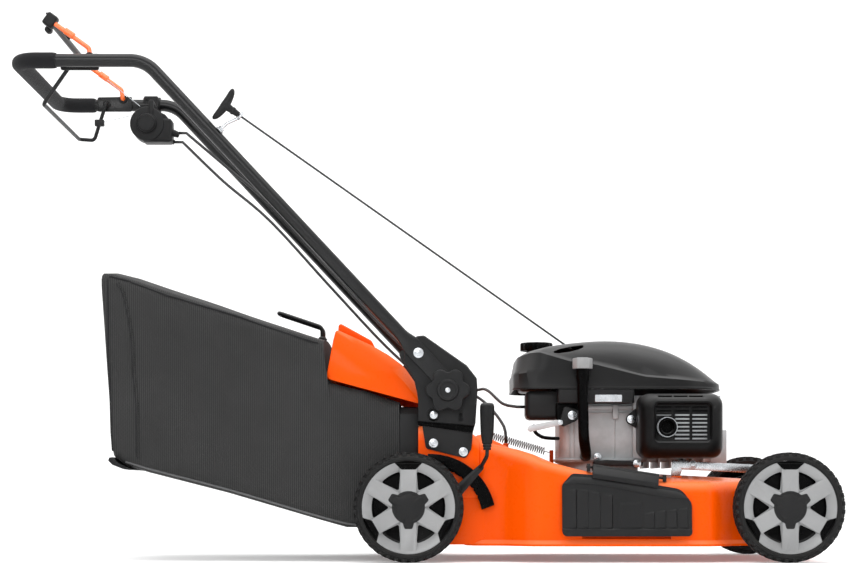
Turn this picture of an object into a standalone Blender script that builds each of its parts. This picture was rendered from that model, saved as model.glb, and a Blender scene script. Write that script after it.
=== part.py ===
"""Self-propelled walk-behind lawn mower, as an assembly of separate pieces.

Units are metres. +X is forward, +Y is the mower's left side and +Z is up.
The origin lies on the ground under the middle of the whole machine.
"""

import math

import bmesh
import bpy
from mathutils import Matrix, Vector

CLEAR = 0.0003            # air between two pieces that touch

# Wheels and the cranks that carry them
WHEEL_RADIUS = 0.105
TYRE_WIDTH = 0.050
HALF_TRACK = 0.285        # from the middle plane to the outer face of a tyre
RIM_RADIUS = 0.0885
RIM_BAND = 0.0195         # width of the sloped band round the rim
HUB_RADIUS = 0.020
CAP_RADIUS = 0.032
CAP_LOBE_REACH = 0.040
WINDOW_INNER = 0.040
SPOKE_WIDTH = 0.030
STUB_RADIUS = 0.0065
REAR_PIVOT_X = 0.0106
WHEELBASE = 0.7231
ARM_BACK = 0.0408         # wheel centre behind the crank's pivot
ARM_RISE = 0.0241         # wheel centre above the crank's pivot
CRANK_PLATE = 0.004
CRANK_PLATE_Y = 0.2222    # inner face of a crank's side plate
CROSS_ROD_RADIUS = 0.006
LINK_ARM = 0.019          # from a crank's pivot to the height link's pin
LINK_Y = 0.140
LINK_RADIUS = 0.004

# Deck
DECK_WALL = 0.0025
DECK_BOTTOM = 0.031
DECK_HALF_WIDTH = 0.262
DECK_WAIST = 0.212        # half width beside the wheels
DECK_REAR_X = 0.085
DECK_FRONT_X = 0.755
DECK_WIDE_REAR_X = 0.205
DECK_WIDE_FRONT_X = 0.545
DECK_NOSE_HALF = 0.205
DECK_REAR_TOP = 0.246
DECK_FRONT_TOP = 0.155
DECK_SHOULDER = 0.026
DECK_LIP = 0.007
TUNNEL_REAR_X = -0.012
TUNNEL_HALF = 0.215
TUNNEL_FLOOR = 0.125
TUNNEL_TOP = 0.262
MOUTH_HALF = 0.165        # clear half width of the rear chute
MOUTH_TOP = 0.238

# Engine
ENGINE_X = 0.350
ENGINE_SEAT = 0.172       # height of the deck's flat engine seat
ENGINE_SEAT_RADIUS = 0.090
BLOCK_HALF_LENGTH = 0.083
BLOCK_HALF_WIDTH = 0.090
BLOCK_TOP = 0.317
SHROUD_REAR_X = 0.174
SHROUD_FRONT_X = 0.597
SHROUD_HALF = 0.150
SHROUD_BOTTOM = 0.336
SHROUD_PEAK = 0.4365
SHROUD_WALL = 0.0025
CRANKSHAFT_RADIUS = 0.0125
FLYWHEEL_RADIUS = 0.085
HEAD_FRONT_X = 0.604
FUEL_CAP_RADIUS = 0.034
FUEL_X = 0.229
FUEL_Y = 0.060
FUEL_NECK_TOP = 0.4300
OIL_TUBE_RADIUS = 0.008
OIL_CAP_RADIUS = 0.020
OIL_CAP_Z = 0.374

# Blade and drive
BLADE_LENGTH = 0.506
BLADE_WIDTH = 0.058
BLADE_THICKNESS = 0.004
BLADE_Z = 0.055
DRIVE_PULLEY_RADIUS = 0.030
DRIVEN_PULLEY_RADIUS = 0.030
PULLEY_HEIGHT = 0.014
INPUT_SHAFT_RADIUS = 0.0055
BELT_Z = 0.111
BELT_WIDTH = 0.010
BELT_DEPTH = 0.008
GEARBOX_X = 0.048         # axis of the driven pulley
SHAFT_RADIUS = 0.008
PINION_RADIUS = 0.012

# Handle
TUBE_RADIUS = 0.0125
TUBE_Y = 0.230
HANDLE_RAKE = math.radians(46.9)
HANDLE_HEIGHT = 0.9615
HANDLE_CORNER = 0.065
GRIP_CORNER = 0.045
GRIP_RADIUS = 0.0155
GRIP_END_X = -0.706
FOLD_X = 0.0446
FOLD_Z = 0.3286
LOCK_X = -0.0115          # locking bolt of the handle
LOCK_Z = 0.4005
FLAT_THICKNESS = 0.008    # the tube's flattened lower end
FLAT_LENGTH = 0.144
BRACKET_THICKNESS = 0.004
COVER_THICKNESS = 0.012
KNOB_RADIUS = 0.043
KNOB_BOSS = 0.019
KNOB_DEPTH = 0.015

# Bails and controls
BAIL_RADIUS = 0.004
BAIL_Y = 0.2060
EAR_THICKNESS = 0.004
BRAKE_PIVOT_X = -0.680
BRAKE_PIVOT_Z = HANDLE_HEIGHT
BRAKE_REACH = 0.055       # how far the brake bail hangs back from its pivot
BRAKE_DROP = 0.079
DRIVE_PIVOT_X = -0.645
DRIVE_PIVOT_Z = HANDLE_HEIGHT + 0.0105
DRIVE_REACH = 0.077
DRIVE_RISE = 0.072
BOX_X = -0.585
BOX_Z = HANDLE_HEIGHT - 0.0535
BOX_RADIUS = 0.036
ROPE_RADIUS = 0.002
EYELET_X = -0.353
EYELET_Z = 0.855
TEE_LENGTH = 0.070
TEE_RADIUS = 0.009
EYELET_HALF = 0.003
TEE_STANDOFF = 0.036      # from the eyelet to the middle of the grip
ROPE_SLOT_X = 0.292
ROPE_SLOT_Y = -0.060
ROPE_SLOT_Z = 0.420
CABLE_RADIUS = 0.003

# Bag, flaps and small parts
BAG_HALF = 0.210
BAG_WALL = 0.0025
BAG_CORNER = 0.030
BAG_FRAME_DEPTH = 0.036
FRAME_HALF = 0.200
FRAME_TOP = 0.300
FLAP_PIVOT_X = 0.004
FLAP_PIVOT_Z = 0.316
FLAP_HALF = 0.200
FLAP_WALL = 0.003
SIDE_FLAP_X = (0.2602, 0.507)
SIDE_FLAP_WALL = 0.003
SIDE_HINGE_X = (0.317, 0.454)
SIDE_HINGE_Z = 0.1715
SIDE_HINGE_Y = -0.2460
SIDE_HINGE_RADIUS = 0.006
SPRING_TURNS = 24
SPRING_RADIUS = 0.0072
SPRING_WIRE = 0.0009
LEVER_THICKNESS = 0.004
LEVER_ROD = 0.0038
QUADRANT_RADIUS = 0.127
QUADRANT_WIDTH = 0.020

# Places that several pieces share
DECK_LEVEL_X = 0.46
SIDE_OUTLET_LOW = (0.300, -0.300, 0.045)
SIDE_OUTLET_HIGH = (0.470, -0.240, 0.125)
HANGER_Y = 0.2065
HANGER_BORE = 0.0118
BRACE_REAR_X = 0.484
BRACE_FRONT_X = 0.640
BRACE_Y = -0.130
BRACE_SEAT = 0.166
SPRING_Y = 0.060
SPRING_REAR = (0.1303, SPRING_Y, 0.2515)
SPRING_FRONT = (0.2560, SPRING_Y, 0.2150)
SHROUD_CREASE = 0.414
FUEL_NECK_RADIUS = 0.020
GUARD_X = (0.411, 0.586)
GUARD_Z = (0.200, 0.326)
GUARD_FACE_Y = -0.200
GUARD_SEAT_Y = -0.105
GUARD_TRAY_Y = -0.187
MUFFLER_FACE_Y = -0.181
OUTLET_X = 0.470
OUTLET_Z = 0.260
OUTLET_RADIUS = 0.020
OIL_CAP_X = 0.307
OIL_CAP_Y = -0.173
GEAR_CASE_RADIUS = 0.022
SIDE_HINGE_SLOPE = math.radians(8.7)
SIDE_FLAP_BOTTOM = 0.051
SIDE_FLAP_TOP_Y = -0.2650
SIDE_FLAP_LEAN = 0.09
KNOB_STUD = 0.004
FLAP_PIN = 0.004
BRACKET_OUTLINE = [
    (0.0025, 0.218), (0.079, 0.199), (0.090, 0.217), (0.093, 0.249), (0.098, 0.267), (0.102, 0.328), (0.1006, 0.353),
    (0.081, 0.378), (-0.001, 0.4355), (-0.015, 0.434), (-0.039, 0.410), (-0.050, 0.401), (-0.042, 0.3815),
    (-0.020, 0.349), (-0.011, 0.3116), (-0.005, 0.266),
]
COVER_OUTLINE = [
    (-0.004, 0.270), (0.095, 0.2675), (0.100, 0.328), (0.0986, 0.352), (0.080, 0.376), (-0.001, 0.4335), (-0.014, 0.432),
    (-0.037, 0.409), (-0.040, 0.3825), (-0.018, 0.349), (-0.009, 0.3116),
]
KNEE = (0.119, 0.203)     # where the height lever turns upright
GRIP_Z = (0.214, 0.304)
LEVER_GRIP_Y = -0.2705
LEVER_ANGLE = math.radians(46)
LEVER_BEND = 0.140
TUBE_BELOW_LOCK = 0.1088
BLADE_BOLT = 0.010
BOX_Y = 0.146
GUIDE_FOOT_X = -0.4025
LOOP_X = (-0.2070, -0.2950)    # carrying loop of the bag
LOOP_Z = (0.4660, 0.4956)
LOOP_HALF = 0.022
LOOP_RADIUS = 0.0042
LOOP_FOOT_Z = 0.4440
PINION_Y = 0.2325
STUB_END_Y = 0.268
DRIVE_CABLE_END = (0.163, -0.024, 0.2325)
FLAP_OUTLINE = [
    (-0.177, 0.351), (-0.012, 0.306), (0.012, 0.306), (0.014, 0.322), (-0.015, 0.3375), (-0.042, 0.380), (-0.097, 0.417),
    (-0.106, 0.432), (-0.167, 0.4665), (-0.175, 0.428), (-0.188, 0.370),
]
FLAP_RADII = [0.010, 0.004, 0.006, 0.006, 0.010, 0.020, 0.010, 0.006, 0.008, 0.020, 0.012]

# Places worked out from the sizes above
WHEEL_STEPS = 20
PIVOT_Z = WHEEL_RADIUS - ARM_RISE
ARM_LENGTH = math.hypot(ARM_BACK, ARM_RISE)
FRONT_PIVOT_X = REAR_PIVOT_X + WHEELBASE
WHEEL_X = (REAR_PIVOT_X - ARM_BACK, FRONT_PIVOT_X - ARM_BACK)
CROSSBAR_X = -(WHEEL_X[1] + WHEEL_RADIUS) + GRIP_RADIUS
LEVER_Y = CRANK_PLATE_Y + CRANK_PLATE + CLEAR
HUB_FACE_Y = LEVER_Y + LEVER_THICKNESS + CLEAR
TYRE_INNER_Y = HALF_TRACK - TYRE_WIDTH
BRACKET_Y = TUNNEL_HALF + CLEAR
COVER_Y = BRACKET_Y + BRACKET_THICKNESS + CLEAR
FLAT_Y = COVER_Y + COVER_THICKNESS + CLEAR
KNOB_Y = FLAT_Y + FLAT_THICKNESS + CLEAR
FRAME_FRONT_X = TUNNEL_REAR_X - CLEAR
FRAME_REAR_X = FRAME_FRONT_X - BAG_FRAME_DEPTH


def make_collection(name):
    made = bpy.data.collections.new(name)
    bpy.context.scene.collection.children.link(made)
    return made


for old in list(bpy.data.objects):
    bpy.data.objects.remove(old, do_unlink=True)
PARTS = make_collection("self_propelled_lawn_mower")
CUTTERS = make_collection("cutters")


def from_bmesh(name, bm):
    """A new mesh object in the parts collection, with its faces pointing out."""
    bmesh.ops.recalc_face_normals(bm, faces=bm.faces)
    mesh = bpy.data.meshes.new(name)
    bm.to_mesh(mesh)
    bm.free()
    obj = bpy.data.objects.new(name, mesh)
    PARTS.objects.link(obj)
    return obj


def as_mesh(obj):
    """The object as its modifiers or bevel leave it, welded into one mesh object."""
    bpy.context.view_layer.update()
    graph = bpy.context.evaluated_depsgraph_get()
    mesh = bpy.data.meshes.new_from_object(obj.evaluated_get(graph))
    mesh.transform(obj.matrix_world)
    name = obj.name
    bpy.data.objects.remove(obj, do_unlink=True)
    bm = bmesh.new()
    bm.from_mesh(mesh)
    bpy.data.meshes.remove(mesh)
    bmesh.ops.remove_doubles(bm, verts=bm.verts, dist=0.000005)
    return from_bmesh(name, bm)


def box(name, low, high):
    bm = bmesh.new()
    bmesh.ops.create_cube(bm, size=1.0)
    size = [high[i] - low[i] for i in range(3)]
    middle = [(high[i] + low[i]) / 2 for i in range(3)]
    bmesh.ops.scale(bm, vec=size, verts=bm.verts)
    bmesh.ops.translate(bm, vec=middle, verts=bm.verts)
    return from_bmesh(name, bm)


def rounded_box(name, low, high, radius, segments=2):
    made = box(name, low, high)
    bevel = made.modifiers.new("round", "BEVEL")
    bevel.width = radius
    bevel.segments = segments
    return as_mesh(made)


def rod(name, start, end, radius, sides=16, end_radius=None):
    """A straight round bar, or a cone where end_radius differs."""
    start, end = Vector(start), Vector(end)
    bm = bmesh.new()
    last = radius if end_radius is None else end_radius
    bmesh.ops.create_cone(
        bm, cap_ends=True, segments=sides, radius1=radius, radius2=last, depth=(end - start).length
    )
    turn = Vector((0, 0, 1)).rotation_difference(end - start).to_matrix().to_4x4()
    bmesh.ops.transform(bm, matrix=Matrix.Translation((start + end) / 2) @ turn, verts=bm.verts)
    return from_bmesh(name, bm)


def axis_turn(axis):
    """Rotation that lays an object's own Z along the world axis named."""
    if axis == "Y":
        return Matrix.Rotation(-math.pi / 2, 4, "X")
    if axis == "X":
        return Matrix.Rotation(math.pi / 2, 4, "Y")
    return Matrix.Identity(4)


def turned(name, profile, centre, axis="Z", steps=24, closed=False):
    """Spins (radius, height) points round the axis through centre."""
    mesh = bpy.data.meshes.new(name)
    points = [(radius, 0, height) for radius, height in profile]
    edges = [(i, i + 1) for i in range(len(points) - 1)]
    if closed:
        edges.append((len(points) - 1, 0))
    mesh.from_pydata(points, edges, [])
    made = bpy.data.objects.new(name, mesh)
    PARTS.objects.link(made)
    made.matrix_world = Matrix.Translation(centre) @ axis_turn(axis)
    screw = made.modifiers.new("turn", "SCREW")
    screw.steps = steps
    screw.render_steps = steps
    screw.use_merge_vertices = True
    screw.merge_threshold = 0.00001
    return as_mesh(made)


def tube(name, points, radius, resolution=2, closed=False):
    """A round bar along the points. resolution 0 gives 4 sides, 1 gives 6, 2 gives 8 and 4 gives 12."""
    curve = bpy.data.curves.new(name, "CURVE")
    curve.dimensions = "3D"
    curve.bevel_depth = radius
    curve.bevel_resolution = resolution
    curve.use_fill_caps = True
    spline = curve.splines.new("POLY")
    spline.points.add(len(points) - 1)
    for point, place in zip(spline.points, points):
        point.co = (*place, 1)
    spline.use_cyclic_u = closed
    made = bpy.data.objects.new(name, curve)
    PARTS.objects.link(made)
    return as_mesh(made)


def plate(name, outlines, low, high, axis="Y"):
    """A flat plate from one outline and any holes. Points are X,Z for axis Y, X,Y for Z and Y,Z for X."""
    curve = bpy.data.curves.new(name, "CURVE")
    curve.dimensions = "2D"
    curve.fill_mode = "BOTH"
    curve.extrude = (high - low) / 2
    for outline in outlines:
        spline = curve.splines.new("POLY")
        spline.points.add(len(outline) - 1)
        for point, place in zip(spline.points, outline):
            point.co = (place[0], place[1], 0, 1)
        spline.use_cyclic_u = True
    made = bpy.data.objects.new(name, curve)
    PARTS.objects.link(made)
    middle = (low + high) / 2
    if axis == "Y":
        made.matrix_world = Matrix.Translation((0, middle, 0)) @ Matrix.Rotation(math.pi / 2, 4, "X")
    elif axis == "X":
        turn = Matrix(((0, 0, 1, 0), (1, 0, 0, 0), (0, 1, 0, 0), (0, 0, 0, 1)))
        made.matrix_world = Matrix.Translation((middle, 0, 0)) @ turn
    else:
        made.matrix_world = Matrix.Translation((0, 0, middle))
    return as_mesh(made)


def circle(centre, radius, steps=20, start=0.0):
    turn = 2 * math.pi / steps
    return [
        (centre[0] + radius * math.cos(start + i * turn), centre[1] + radius * math.sin(start + i * turn))
        for i in range(steps)
    ]


def hull(points):
    """The smallest convex outline round some points, counter-clockwise."""
    ordered = sorted(set(points))

    def half(sequence):
        kept = []
        for point in sequence:
            while len(kept) > 1 and turns_right(kept[-2], kept[-1], point):
                kept.pop()
            kept.append(point)
        return kept[:-1]

    return half(ordered) + half(reversed(ordered))


def turns_right(a, b, c):
    return (b[0] - a[0]) * (c[1] - a[1]) - (b[1] - a[1]) * (c[0] - a[0]) <= 1e-12


def link_outline(*circles, steps=10):
    """Convex outline round several (x, z, radius) circles, as a crank or a lever has."""
    points = []
    for x, z, radius in circles:
        points += circle((x, z), radius, steps)
    return hull(points)


def rounded(corners, radii, steps=4):
    """A closed outline with each corner replaced by an arc of its radius."""
    made = []
    count = len(corners)
    for i, (corner, radius) in enumerate(zip(corners, radii)):
        here = Vector(corner)
        back = (Vector(corners[i - 1]) - here)
        ahead = (Vector(corners[(i + 1) % count]) - here)
        half_angle = back.angle(ahead) / 2
        trim = min(radius / math.tan(half_angle), 0.49 * back.length, 0.49 * ahead.length)
        if radius < 1e-6 or trim < 1e-6:
            made.append(tuple(here))
            continue
        made += arc_between(here, back.normalized(), ahead.normalized(), trim, half_angle, steps)
    return made


def arc_between(corner, back, ahead, trim, half_angle, steps):
    """Points of the arc that leaves one leg and joins the other at the same distance from a corner."""
    centre = corner + (back + ahead).normalized() * trim / math.cos(half_angle)
    first = corner + back * trim - centre
    last = corner + ahead * trim - centre
    sweep = first.angle(last)
    return [
        tuple(centre + (first * math.sin(sweep * (1 - t)) + last * math.sin(sweep * t)) / math.sin(sweep))
        for t in [i / steps for i in range(steps + 1)]
    ]


def bent(points, radius, steps=5):
    """An open route in space with its inner corners rounded."""
    made = [tuple(points[0])]
    for i in range(1, len(points) - 1):
        here = Vector(points[i])
        back = Vector(points[i - 1]) - here
        ahead = Vector(points[i + 1]) - here
        half_angle = back.angle(ahead) / 2
        trim = min(radius / math.tan(half_angle), 0.49 * back.length, 0.49 * ahead.length)
        made += arc_between(here, back.normalized(), ahead.normalized(), trim, half_angle, steps)
    made.append(tuple(points[-1]))
    return made


def smooth_route(points, spacing):
    """A smooth curve through hand-picked points, read at about equal steps."""
    picks = [Vector(p) for p in points]
    picks = [2 * picks[0] - picks[1]] + picks + [2 * picks[-1] - picks[-2]]
    made = []
    for i in range(1, len(picks) - 2):
        a, b, c, d = picks[i - 1 : i + 3]
        count = max(2, round((c - b).length / spacing))
        for k in range(count):
            t = k / count
            made.append(
                0.5 * (2 * b + (c - a) * t + (2 * a - 5 * b + 4 * c - d) * t * t
                       + (3 * b - a - 3 * c + d) * t * t * t)
            )
    return [tuple(p) for p in made] + [tuple(picks[-2])]


def loft(name, rings, cap_first=True, cap_last=True):
    """Skins rings of equally many points."""
    bm = bmesh.new()
    loops = [[bm.verts.new(point) for point in ring] for ring in rings]
    count = len(loops[0])
    for near, far in zip(loops, loops[1:]):
        for i in range(count):
            bm.faces.new((near[i], near[(i + 1) % count], far[(i + 1) % count], far[i]))
    if cap_first:
        bm.faces.new(loops[0][::-1])
    if cap_last:
        bm.faces.new(loops[-1])
    return from_bmesh(name, bm)


def divided(outline, longest):
    """The outline with its long straight sides cut into equal steps."""
    made = []
    for i, point in enumerate(outline):
        made.append(point)
        step = Vector(outline[(i + 1) % len(outline)]) - Vector(point)
        parts = math.ceil(step.length / longest)
        made += [tuple(Vector(point) + step * k / parts) for k in range(1, parts)]
    return made


def inset(outline, distance):
    """Moves a counter-clockwise outline inwards along its corners' normals."""
    made = []
    count = len(outline)
    for i in range(count):
        here = Vector(outline[i])
        ahead = (Vector(outline[(i + 1) % count]) - here).normalized()
        back = (here - Vector(outline[i - 1])).normalized()
        inward = (Vector((-ahead.y, ahead.x)) + Vector((-back.y, back.x))).normalized()
        made.append(tuple(here + inward * distance))
    return made


def boolean(base, other, operation):
    modifier = base.modifiers.new(operation.lower(), "BOOLEAN")
    modifier.operation = operation
    modifier.object = other
    PARTS.objects.unlink(other)
    CUTTERS.objects.link(other)
    other.hide_render = True
    other.display_type = "WIRE"


def join(base, *others):
    for other in others:
        boolean(base, other, "UNION")
    return base


def cut(base, *others):
    for other in others:
        boolean(base, other, "DIFFERENCE")
    return base


def mirrored(obj, name):
    """A copy on the other side of the machine's middle plane."""
    bpy.context.view_layer.update()
    graph = bpy.context.evaluated_depsgraph_get()
    mesh = bpy.data.meshes.new_from_object(obj.evaluated_get(graph))
    mesh.transform(Matrix.Scale(-1, 4, (0, 1, 0)))
    mesh.flip_normals()
    mesh.name = name
    made = bpy.data.objects.new(name, mesh)
    PARTS.objects.link(made)
    return made


def material(name, colour, roughness, metallic=0.0):
    made = bpy.data.materials.new(name)
    made.use_nodes = True
    shader = made.node_tree.nodes["Principled BSDF"]
    shader.inputs["Base Color"].default_value = (*colour, 1)
    shader.inputs["Roughness"].default_value = roughness
    shader.inputs["Metallic"].default_value = metallic
    return made


def finish(obj, paint):
    obj.data.materials.clear()
    obj.data.materials.append(paint)
    obj.data.shade_smooth()
    obj.data.set_sharp_from_angle(angle=math.radians(35))
    return obj


def pivot(name, place, children):
    """An empty on a joint's axis, with the pieces that turn or slide there parented to it."""
    empty = bpy.data.objects.new(name, None)
    empty.empty_display_size = 0.03
    empty.location = place
    PARTS.objects.link(empty)
    for child in children:
        child.parent = empty
        child.matrix_parent_inverse = Matrix.Translation(-Vector(place))
    return empty


def both(centre_y):
    return ((-1, "right", -centre_y), (1, "left", centre_y))


def deck_outline():
    """Plan of the deck's skirt: a waist beside the rear wheels, the cutting circle, then the nose."""
    half = [
        (DECK_REAR_X, DECK_WAIST),
        (DECK_WIDE_REAR_X - 0.055, DECK_WAIST),
        (DECK_WIDE_REAR_X, DECK_HALF_WIDTH),
        (DECK_WIDE_FRONT_X, DECK_HALF_WIDTH),
        (DECK_WIDE_FRONT_X + 0.055, DECK_NOSE_HALF),
        (DECK_FRONT_X, DECK_NOSE_HALF),
    ]
    radii = [0.040, 0.050, 0.050, 0.050, 0.050, 0.055]
    right = [(x, -y) for x, y in half]
    return divided(rounded(right + half[::-1], radii + radii[::-1], 2), 0.075)


def deck_top(x):
    """Height of the deck's edge: high at the chute, level past the engine."""
    share = min(max((x - DECK_REAR_X) / (DECK_LEVEL_X - DECK_REAR_X), 0.0), 1.0)
    return DECK_FRONT_TOP + (DECK_REAR_TOP - DECK_FRONT_TOP) * (1 - share) ** 1.7


def pan(name, outline, drop, bottom, lip):
    """The deck's domed body as a solid. drop lowers its top by the wall for the inside."""
    rings = []
    if lip:
        edge = inset(outline, -lip)
        rings.append([(x, y, bottom) for x, y in edge])
        rings.append([(x, y, bottom + DECK_LIP) for x, y in edge])
        rings.append([(x, y, bottom + 1.4 * DECK_LIP) for x, y in outline])
    else:
        rings.append([(x, y, bottom) for x, y in outline])
    for angle in (0, 45, 90):
        turn = math.radians(angle)
        level = inset(outline, DECK_SHOULDER * (1 - math.cos(turn)))
        fall = DECK_SHOULDER * (1 - math.sin(turn)) + drop
        rings.append([(x, y, deck_top(edge_x) - fall) for (x, y), (edge_x, _) in zip(level, outline)])
    seat = []
    for x, y in outline:
        angle = math.atan2(y, x - ENGINE_X)
        seat.append((
            ENGINE_X + ENGINE_SEAT_RADIUS * math.cos(angle),
            ENGINE_SEAT_RADIUS * math.sin(angle),
            ENGINE_SEAT - drop,
        ))
    rings.append(seat)
    return loft(name, rings)


def tunnel(name, shrink, rear_x):
    """The rear chute over the axle, as a solid that runs into the pan."""
    rings = []
    for x, top in ((rear_x, TUNNEL_TOP), (0.05, TUNNEL_TOP), (0.105, DECK_REAR_TOP - 0.008)):
        half = TUNNEL_HALF - shrink
        top -= shrink
        floor = TUNNEL_FLOOR - DECK_WALL + shrink
        corners = [(-half, floor), (half, floor), (half, top), (-half, top)]
        rings.append([(x, y, z) for y, z in rounded(corners, [0, 0, 0.03 - shrink, 0.03 - shrink], 3)])
    return loft(name, rings)


def make_deck():
    outline = deck_outline()
    deck = pan("deck", outline, 0, DECK_BOTTOM, DECK_LIP)
    inside = pan("deck_inside", inset(outline, DECK_WALL), DECK_WALL, DECK_BOTTOM - 0.02, 0)
    join(deck, tunnel("tunnel_body", 0, TUNNEL_REAR_X))
    cut(deck, inside)
    cut(deck, tunnel("tunnel_inside", DECK_WALL, TUNNEL_REAR_X + DECK_WALL))
    cutters = [
        box("chute_mouth", (TUNNEL_REAR_X - 0.02, -MOUTH_HALF, TUNNEL_FLOOR + 0.003), (0.02, MOUTH_HALF, MOUTH_TOP)),
        box("side_outlet", SIDE_OUTLET_LOW, SIDE_OUTLET_HIGH),
        rod("crank_hole", (ENGINE_X, 0, ENGINE_SEAT - 0.03), (ENGINE_X, 0, ENGINE_SEAT + 0.03), 0.022),
        box("belt_slot", (DECK_REAR_X - 0.012, -0.040, BELT_Z - 0.011), (DECK_REAR_X + 0.012, 0.040, BELT_Z + 0.0105)),
        box("link_slot", (DECK_REAR_X - 0.012, LINK_Y - 0.009, 0.0880), (DECK_REAR_X + 0.025, LINK_Y + 0.009, 0.1080)),
        rod("front_crank_hole", (FRONT_PIVOT_X, -0.3, PIVOT_Z), (FRONT_PIVOT_X, 0.3, PIVOT_Z), SHAFT_RADIUS + CLEAR),
    ]
    cut(deck, *cutters)
    for side, word, y in both(HANGER_Y):
        outline = link_outline((REAR_PIVOT_X, PIVOT_Z, 0.0165), (REAR_PIVOT_X - 0.012, TUNNEL_FLOOR - 0.006, 0.005),
                               (REAR_PIVOT_X + 0.020, TUNNEL_FLOOR - 0.006, 0.005))
        hole = circle((REAR_PIVOT_X, PIVOT_Z), HANGER_BORE)
        hanger = plate("hanger_" + word, [outline, hole], y - 0.0025, y + 0.0025)
        join(deck, hanger)
    for x in (BRACE_REAR_X, BRACE_FRONT_X):
        join(deck, box("brace_pad", (x, BRACE_Y - 0.010, DECK_FRONT_TOP - 0.010), (x + 0.020, BRACE_Y + 0.010, BRACE_SEAT)))
    rear_post = (SPRING_REAR[0] - 0.008, SPRING_REAR[2] + 0.005)
    front_post = (SPRING_FRONT[0], SPRING_FRONT[2] + 0.005)
    for (x, top), low in ((rear_post, 0.230), (front_post, 0.174)):
        join(deck, box("spring_post", (x, SPRING_Y - 0.004, low), (x + 0.008, SPRING_Y + 0.004, top)))
    x, y, z = DRIVE_CABLE_END
    join(deck, rod("cable_gland", (x, y, z - 0.026), (x, y, z - CLEAR), 0.0055, 12))
    return deck


def make_engine_block():
    low_x, high_x = ENGINE_X - BLOCK_HALF_LENGTH, ENGINE_X + BLOCK_HALF_LENGTH
    block = box("engine_block", (low_x, -BLOCK_HALF_WIDTH, ENGINE_SEAT + 0.018), (high_x, BLOCK_HALF_WIDTH, BLOCK_TOP))
    seat = ENGINE_SEAT + CLEAR
    join(block, rod("base", (ENGINE_X, 0, seat), (ENGINE_X, 0, seat + 0.025), ENGINE_SEAT_RADIUS - 0.008, 24))
    for i in range(4):
        x = ENGINE_X + 0.002 + 0.018 * i
        join(block, box("rib", (x, -BLOCK_HALF_WIDTH - 0.007, 0.200), (x + 0.005, BLOCK_HALF_WIDTH + 0.007, 0.305)))
    slab_top = SHROUD_BOTTOM - CLEAR
    join(block, box("slab", (ENGINE_X - 0.063, -SHROUD_HALF, BLOCK_TOP - 0.004), (ENGINE_X + 0.058, SHROUD_HALF, slab_top)))
    bore = CRANKSHAFT_RADIUS + CLEAR
    return cut(block, rod("crank_bore", (ENGINE_X, 0, 0.1), (ENGINE_X, 0, 0.4), bore, 24))


def make_cylinder_head():
    start = ENGINE_X + BLOCK_HALF_LENGTH + CLEAR
    barrel = box("cylinder_head", (start, -0.050, 0.195), (HEAD_FRONT_X - 0.030, 0.050, 0.275))
    for i in range(6):
        x = start + 0.0097 + 0.022 * i
        join(barrel, box("fin", (x, -0.075, 0.182), (x + 0.004, 0.075, 0.300)))
    return join(barrel, box("head_plate", (HEAD_FRONT_X - 0.032, -0.058, 0.192), (HEAD_FRONT_X, 0.058, 0.258)))


def shroud_top(x):
    """Height of the shroud's ridge line: highest over the flywheel, low at the front."""
    peak = 0.36
    if x > peak:
        return SHROUD_PEAK - 0.0895 * ((x - peak) / (SHROUD_FRONT_X - peak)) ** 2.2
    return SHROUD_PEAK - 0.030 * ((peak - x) / (peak - SHROUD_REAR_X)) ** 1.8


def shroud_rings(shrink, bottom):
    """Level by level from the rim: an upright band up to a falling crease, then the dome and its ridge."""
    middle = (SHROUD_REAR_X + SHROUD_FRONT_X) / 2
    half = (SHROUD_FRONT_X - SHROUD_REAR_X) / 2
    low, high = (SHROUD_REAR_X, -SHROUD_HALF), (SHROUD_FRONT_X, SHROUD_HALF)
    corners = [low, (high[0], low[1]), high, (low[0], high[1])]
    outline = divided(rounded(corners, [0.060, 0.075, 0.075, 0.060], 3), 0.090)
    rings = [[(x, y, bottom) for x, y in inset(outline, shrink)]]
    for share, distance in ((0.0, 0.003), (0.55, 0.016), (0.86, 0.042), (1.0, 0.085)):
        ring = []
        for edge_x, edge_y in outline:
            x = middle + (edge_x - middle) * (1 - (distance + shrink) / half)
            y = edge_y * (1 - (distance + shrink) / SHROUD_HALF)
            crease = min(SHROUD_CREASE - 0.185 * (edge_x - 0.2), shroud_top(edge_x) - 0.006)
            crease = max(crease, SHROUD_BOTTOM + 0.006)
            ring.append((x, y, crease + (shroud_top(x) - crease) * share - shrink))
        rings.append(ring)
    rings.append([(x, 0.0, z + 0.003) for x, y, z in rings[-1]])
    return rings


def make_engine_shroud():
    shroud = as_mesh(loft("engine_shroud", shroud_rings(0, SHROUD_BOTTOM), cap_last=False))
    inside = loft("shroud_inside", shroud_rings(SHROUD_WALL, SHROUD_BOTTOM - 0.01), cap_last=False)
    cut(shroud, as_mesh(inside))
    neck = rod("neck_hole", (FUEL_X, FUEL_Y, 0.38), (FUEL_X, FUEL_Y, 0.46), FUEL_NECK_RADIUS + CLEAR, 24)
    start, end, along = rope_line()
    hole = rod("rope_hole", end - along * 0.03, end + along * 0.03, ROPE_RADIUS + CLEAR, 12)
    return cut(shroud, neck, hole)


def make_fuel_tank():
    low = (SHROUD_REAR_X + 0.017, FUEL_Y - 0.052, SHROUD_BOTTOM + 0.002)
    high = (ENGINE_X - FLYWHEEL_RADIUS - 0.006, FUEL_Y + 0.052, SHROUD_BOTTOM + 0.054)
    tank = rounded_box("fuel_tank", low, high, 0.008)
    foot = high[2] - 0.002
    join(tank, rod("neck", (FUEL_X, FUEL_Y, foot), (FUEL_X, FUEL_Y, FUEL_NECK_TOP), FUEL_NECK_RADIUS, 24))
    return cut(tank, rod("neck_bore", (FUEL_X, FUEL_Y, foot - 0.01), (FUEL_X, FUEL_Y, 0.46), FUEL_NECK_RADIUS - 0.003, 24))


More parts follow.
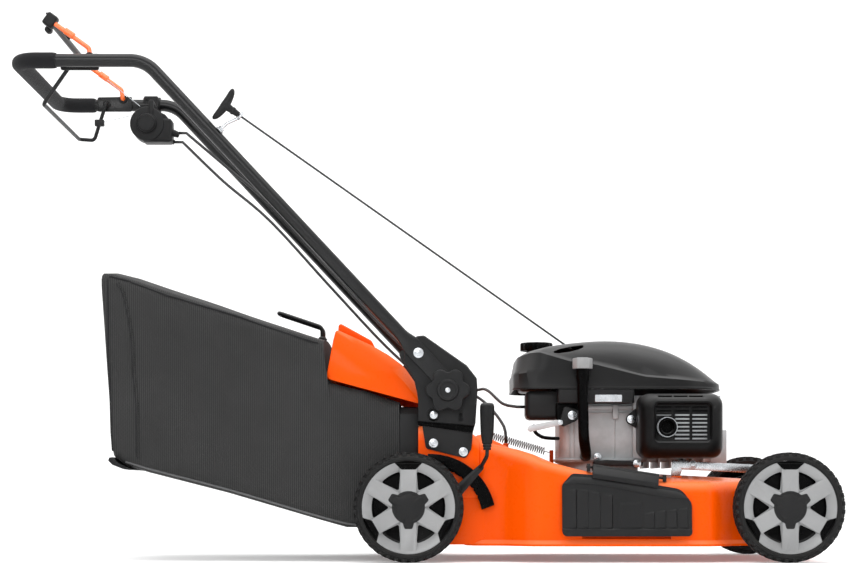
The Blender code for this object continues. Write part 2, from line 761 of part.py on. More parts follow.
def make_fuel_cap():
    base = FUEL_NECK_TOP + CLEAR
    profile = [(0, base + 0.0120), (0.026, base + 0.0120), (FUEL_CAP_RADIUS, base + 0.009), (FUEL_CAP_RADIUS, base),
               (FUEL_NECK_RADIUS - 0.004, base), (FUEL_NECK_RADIUS - 0.004, base - 0.009), (0, base - 0.009)]
    return turned("fuel_cap", profile, (FUEL_X, FUEL_Y, 0))


def make_air_cleaner():
    high_x = ENGINE_X - BLOCK_HALF_LENGTH - CLEAR
    return rounded_box("air_cleaner", (0.199, -0.130, 0.277), (high_x, -0.050, SHROUD_BOTTOM - 0.0025), 0.009)


def make_muffler():
    muffler = rounded_box("muffler", (GUARD_X[0] + 0.016, MUFFLER_FACE_Y, GUARD_Z[0] + 0.013),
                          (GUARD_X[1] - 0.016, GUARD_SEAT_Y + 0.003, GUARD_Z[1] - 0.013), 0.012)
    join(muffler, box("flange", (GUARD_X[0] + 0.001, GUARD_SEAT_Y + CLEAR, GUARD_Z[0] + 0.001),
                      (GUARD_X[1] - 0.001, GUARD_SEAT_Y + 0.005, GUARD_Z[1] - 0.001)))
    join(muffler, rod("pipe", (0.478, GUARD_SEAT_Y + 0.003, 0.240), (0.478, -0.050 - CLEAR, 0.240), 0.0075, 12))
    face = (OUTLET_X, GUARD_TRAY_Y - 0.0065, OUTLET_Z)
    join(muffler, rod("outlet", (OUTLET_X, MUFFLER_FACE_Y + 0.004, OUTLET_Z), face, OUTLET_RADIUS, 24))
    inner = (OUTLET_X, MUFFLER_FACE_Y + 0.020, OUTLET_Z)
    return cut(muffler, rod("outlet_bore", inner, (OUTLET_X, GUARD_TRAY_Y - 0.02, OUTLET_Z), OUTLET_RADIUS - 0.007, 24))


def make_muffler_guard():
    """A deep pressed cover with a sunk, slotted panel round the outlet."""
    wall = 0.0025
    guard = rounded_box("muffler_guard", (GUARD_X[0], GUARD_FACE_Y, GUARD_Z[0]), (GUARD_X[1], GUARD_SEAT_Y + 0.04, GUARD_Z[1]), 0.016)
    keep = box("guard_trim", (0.3, GUARD_SEAT_Y, 0.1), (0.7, 0.05, 0.4))
    hollow = rounded_box("guard_inside", (GUARD_X[0] + wall, GUARD_FACE_Y + wall, GUARD_Z[0] + wall),
                         (GUARD_X[1] - wall, GUARD_SEAT_Y + 0.05, GUARD_Z[1] - wall), 0.0135)
    cut(guard, hollow, keep)
    low, high = (0.444, 0.234), (0.552, 0.307)
    tray = box("tray", (low[0] - wall, GUARD_FACE_Y + 0.001, low[1] - wall), (high[0] + wall, GUARD_TRAY_Y + wall, high[1] + wall))
    join(guard, tray)
    cut(guard, box("tray_sink", (low[0], GUARD_FACE_Y - 0.01, low[1]), (high[0], GUARD_TRAY_Y, high[1])))
    for i in range(3):
        x = 0.504 + 0.016 * i
        cut(guard, box("slot", (x, GUARD_TRAY_Y - 0.01, low[1] + 0.012), (x + 0.007, GUARD_TRAY_Y + 0.012, high[1] - 0.012)))
    hole = rod("outlet_hole", (OUTLET_X, GUARD_TRAY_Y - 0.01, OUTLET_Z), (OUTLET_X, GUARD_TRAY_Y + 0.01, OUTLET_Z),
               OUTLET_RADIUS + CLEAR, 24)
    return cut(guard, hole)


def make_oil_filler():
    top = (OIL_CAP_X, OIL_CAP_Y, OIL_CAP_Z - CLEAR)
    points = [(0.318, -BLOCK_HALF_WIDTH - CLEAR, 0.205), (0.318, -0.125, 0.205), (0.312, OIL_CAP_Y, 0.245),
              (OIL_CAP_X, OIL_CAP_Y, 0.335), top]
    return tube("oil_filler_tube", bent(points, 0.030, 3), OIL_TUBE_RADIUS)


def make_oil_cap():
    profile = [(0, OIL_CAP_Z + 0.022), (OIL_CAP_RADIUS - 0.003, OIL_CAP_Z + 0.022), (OIL_CAP_RADIUS, OIL_CAP_Z + 0.018),
               (OIL_CAP_RADIUS, OIL_CAP_Z + 0.004), (OIL_TUBE_RADIUS + 0.003, OIL_CAP_Z), (0, OIL_CAP_Z)]
    return turned("oil_cap", profile, (OIL_CAP_X, OIL_CAP_Y, 0), steps=20)


def make_belt():
    """A V-belt's loop round both pulleys, in the grooves with a running gap."""
    inner_front = DRIVE_PULLEY_RADIUS - BELT_DEPTH + 0.0012
    inner_rear = DRIVEN_PULLEY_RADIUS - BELT_DEPTH + 0.0012
    outside = link_outline((ENGINE_X, 0, inner_front + BELT_DEPTH), (GEARBOX_X, 0, inner_rear + BELT_DEPTH), steps=24)
    inside = link_outline((ENGINE_X, 0, inner_front), (GEARBOX_X, 0, inner_rear), steps=24)
    return plate("belt", [outside, inside], BELT_Z - BELT_WIDTH / 2 + 0.0012, BELT_Z + BELT_WIDTH / 2 - 0.0012, "Z")


def pulley(name, x, radius, bore):
    half = PULLEY_HEIGHT / 2
    root = radius - BELT_DEPTH
    groove = BELT_WIDTH / 2
    profile = [(bore, half), (radius, half), (radius, groove), (root, groove - 0.0004), (root, -groove + 0.0004),
               (radius, -groove), (radius, -half), (bore, -half)]
    return turned(name, profile, (x, 0, BELT_Z), steps=20, closed=True)


def make_gearbox():
    box_top = BELT_Z - PULLEY_HEIGHT / 2 - 0.001
    case = rod("gearbox", (REAR_PIVOT_X, -0.045, PIVOT_Z), (REAR_PIVOT_X, 0.045, PIVOT_Z), GEAR_CASE_RADIUS, 24)
    join(case, box("input_case", (REAR_PIVOT_X, -0.028, PIVOT_Z - 0.018), (GEARBOX_X + 0.020, 0.028, box_top - 0.002)))
    join(case, rod("input_shaft", (GEARBOX_X, 0, box_top - 0.01), (GEARBOX_X, 0, BELT_Z + PULLEY_HEIGHT / 2 + 0.001), INPUT_SHAFT_RADIUS, 12))
    return cut(case, rod("shaft_bore", (REAR_PIVOT_X, -0.06, PIVOT_Z), (REAR_PIVOT_X, 0.06, PIVOT_Z), SHAFT_RADIUS + CLEAR, 16))


def make_flap_hinge():
    """Pin on two lugs that stand on the deck's shoulder over the side outlet."""
    start, end = side_hinge_line()
    pin = rod("flap_hinge", start, end, 0.0026, 12)
    for x in (SIDE_HINGE_X[0] - 0.007, SIDE_HINGE_X[1] + 0.001):
        centre = start + (end - start) * ((x + 0.003 - start.x) / (end.x - start.x))
        foot = deck_top(x) - 0.0004
        join(pin, box("lug", (x, SIDE_HINGE_Y - 0.006, foot - 0.0006), (x + 0.006, SIDE_HINGE_Y + 0.006, centre.z + 0.006)))
    return pin


def side_hinge_line():
    """Ends of the side flap's sloping hinge axis."""
    fall = math.tan(SIDE_HINGE_SLOPE)
    middle = (SIDE_HINGE_X[0] + SIDE_HINGE_X[1]) / 2
    ends = []
    for x in (SIDE_HINGE_X[0] - 0.008, SIDE_HINGE_X[1] + 0.008):
        ends.append(Vector((x, SIDE_HINGE_Y, SIDE_HINGE_Z - fall * (x - middle))))
    return ends


def make_side_flap():
    """Ribbed guard that hangs over the side outlet, leaning out towards its lower edge."""
    top = SIDE_HINGE_Z
    low_x, high_x = SIDE_FLAP_X
    corners = [(low_x + 0.004, SIDE_FLAP_BOTTOM), (high_x - 0.003, SIDE_FLAP_BOTTOM), (high_x, 0.121), (high_x - 0.022, 0.140),
               (0.316, top - 0.002), (0.284, top - 0.002), (low_x, 0.150)]
    flap = plate("side_flap", [rounded(corners, [0.008, 0.008, 0.006, 0.006, 0.006, 0.006, 0.006], 2)],
                 -SIDE_FLAP_WALL, 0)
    for i in range(4):
        x = low_x + 0.020 + 0.021 * i
        join(flap, box("rib", (x, -SIDE_FLAP_WALL - 0.003, SIDE_FLAP_BOTTOM + 0.012), (x + 0.004, -0.001, 0.140 - 0.004 * i)))
    for i in range(5):
        x = low_x + 0.138 + 0.021 * i
        join(flap, box("rib", (x, -SIDE_FLAP_WALL - 0.003, SIDE_FLAP_BOTTOM + 0.012), (x + 0.004, -0.001, 0.098 + 0.004 * i)))
    join(flap, box("foot_bar", (low_x + 0.006, -SIDE_FLAP_WALL - 0.003, SIDE_FLAP_BOTTOM + 0.001),
                   (high_x - 0.005, -0.001, SIDE_FLAP_BOTTOM + 0.009)))
    flap = as_mesh(flap)
    for vertex in flap.data.vertices:
        vertex.co.y += SIDE_FLAP_TOP_Y - (top - vertex.co.z) * SIDE_FLAP_LEAN
    start, end = side_hinge_line()
    along = (end - start).normalized()
    length = (end - start).length
    barrel = rod("barrel", start + along * 0.0095, start + along * (length - 0.0095), SIDE_HINGE_RADIUS, 16)
    join(barrel, side_flap_web(start, along, length))
    join(flap, barrel)
    return cut(flap, rod("pin_bore", start - along * 0.02, end + along * 0.02, 0.0026 + CLEAR, 16))


def side_flap_web(start, along, length):
    """Strip that joins the flap's plate to its barrel."""
    ends = [start + along * 0.012, start + along * (length - 0.012)]
    rings = []
    for end in ends:
        rings.append([
            (end.x, SIDE_HINGE_Y - 0.001, end.z - 0.0025),
            (end.x, SIDE_FLAP_TOP_Y - 0.0033, end.z - 0.0180),
            (end.x, SIDE_FLAP_TOP_Y - 0.0033, end.z - 0.0120),
            (end.x, SIDE_HINGE_Y - 0.001, end.z + 0.0025),
        ])
    return loft("flap_web", rings)


def make_handle_bracket():
    """Right steel side plate that carries the handle, the rear flap and the chute's side."""
    outline = rounded(BRACKET_OUTLINE, [0.006] * len(BRACKET_OUTLINE), 2)
    holes = [circle((FOLD_X, FOLD_Z), KNOB_STUD + CLEAR, 12), circle((FLAP_PIVOT_X, FLAP_PIVOT_Z), FLAP_PIN + CLEAR, 12)]
    return plate("handle_bracket_right", [outline] + holes, -BRACKET_Y - BRACKET_THICKNESS, -BRACKET_Y)


def make_bracket_cover():
    outline = rounded(COVER_OUTLINE, [0.008] * len(COVER_OUTLINE), 2)
    hole = circle((FOLD_X, FOLD_Z), KNOB_STUD + CLEAR, 12)
    return plate("bracket_cover_right", [outline, hole], -COVER_Y - COVER_THICKNESS, -COVER_Y)


def make_quadrant():
    """Toothed arc that the height lever clicks into, on two feet against the deck."""
    outer, inner = [], []
    first, last = math.radians(102), math.radians(8)
    for i in range(13):
        angle = first + (last - first) * i / 12
        outer.append((REAR_PIVOT_X + QUADRANT_RADIUS * math.cos(angle), PIVOT_Z + QUADRANT_RADIUS * math.sin(angle)))
    low = QUADRANT_RADIUS - QUADRANT_WIDTH
    notches = 7
    for i in range(notches * 4 + 1):
        angle = last + (first - last) * i / (notches * 4)
        radius = low + (0.006 if i % 4 in (1, 2) else 0.0)
        inner.append((REAR_PIVOT_X + radius * math.cos(angle), PIVOT_Z + radius * math.sin(angle)))
    arc = plate("height_quadrant", [outer + inner], -CRANK_PLATE_Y - 0.004, -CRANK_PLATE_Y)
    middle = QUADRANT_RADIUS - QUADRANT_WIDTH / 2 + 0.002
    for degrees, wall in ((84, TUNNEL_HALF), (13, DECK_WAIST)):
        angle = math.radians(degrees)
        x, z = REAR_PIVOT_X + middle * math.cos(angle), PIVOT_Z + middle * math.sin(angle)
        join(arc, box("foot", (x - 0.009, -CRANK_PLATE_Y - 0.001, z - 0.006), (x + 0.003, -wall - CLEAR, z + 0.006)))
    return arc


def make_front_brace():
    low, high = BRACE_REAR_X, BRACE_FRONT_X + 0.020
    seat = BRACE_SEAT + CLEAR
    corners = [(low, seat), (low + 0.018, seat), (low + 0.022, seat + 0.012), (high - 0.028, seat + 0.006),
               (high - 0.018, seat), (high, seat), (high, seat + 0.021), (low + 0.003, seat + 0.030)]
    return plate("front_brace", [corners], BRACE_Y - 0.0015, BRACE_Y + 0.0015)


def make_lift_spring():
    """Tension spring between two posts: a helix whose ends run in to its axis and straight out."""
    start, end = Vector(SPRING_REAR), Vector(SPRING_FRONT)
    along = (end - start).normalized()
    length = (end - start).length
    side, up = Vector((0, 1, 0)), along.cross(Vector((0, 1, 0)))
    lead = 0.010
    steps = 6
    points = [start + along * CLEAR, start + along * (CLEAR + 2 * SPRING_WIRE), start + along * 0.006]
    coil = []
    for i in range(SPRING_TURNS * steps + 1):
        angle = 2 * math.pi * i / steps
        depth = lead + (length - 2 * lead) * i / (SPRING_TURNS * steps)
        coil.append(start + along * depth + (side * math.cos(angle) + up * math.sin(angle)) * SPRING_RADIUS)
    points += coil
    points += [end - along * 0.006, end - along * (CLEAR + 2 * SPRING_WIRE), end - along * CLEAR]
    gap = least_gap([tuple(p) for p in coil], steps) - 2 * SPRING_WIRE
    print("least gap between the spring's curls: %.2f mm" % (1000 * gap))
    return tube("lift_spring", [tuple(p) for p in points], SPRING_WIRE, 0)


def least_gap(points, steps):
    """Least distance between a coil's points that are at least most of a turn apart."""
    least = 1.0
    for i, point in enumerate(points):
        for other in points[i + steps - 2 : i + 2 * steps]:
            least = min(least, (Vector(point) - Vector(other)).length)
    return least


def rope_line():
    """Start at the eyelet, end in the shroud and unit direction of the starter rope."""
    start = Vector((EYELET_X, -TUBE_Y, EYELET_Z))
    end = Vector((ROPE_SLOT_X, ROPE_SLOT_Y, ROPE_SLOT_Z))
    return start, end, (end - start).normalized()


def make_starter_rope():
    start, end, along = rope_line()
    count = 8
    start = start - along * EYELET_HALF
    reach = end + along * 0.012 - start
    points = [tuple(start + reach * i / count) for i in range(count + 1)]
    return tube("starter_rope", points, ROPE_RADIUS, 1)


def channel(name, outline, wall, half):
    """A hollow with end cheeks, open along the side from the outline's last point to its first."""
    bm = bmesh.new()
    skins = []
    for points, reach in ((outline, half), (inset(outline, wall), half - wall)):
        skins.append([[bm.verts.new((x, side * reach, z)) for x, z in points] for side in (-1, 1)])
    for right, left in skins:
        for i in range(len(outline) - 1):
            bm.faces.new((right[i], right[i + 1], left[i + 1], left[i]))
        bm.faces.new(right)
        bm.faces.new(left)
    (right, left), (inner_right, inner_left) = skins
    for edge, inner_edge in ((right, inner_right), (left, inner_left)):
        bm.faces.new((edge[-1], edge[0], inner_edge[0], inner_edge[-1]))
    for i in (0, -1):
        bm.faces.new((right[i], left[i], inner_left[i], inner_right[i]))
    return from_bmesh(name, bm)


def make_rear_flap():
    """Sprung chute cover with deep cheeks. It lies on the bag's neck."""
    outline = rounded(FLAP_OUTLINE, FLAP_RADII, 2)
    flap = channel("rear_flap", outline[3:] + outline[:3], FLAP_WALL, FLAP_HALF)
    reach = BRACKET_Y + BRACKET_THICKNESS - CLEAR
    for side, word, y in both(reach):
        start = (FLAP_PIVOT_X, side * (FLAP_HALF - 0.003), FLAP_PIVOT_Z)
        join(flap, rod("flap_pin", start, (FLAP_PIVOT_X, y, FLAP_PIVOT_Z), FLAP_PIN, 12))
    return flap


def is_counter_clockwise(outline):
    area = 0.0
    for i, (x, y) in enumerate(outline):
        area += outline[i - 1][0] * y - x * outline[i - 1][1]
    return area > 0


def bag_ring(low, high, half, crown, shrink):
    """Cross-section between a low and a high point of the side view, with a domed top."""
    ring = []
    height = high[1] - low[1]
    edge = half - shrink
    corners = [(-edge, 0), (edge, 0), (edge, height), (-edge, height)]
    flat = rounded(corners, [BAG_CORNER - shrink] * 4, 2)
    for y, rise in spaced_top(flat, half):
        share = rise / height
        lift = crown * share * max(0.0, 1 - (y / half) ** 2)
        ring.append((low[0] + (high[0] - low[0]) * share, y, low[1] + rise + lift))
    return ring


def spaced_top(flat, half):
    """Adds points along the long top and bottom edges, so that they can dome."""
    made = []
    for i, point in enumerate(flat):
        made.append(point)
        ahead = flat[(i + 1) % len(flat)]
        if abs(ahead[0] - point[0]) > half:
            for k in (1, 2, 3):
                made.append((point[0] + (ahead[0] - point[0]) * k / 4, point[1]))
    return made


def bag_rings(shrink):
    mouth_x = FRAME_REAR_X - CLEAR
    stations = [
        ((mouth_x, TUNNEL_FLOOR + 0.002), (mouth_x, FRAME_TOP), FRAME_HALF, 0.0),
        ((-0.080, 0.095), (-0.120, 0.3290), 0.204, 0.0),
        ((-0.115, 0.066), (-0.2005, 0.3490), BAG_HALF, 0.0),
        ((-0.150, 0.066), (-0.2010, 0.4100), BAG_HALF, 0.006),
        ((-0.200, 0.080), (-0.2020, 0.4270), BAG_HALF, 0.014),
        ((-0.380, 0.133), (-0.4100, 0.4930), BAG_HALF, 0.020),
        ((-0.532, 0.172), (-0.5680, 0.5450), BAG_HALF, 0.020),
        ((-0.576, 0.185), (-0.6060, 0.5540), BAG_HALF - 0.006, 0.018),
        ((-0.601, 0.204), (-0.6190, 0.5460), BAG_HALF - 0.022, 0.014),
    ]
    count = len(stations)
    side = [station[0] for station in stations] + [station[1] for station in stations[::-1]]
    shrunk = inset(side, -shrink)
    rings = []
    for i, (_, _, half, crown) in enumerate(stations):
        low, high = shrunk[i], shrunk[2 * count - 1 - i]
        if i == 0:
            low, high = (mouth_x, low[1]), (mouth_x, high[1])
        rings.append(bag_ring(low, high, half, crown, shrink))
    return rings


def make_bag():
    """The bag's cloth: its inside from the rear to the mouth, then its outside back to the rear."""
    return loft("bag_fabric", bag_rings(BAG_WALL)[::-1] + bag_rings(0))


def make_bag_frame():
    """Moulded frame round the bag's mouth, with an inner lip that enters the chute's mouth."""
    outline = rounded([(-FRAME_HALF, TUNNEL_FLOOR + 0.002), (FRAME_HALF, TUNNEL_FLOOR + 0.002),
                       (FRAME_HALF, FRAME_TOP), (-FRAME_HALF, FRAME_TOP)], [0.030] * 4, 3)
    low, high = TUNNEL_FLOOR + 0.014, MOUTH_TOP - 0.006
    half = MOUTH_HALF - 0.004
    hole = rounded([(-half, low), (half, low), (half, high), (-half, high)], [0.012] * 4, 2)
    return plate("bag_frame", [outline, hole], FRAME_REAR_X, FRAME_FRONT_X, "X")


def make_bag_handle():
    """Carrying loop that reaches back over the bag's ridge from two feet at its front."""
    near, far = LOOP_X
    side = [(near, LOOP_HALF, LOOP_FOOT_Z), (near, LOOP_HALF, LOOP_Z[0]), (far, LOOP_HALF, LOOP_Z[1])]
    other = [(x, -y, z) for x, y, z in side[::-1]]
    return tube("bag_handle", bent(side + other, 0.010, 2), LOOP_RADIUS)


def crank(name, pivot_x, driven):
    """Two side plates with stub axles, joined across the machine, and an inner arm for the height link.

    A driven crank turns on hubs round the drive shaft, and its cross rod runs below that shaft.
    """
    wheel_x, wheel_z = pivot_x - ARM_BACK, PIVOT_Z + ARM_RISE
    circles = [(pivot_x, PIVOT_Z, 0.018), (wheel_x, wheel_z, 0.015)]
    holes = []
    rod_x, rod_z, rod_radius = pivot_x, PIVOT_Z, SHAFT_RADIUS
    if driven:
        rod_x, rod_z = cross_rod_place(pivot_x)
        rod_radius = CROSS_ROD_RADIUS
        circles.append((rod_x, rod_z, 0.010))
        holes.append(circle((pivot_x, PIVOT_Z), SHAFT_RADIUS + CLEAR, 16))
    outer = CRANK_PLATE_Y + CRANK_PLATE
    made = rod(name, (rod_x, 0.002 - outer, rod_z), (rod_x, outer - 0.002, rod_z), rod_radius, 12 if driven else 16)
    for side in (-1, 1):
        low, high = sorted((side * CRANK_PLATE_Y, side * outer))
        join(made, plate("crank_plate", [link_outline(*circles)] + holes, low, high))
        start = (wheel_x, side * (outer - 0.003), wheel_z)
        join(made, rod("stub", start, (wheel_x, side * STUB_END_Y, wheel_z), STUB_RADIUS, 16))
        if driven:
            join(made, crank_hub(pivot_x, side))
    return join(made, link_lever(pivot_x, driven))


def crank_hub(pivot_x, side):
    """Sleeve round the drive shaft that turns in the deck's hanger."""
    bore, outside = SHAFT_RADIUS + CLEAR, HANGER_BORE - CLEAR
    low, high = HANGER_Y - 0.008, CRANK_PLATE_Y + 0.002
    profile = [(bore, high), (outside, high), (outside, low), (bore, low)]
    hub = turned("crank_hub", profile, (pivot_x, 0, PIVOT_Z), "Y", 20, closed=True)
    if side < 0:
        flip_side(hub)
    return hub


def flip_side(obj):
    """Moves a piece made on the left side to the right side."""
    obj.data.transform(Matrix.Scale(-1, 4, (0, 1, 0)))
    obj.data.flip_normals()


def cross_rod_place(pivot_x):
    angle = math.radians(-130)
    return pivot_x + 0.032 * math.cos(angle), PIVOT_Z + 0.032 * math.sin(angle)


def link_lever(pivot_x, driven):
    """Short arm near the deck's left wall with the pin that the height link turns on."""
    circles = [(pivot_x, PIVOT_Z, 0.0125), (pivot_x, PIVOT_Z + LINK_ARM, 0.0060)]
    holes = []
    if driven:
        rod_x, rod_z = cross_rod_place(pivot_x)
        circles.append((rod_x, rod_z, 0.009))
        holes.append(circle((pivot_x, PIVOT_Z), SHAFT_RADIUS + CLEAR, 16))
    arm_y = LINK_Y - 0.004 - CLEAR
    arm = plate("link_arm", [link_outline(*circles)] + holes, arm_y - 0.004, arm_y)
    pin = rod("link_pin", (pivot_x, arm_y - 0.001, PIVOT_Z + LINK_ARM), (pivot_x, LINK_Y + 0.006, PIVOT_Z + LINK_ARM), 0.0032, 12)
    return join(arm, pin)


def make_height_link():
    z = PIVOT_Z + LINK_ARM
    link = rod("height_link", (REAR_PIVOT_X, LINK_Y, z), (FRONT_PIVOT_X, LINK_Y, z), LINK_RADIUS - 0.0002, 10)
    for x in (REAR_PIVOT_X, FRONT_PIVOT_X):
        join(link, rod("eye", (x, LINK_Y - 0.004, z), (x, LINK_Y + 0.004, z), 0.0062, 16))
    for x in (REAR_PIVOT_X, FRONT_PIVOT_X):
        cut(link, rod("eye_bore", (x, LINK_Y - 0.02, z), (x, LINK_Y + 0.02, z), 0.0032 + CLEAR, 12))
    return link


def make_height_lever():
    """Flat spring lever on the right crank: up past the quadrant, then bent out to its grip."""
    root = (REAR_PIVOT_X, PIVOT_Z, 0.016)
    tip = lever_point(LEVER_BEND)
    outline = link_outline(root, (tip[0], tip[1], 0.006))
    hole = circle((REAR_PIVOT_X, PIVOT_Z), SHAFT_RADIUS + 2 * CLEAR, 16)
    strip = plate("height_lever", [outline, hole], -LEVER_Y - LEVER_THICKNESS, -LEVER_Y)
    middle_y = -LEVER_Y - LEVER_THICKNESS / 2
    heel = lever_point(LEVER_BEND - 0.008)
    top = (KNEE[0], LEVER_GRIP_Y, GRIP_Z[0] + 0.060)
    points = [(heel[0], middle_y, heel[1]), (tip[0], middle_y, tip[1]), (KNEE[0], LEVER_GRIP_Y, KNEE[1]), top]
    return join(strip, tube("lever_rod", bent(points, 0.010, 2), LEVER_ROD))


def lever_point(distance):
    return (REAR_PIVOT_X + distance * math.cos(LEVER_ANGLE), PIVOT_Z + distance * math.sin(LEVER_ANGLE))


def make_height_grip():
    start = Vector((KNEE[0], LEVER_GRIP_Y, GRIP_Z[0]))
    end = Vector((KNEE[0], LEVER_GRIP_Y, GRIP_Z[1]))
    along = Vector((0, 0, 1))
    neck = rod("height_grip", start, start + along * 0.020, 0.0065, 16, 0.011)
    join(neck, rod("grip_body", start + along * 0.0195, end - along * 0.008, 0.0125, 16, 0.0140))
    join(neck, rod("grip_end", end - along * 0.0085, end, 0.0140, 16, 0.0085))
    bore_end = start + along * (0.060 + CLEAR)
    return cut(neck, rod("grip_bore", start - along * 0.01, bore_end, LEVER_ROD + CLEAR, 12))


def make_crankshaft():
    profile = [(0, 0.396), (0.012, 0.396), (0.012, 0.3798), (FLYWHEEL_RADIUS, 0.378), (FLYWHEEL_RADIUS, 0.362), (0.018, 0.360),
               (CRANKSHAFT_RADIUS, 0.345), (CRANKSHAFT_RADIUS, 0.071), (0.024, 0.070)]
    top, under = BLADE_Z + BLADE_THICKNESS / 2 + CLEAR, BLADE_Z - BLADE_THICKNESS / 2 - CLEAR
    profile += [(0.024, top), (BLADE_BOLT, top), (BLADE_BOLT, under), (0.014, under), (0.014, under - 0.007), (0, under - 0.007)]
    return turned("crankshaft", profile, (ENGINE_X, 0, 0), steps=20)


def make_blade():
    """Flat bar with its trailing corners bent up into lift wings."""
    half, width = BLADE_LENGTH / 2, BLADE_WIDTH / 2
    low, high = BLADE_Z - BLADE_THICKNESS / 2, BLADE_Z + BLADE_THICKNESS / 2
    outline = [(ENGINE_X - width, -half), (ENGINE_X + width * 0.55, -half), (ENGINE_X + width, -half + 0.09), (ENGINE_X + width, half),
               (ENGINE_X - width * 0.55, half), (ENGINE_X - width, half - 0.09)]
    blade = plate("blade", [outline, circle((ENGINE_X, 0), BLADE_BOLT + CLEAR, 16)], low, high, "Z")
    for side in (-1, 1):
        rings = []
        for y in (side * (half - 0.012), side * (half - 0.085)):
            inner = ENGINE_X + side * width * 0.9
            outer = ENGINE_X + side * (width + 0.012)
            if side > 0:
                inner, outer = ENGINE_X + width * 0.9, ENGINE_X + width + 0.012
            else:
                inner, outer = ENGINE_X - width * 0.9, ENGINE_X - width - 0.012
            rings.append([(inner, y, low + 0.0005), (outer, y, high + 0.012), (outer, y, high + 0.016), (inner, y, high - 0.0002)])
        join(blade, loft("wing", rings))
    return blade


def make_drive_shaft():
    """Axle shaft through gearbox and hangers, with a pinion in each rear wheel."""
    reach = PINION_Y + 0.012
    shaft = rod("drive_shaft", (REAR_PIVOT_X, -reach, PIVOT_Z), (REAR_PIVOT_X, reach, PIVOT_Z), SHAFT_RADIUS, 16)
    for side, word, y in both(PINION_Y):
        join(shaft, rod("pinion", (REAR_PIVOT_X, y, PIVOT_Z), (REAR_PIVOT_X, y + side * 0.010, PIVOT_Z), PINION_RADIUS, 16))
    return shaft


def wheel_parts(word, x, z, side):
    """Tyre, rim and cap of one wheel. Distances along the axle are measured outwards from the middle plane."""
    centre = (x, 0, z)
    outer, inner = HALF_TRACK, TYRE_INNER_Y
    seat = RIM_RADIUS + CLEAR
    profile = [(seat, outer - 0.004), (WHEEL_RADIUS - 0.010, outer), (WHEEL_RADIUS, outer - 0.012), (WHEEL_RADIUS, inner + 0.012),
               (WHEEL_RADIUS - 0.010, inner), (seat, inner + 0.004)]
    tyre = turned("tyre_" + word, profile, centre, "Y", WHEEL_STEPS, closed=True)
    cap = as_mesh(make_cap(word, centre, outer - 0.012))
    made = [tyre, as_mesh(make_rim(word, centre)), cap]
    if side < 0:
        for obj in made:
            flip_side(obj)
    return made


def make_rim(word, centre):
    """Band, web and hub in one turning, with six windows and the ring that the drive pinion runs in."""
    outer, inner = HALF_TRACK, TYRE_INNER_Y
    web_out, web_in = outer - 0.012, outer - 0.020
    band = RIM_RADIUS - RIM_BAND
    bore = STUB_RADIUS + CLEAR
    ring = (ARM_LENGTH + PINION_RADIUS + 0.0006) / math.cos(math.pi / WHEEL_STEPS)
    profile = [(RIM_RADIUS, inner + 0.006), (RIM_RADIUS, outer - 0.004), (band, web_out), (bore, web_out), (bore, HUB_FACE_Y),
               (HUB_RADIUS, HUB_FACE_Y), (HUB_RADIUS, web_in), (ring, web_in), (ring, inner + 0.004), (ring + 0.004, inner + 0.004),
               (ring + 0.004, web_in), (band, web_in), (RIM_RADIUS - 0.004, inner + 0.006)]
    rim = turned("rim_" + word, profile, centre, "Y", WHEEL_STEPS, closed=True)
    for i in range(6):
        outline = window(centre, math.radians(60 * i), band - 0.005)
        cut(rim, plate("window", [outline], web_in - 0.0005, web_out + 0.001))
    return rim


def window(centre, middle, outer):
    """A three-sided opening with parallel spoke edges on both sides."""
    half = SPOKE_WIDTH / 2
    points = []
    spread = math.radians(30) - math.asin(half / outer)
    for share in (-1, 0, 1):
        points.append((outer, middle + share * spread))
    made = [(centre[0] + r * math.cos(a), centre[2] + r * math.sin(a)) for r, a in points]
    made.append((centre[0] + WINDOW_INNER * math.cos(middle), centre[2] + WINDOW_INNER * math.sin(middle)))
    return made


def make_cap(word, centre, web_out):
    """Dark hub cap with three lobes, standing off the web."""
    points = []
    for i in range(24):
        angle = 2 * math.pi * i / 24 + math.pi / 6
        lobe = max(0.0, math.cos(3 * (angle - math.pi / 6))) ** 2
        radius = CAP_RADIUS + (CAP_LOBE_REACH - CAP_RADIUS) * lobe
        points.append((centre[0] + radius * math.cos(angle), centre[2] + radius * math.sin(angle)))
    low = web_out + CLEAR
    cap = plate("hub_cap_" + word, [points], low, HALF_TRACK - 0.005)
    return join(cap, turned("cap_dome", [(0, HALF_TRACK - 0.0015), (0.018, HALF_TRACK - 0.0025), (0.026, HALF_TRACK - 0.0052), (0, HALF_TRACK - 0.0052)],
                            centre, "Y", 12))


def handle_points():
    """Route of the handle's tube from its right lower end, round the grip, to the left one."""
    rake = HANDLE_RAKE
    down = (math.cos(rake), -math.sin(rake))
    low = (LOCK_X + down[0] * TUBE_BELOW_LOCK, LOCK_Z + down[1] * TUBE_BELOW_LOCK)
    climb = (HANDLE_HEIGHT - LOCK_Z) / math.sin(rake)
    corner = (LOCK_X - down[0] * climb, HANDLE_HEIGHT)
    return low, corner


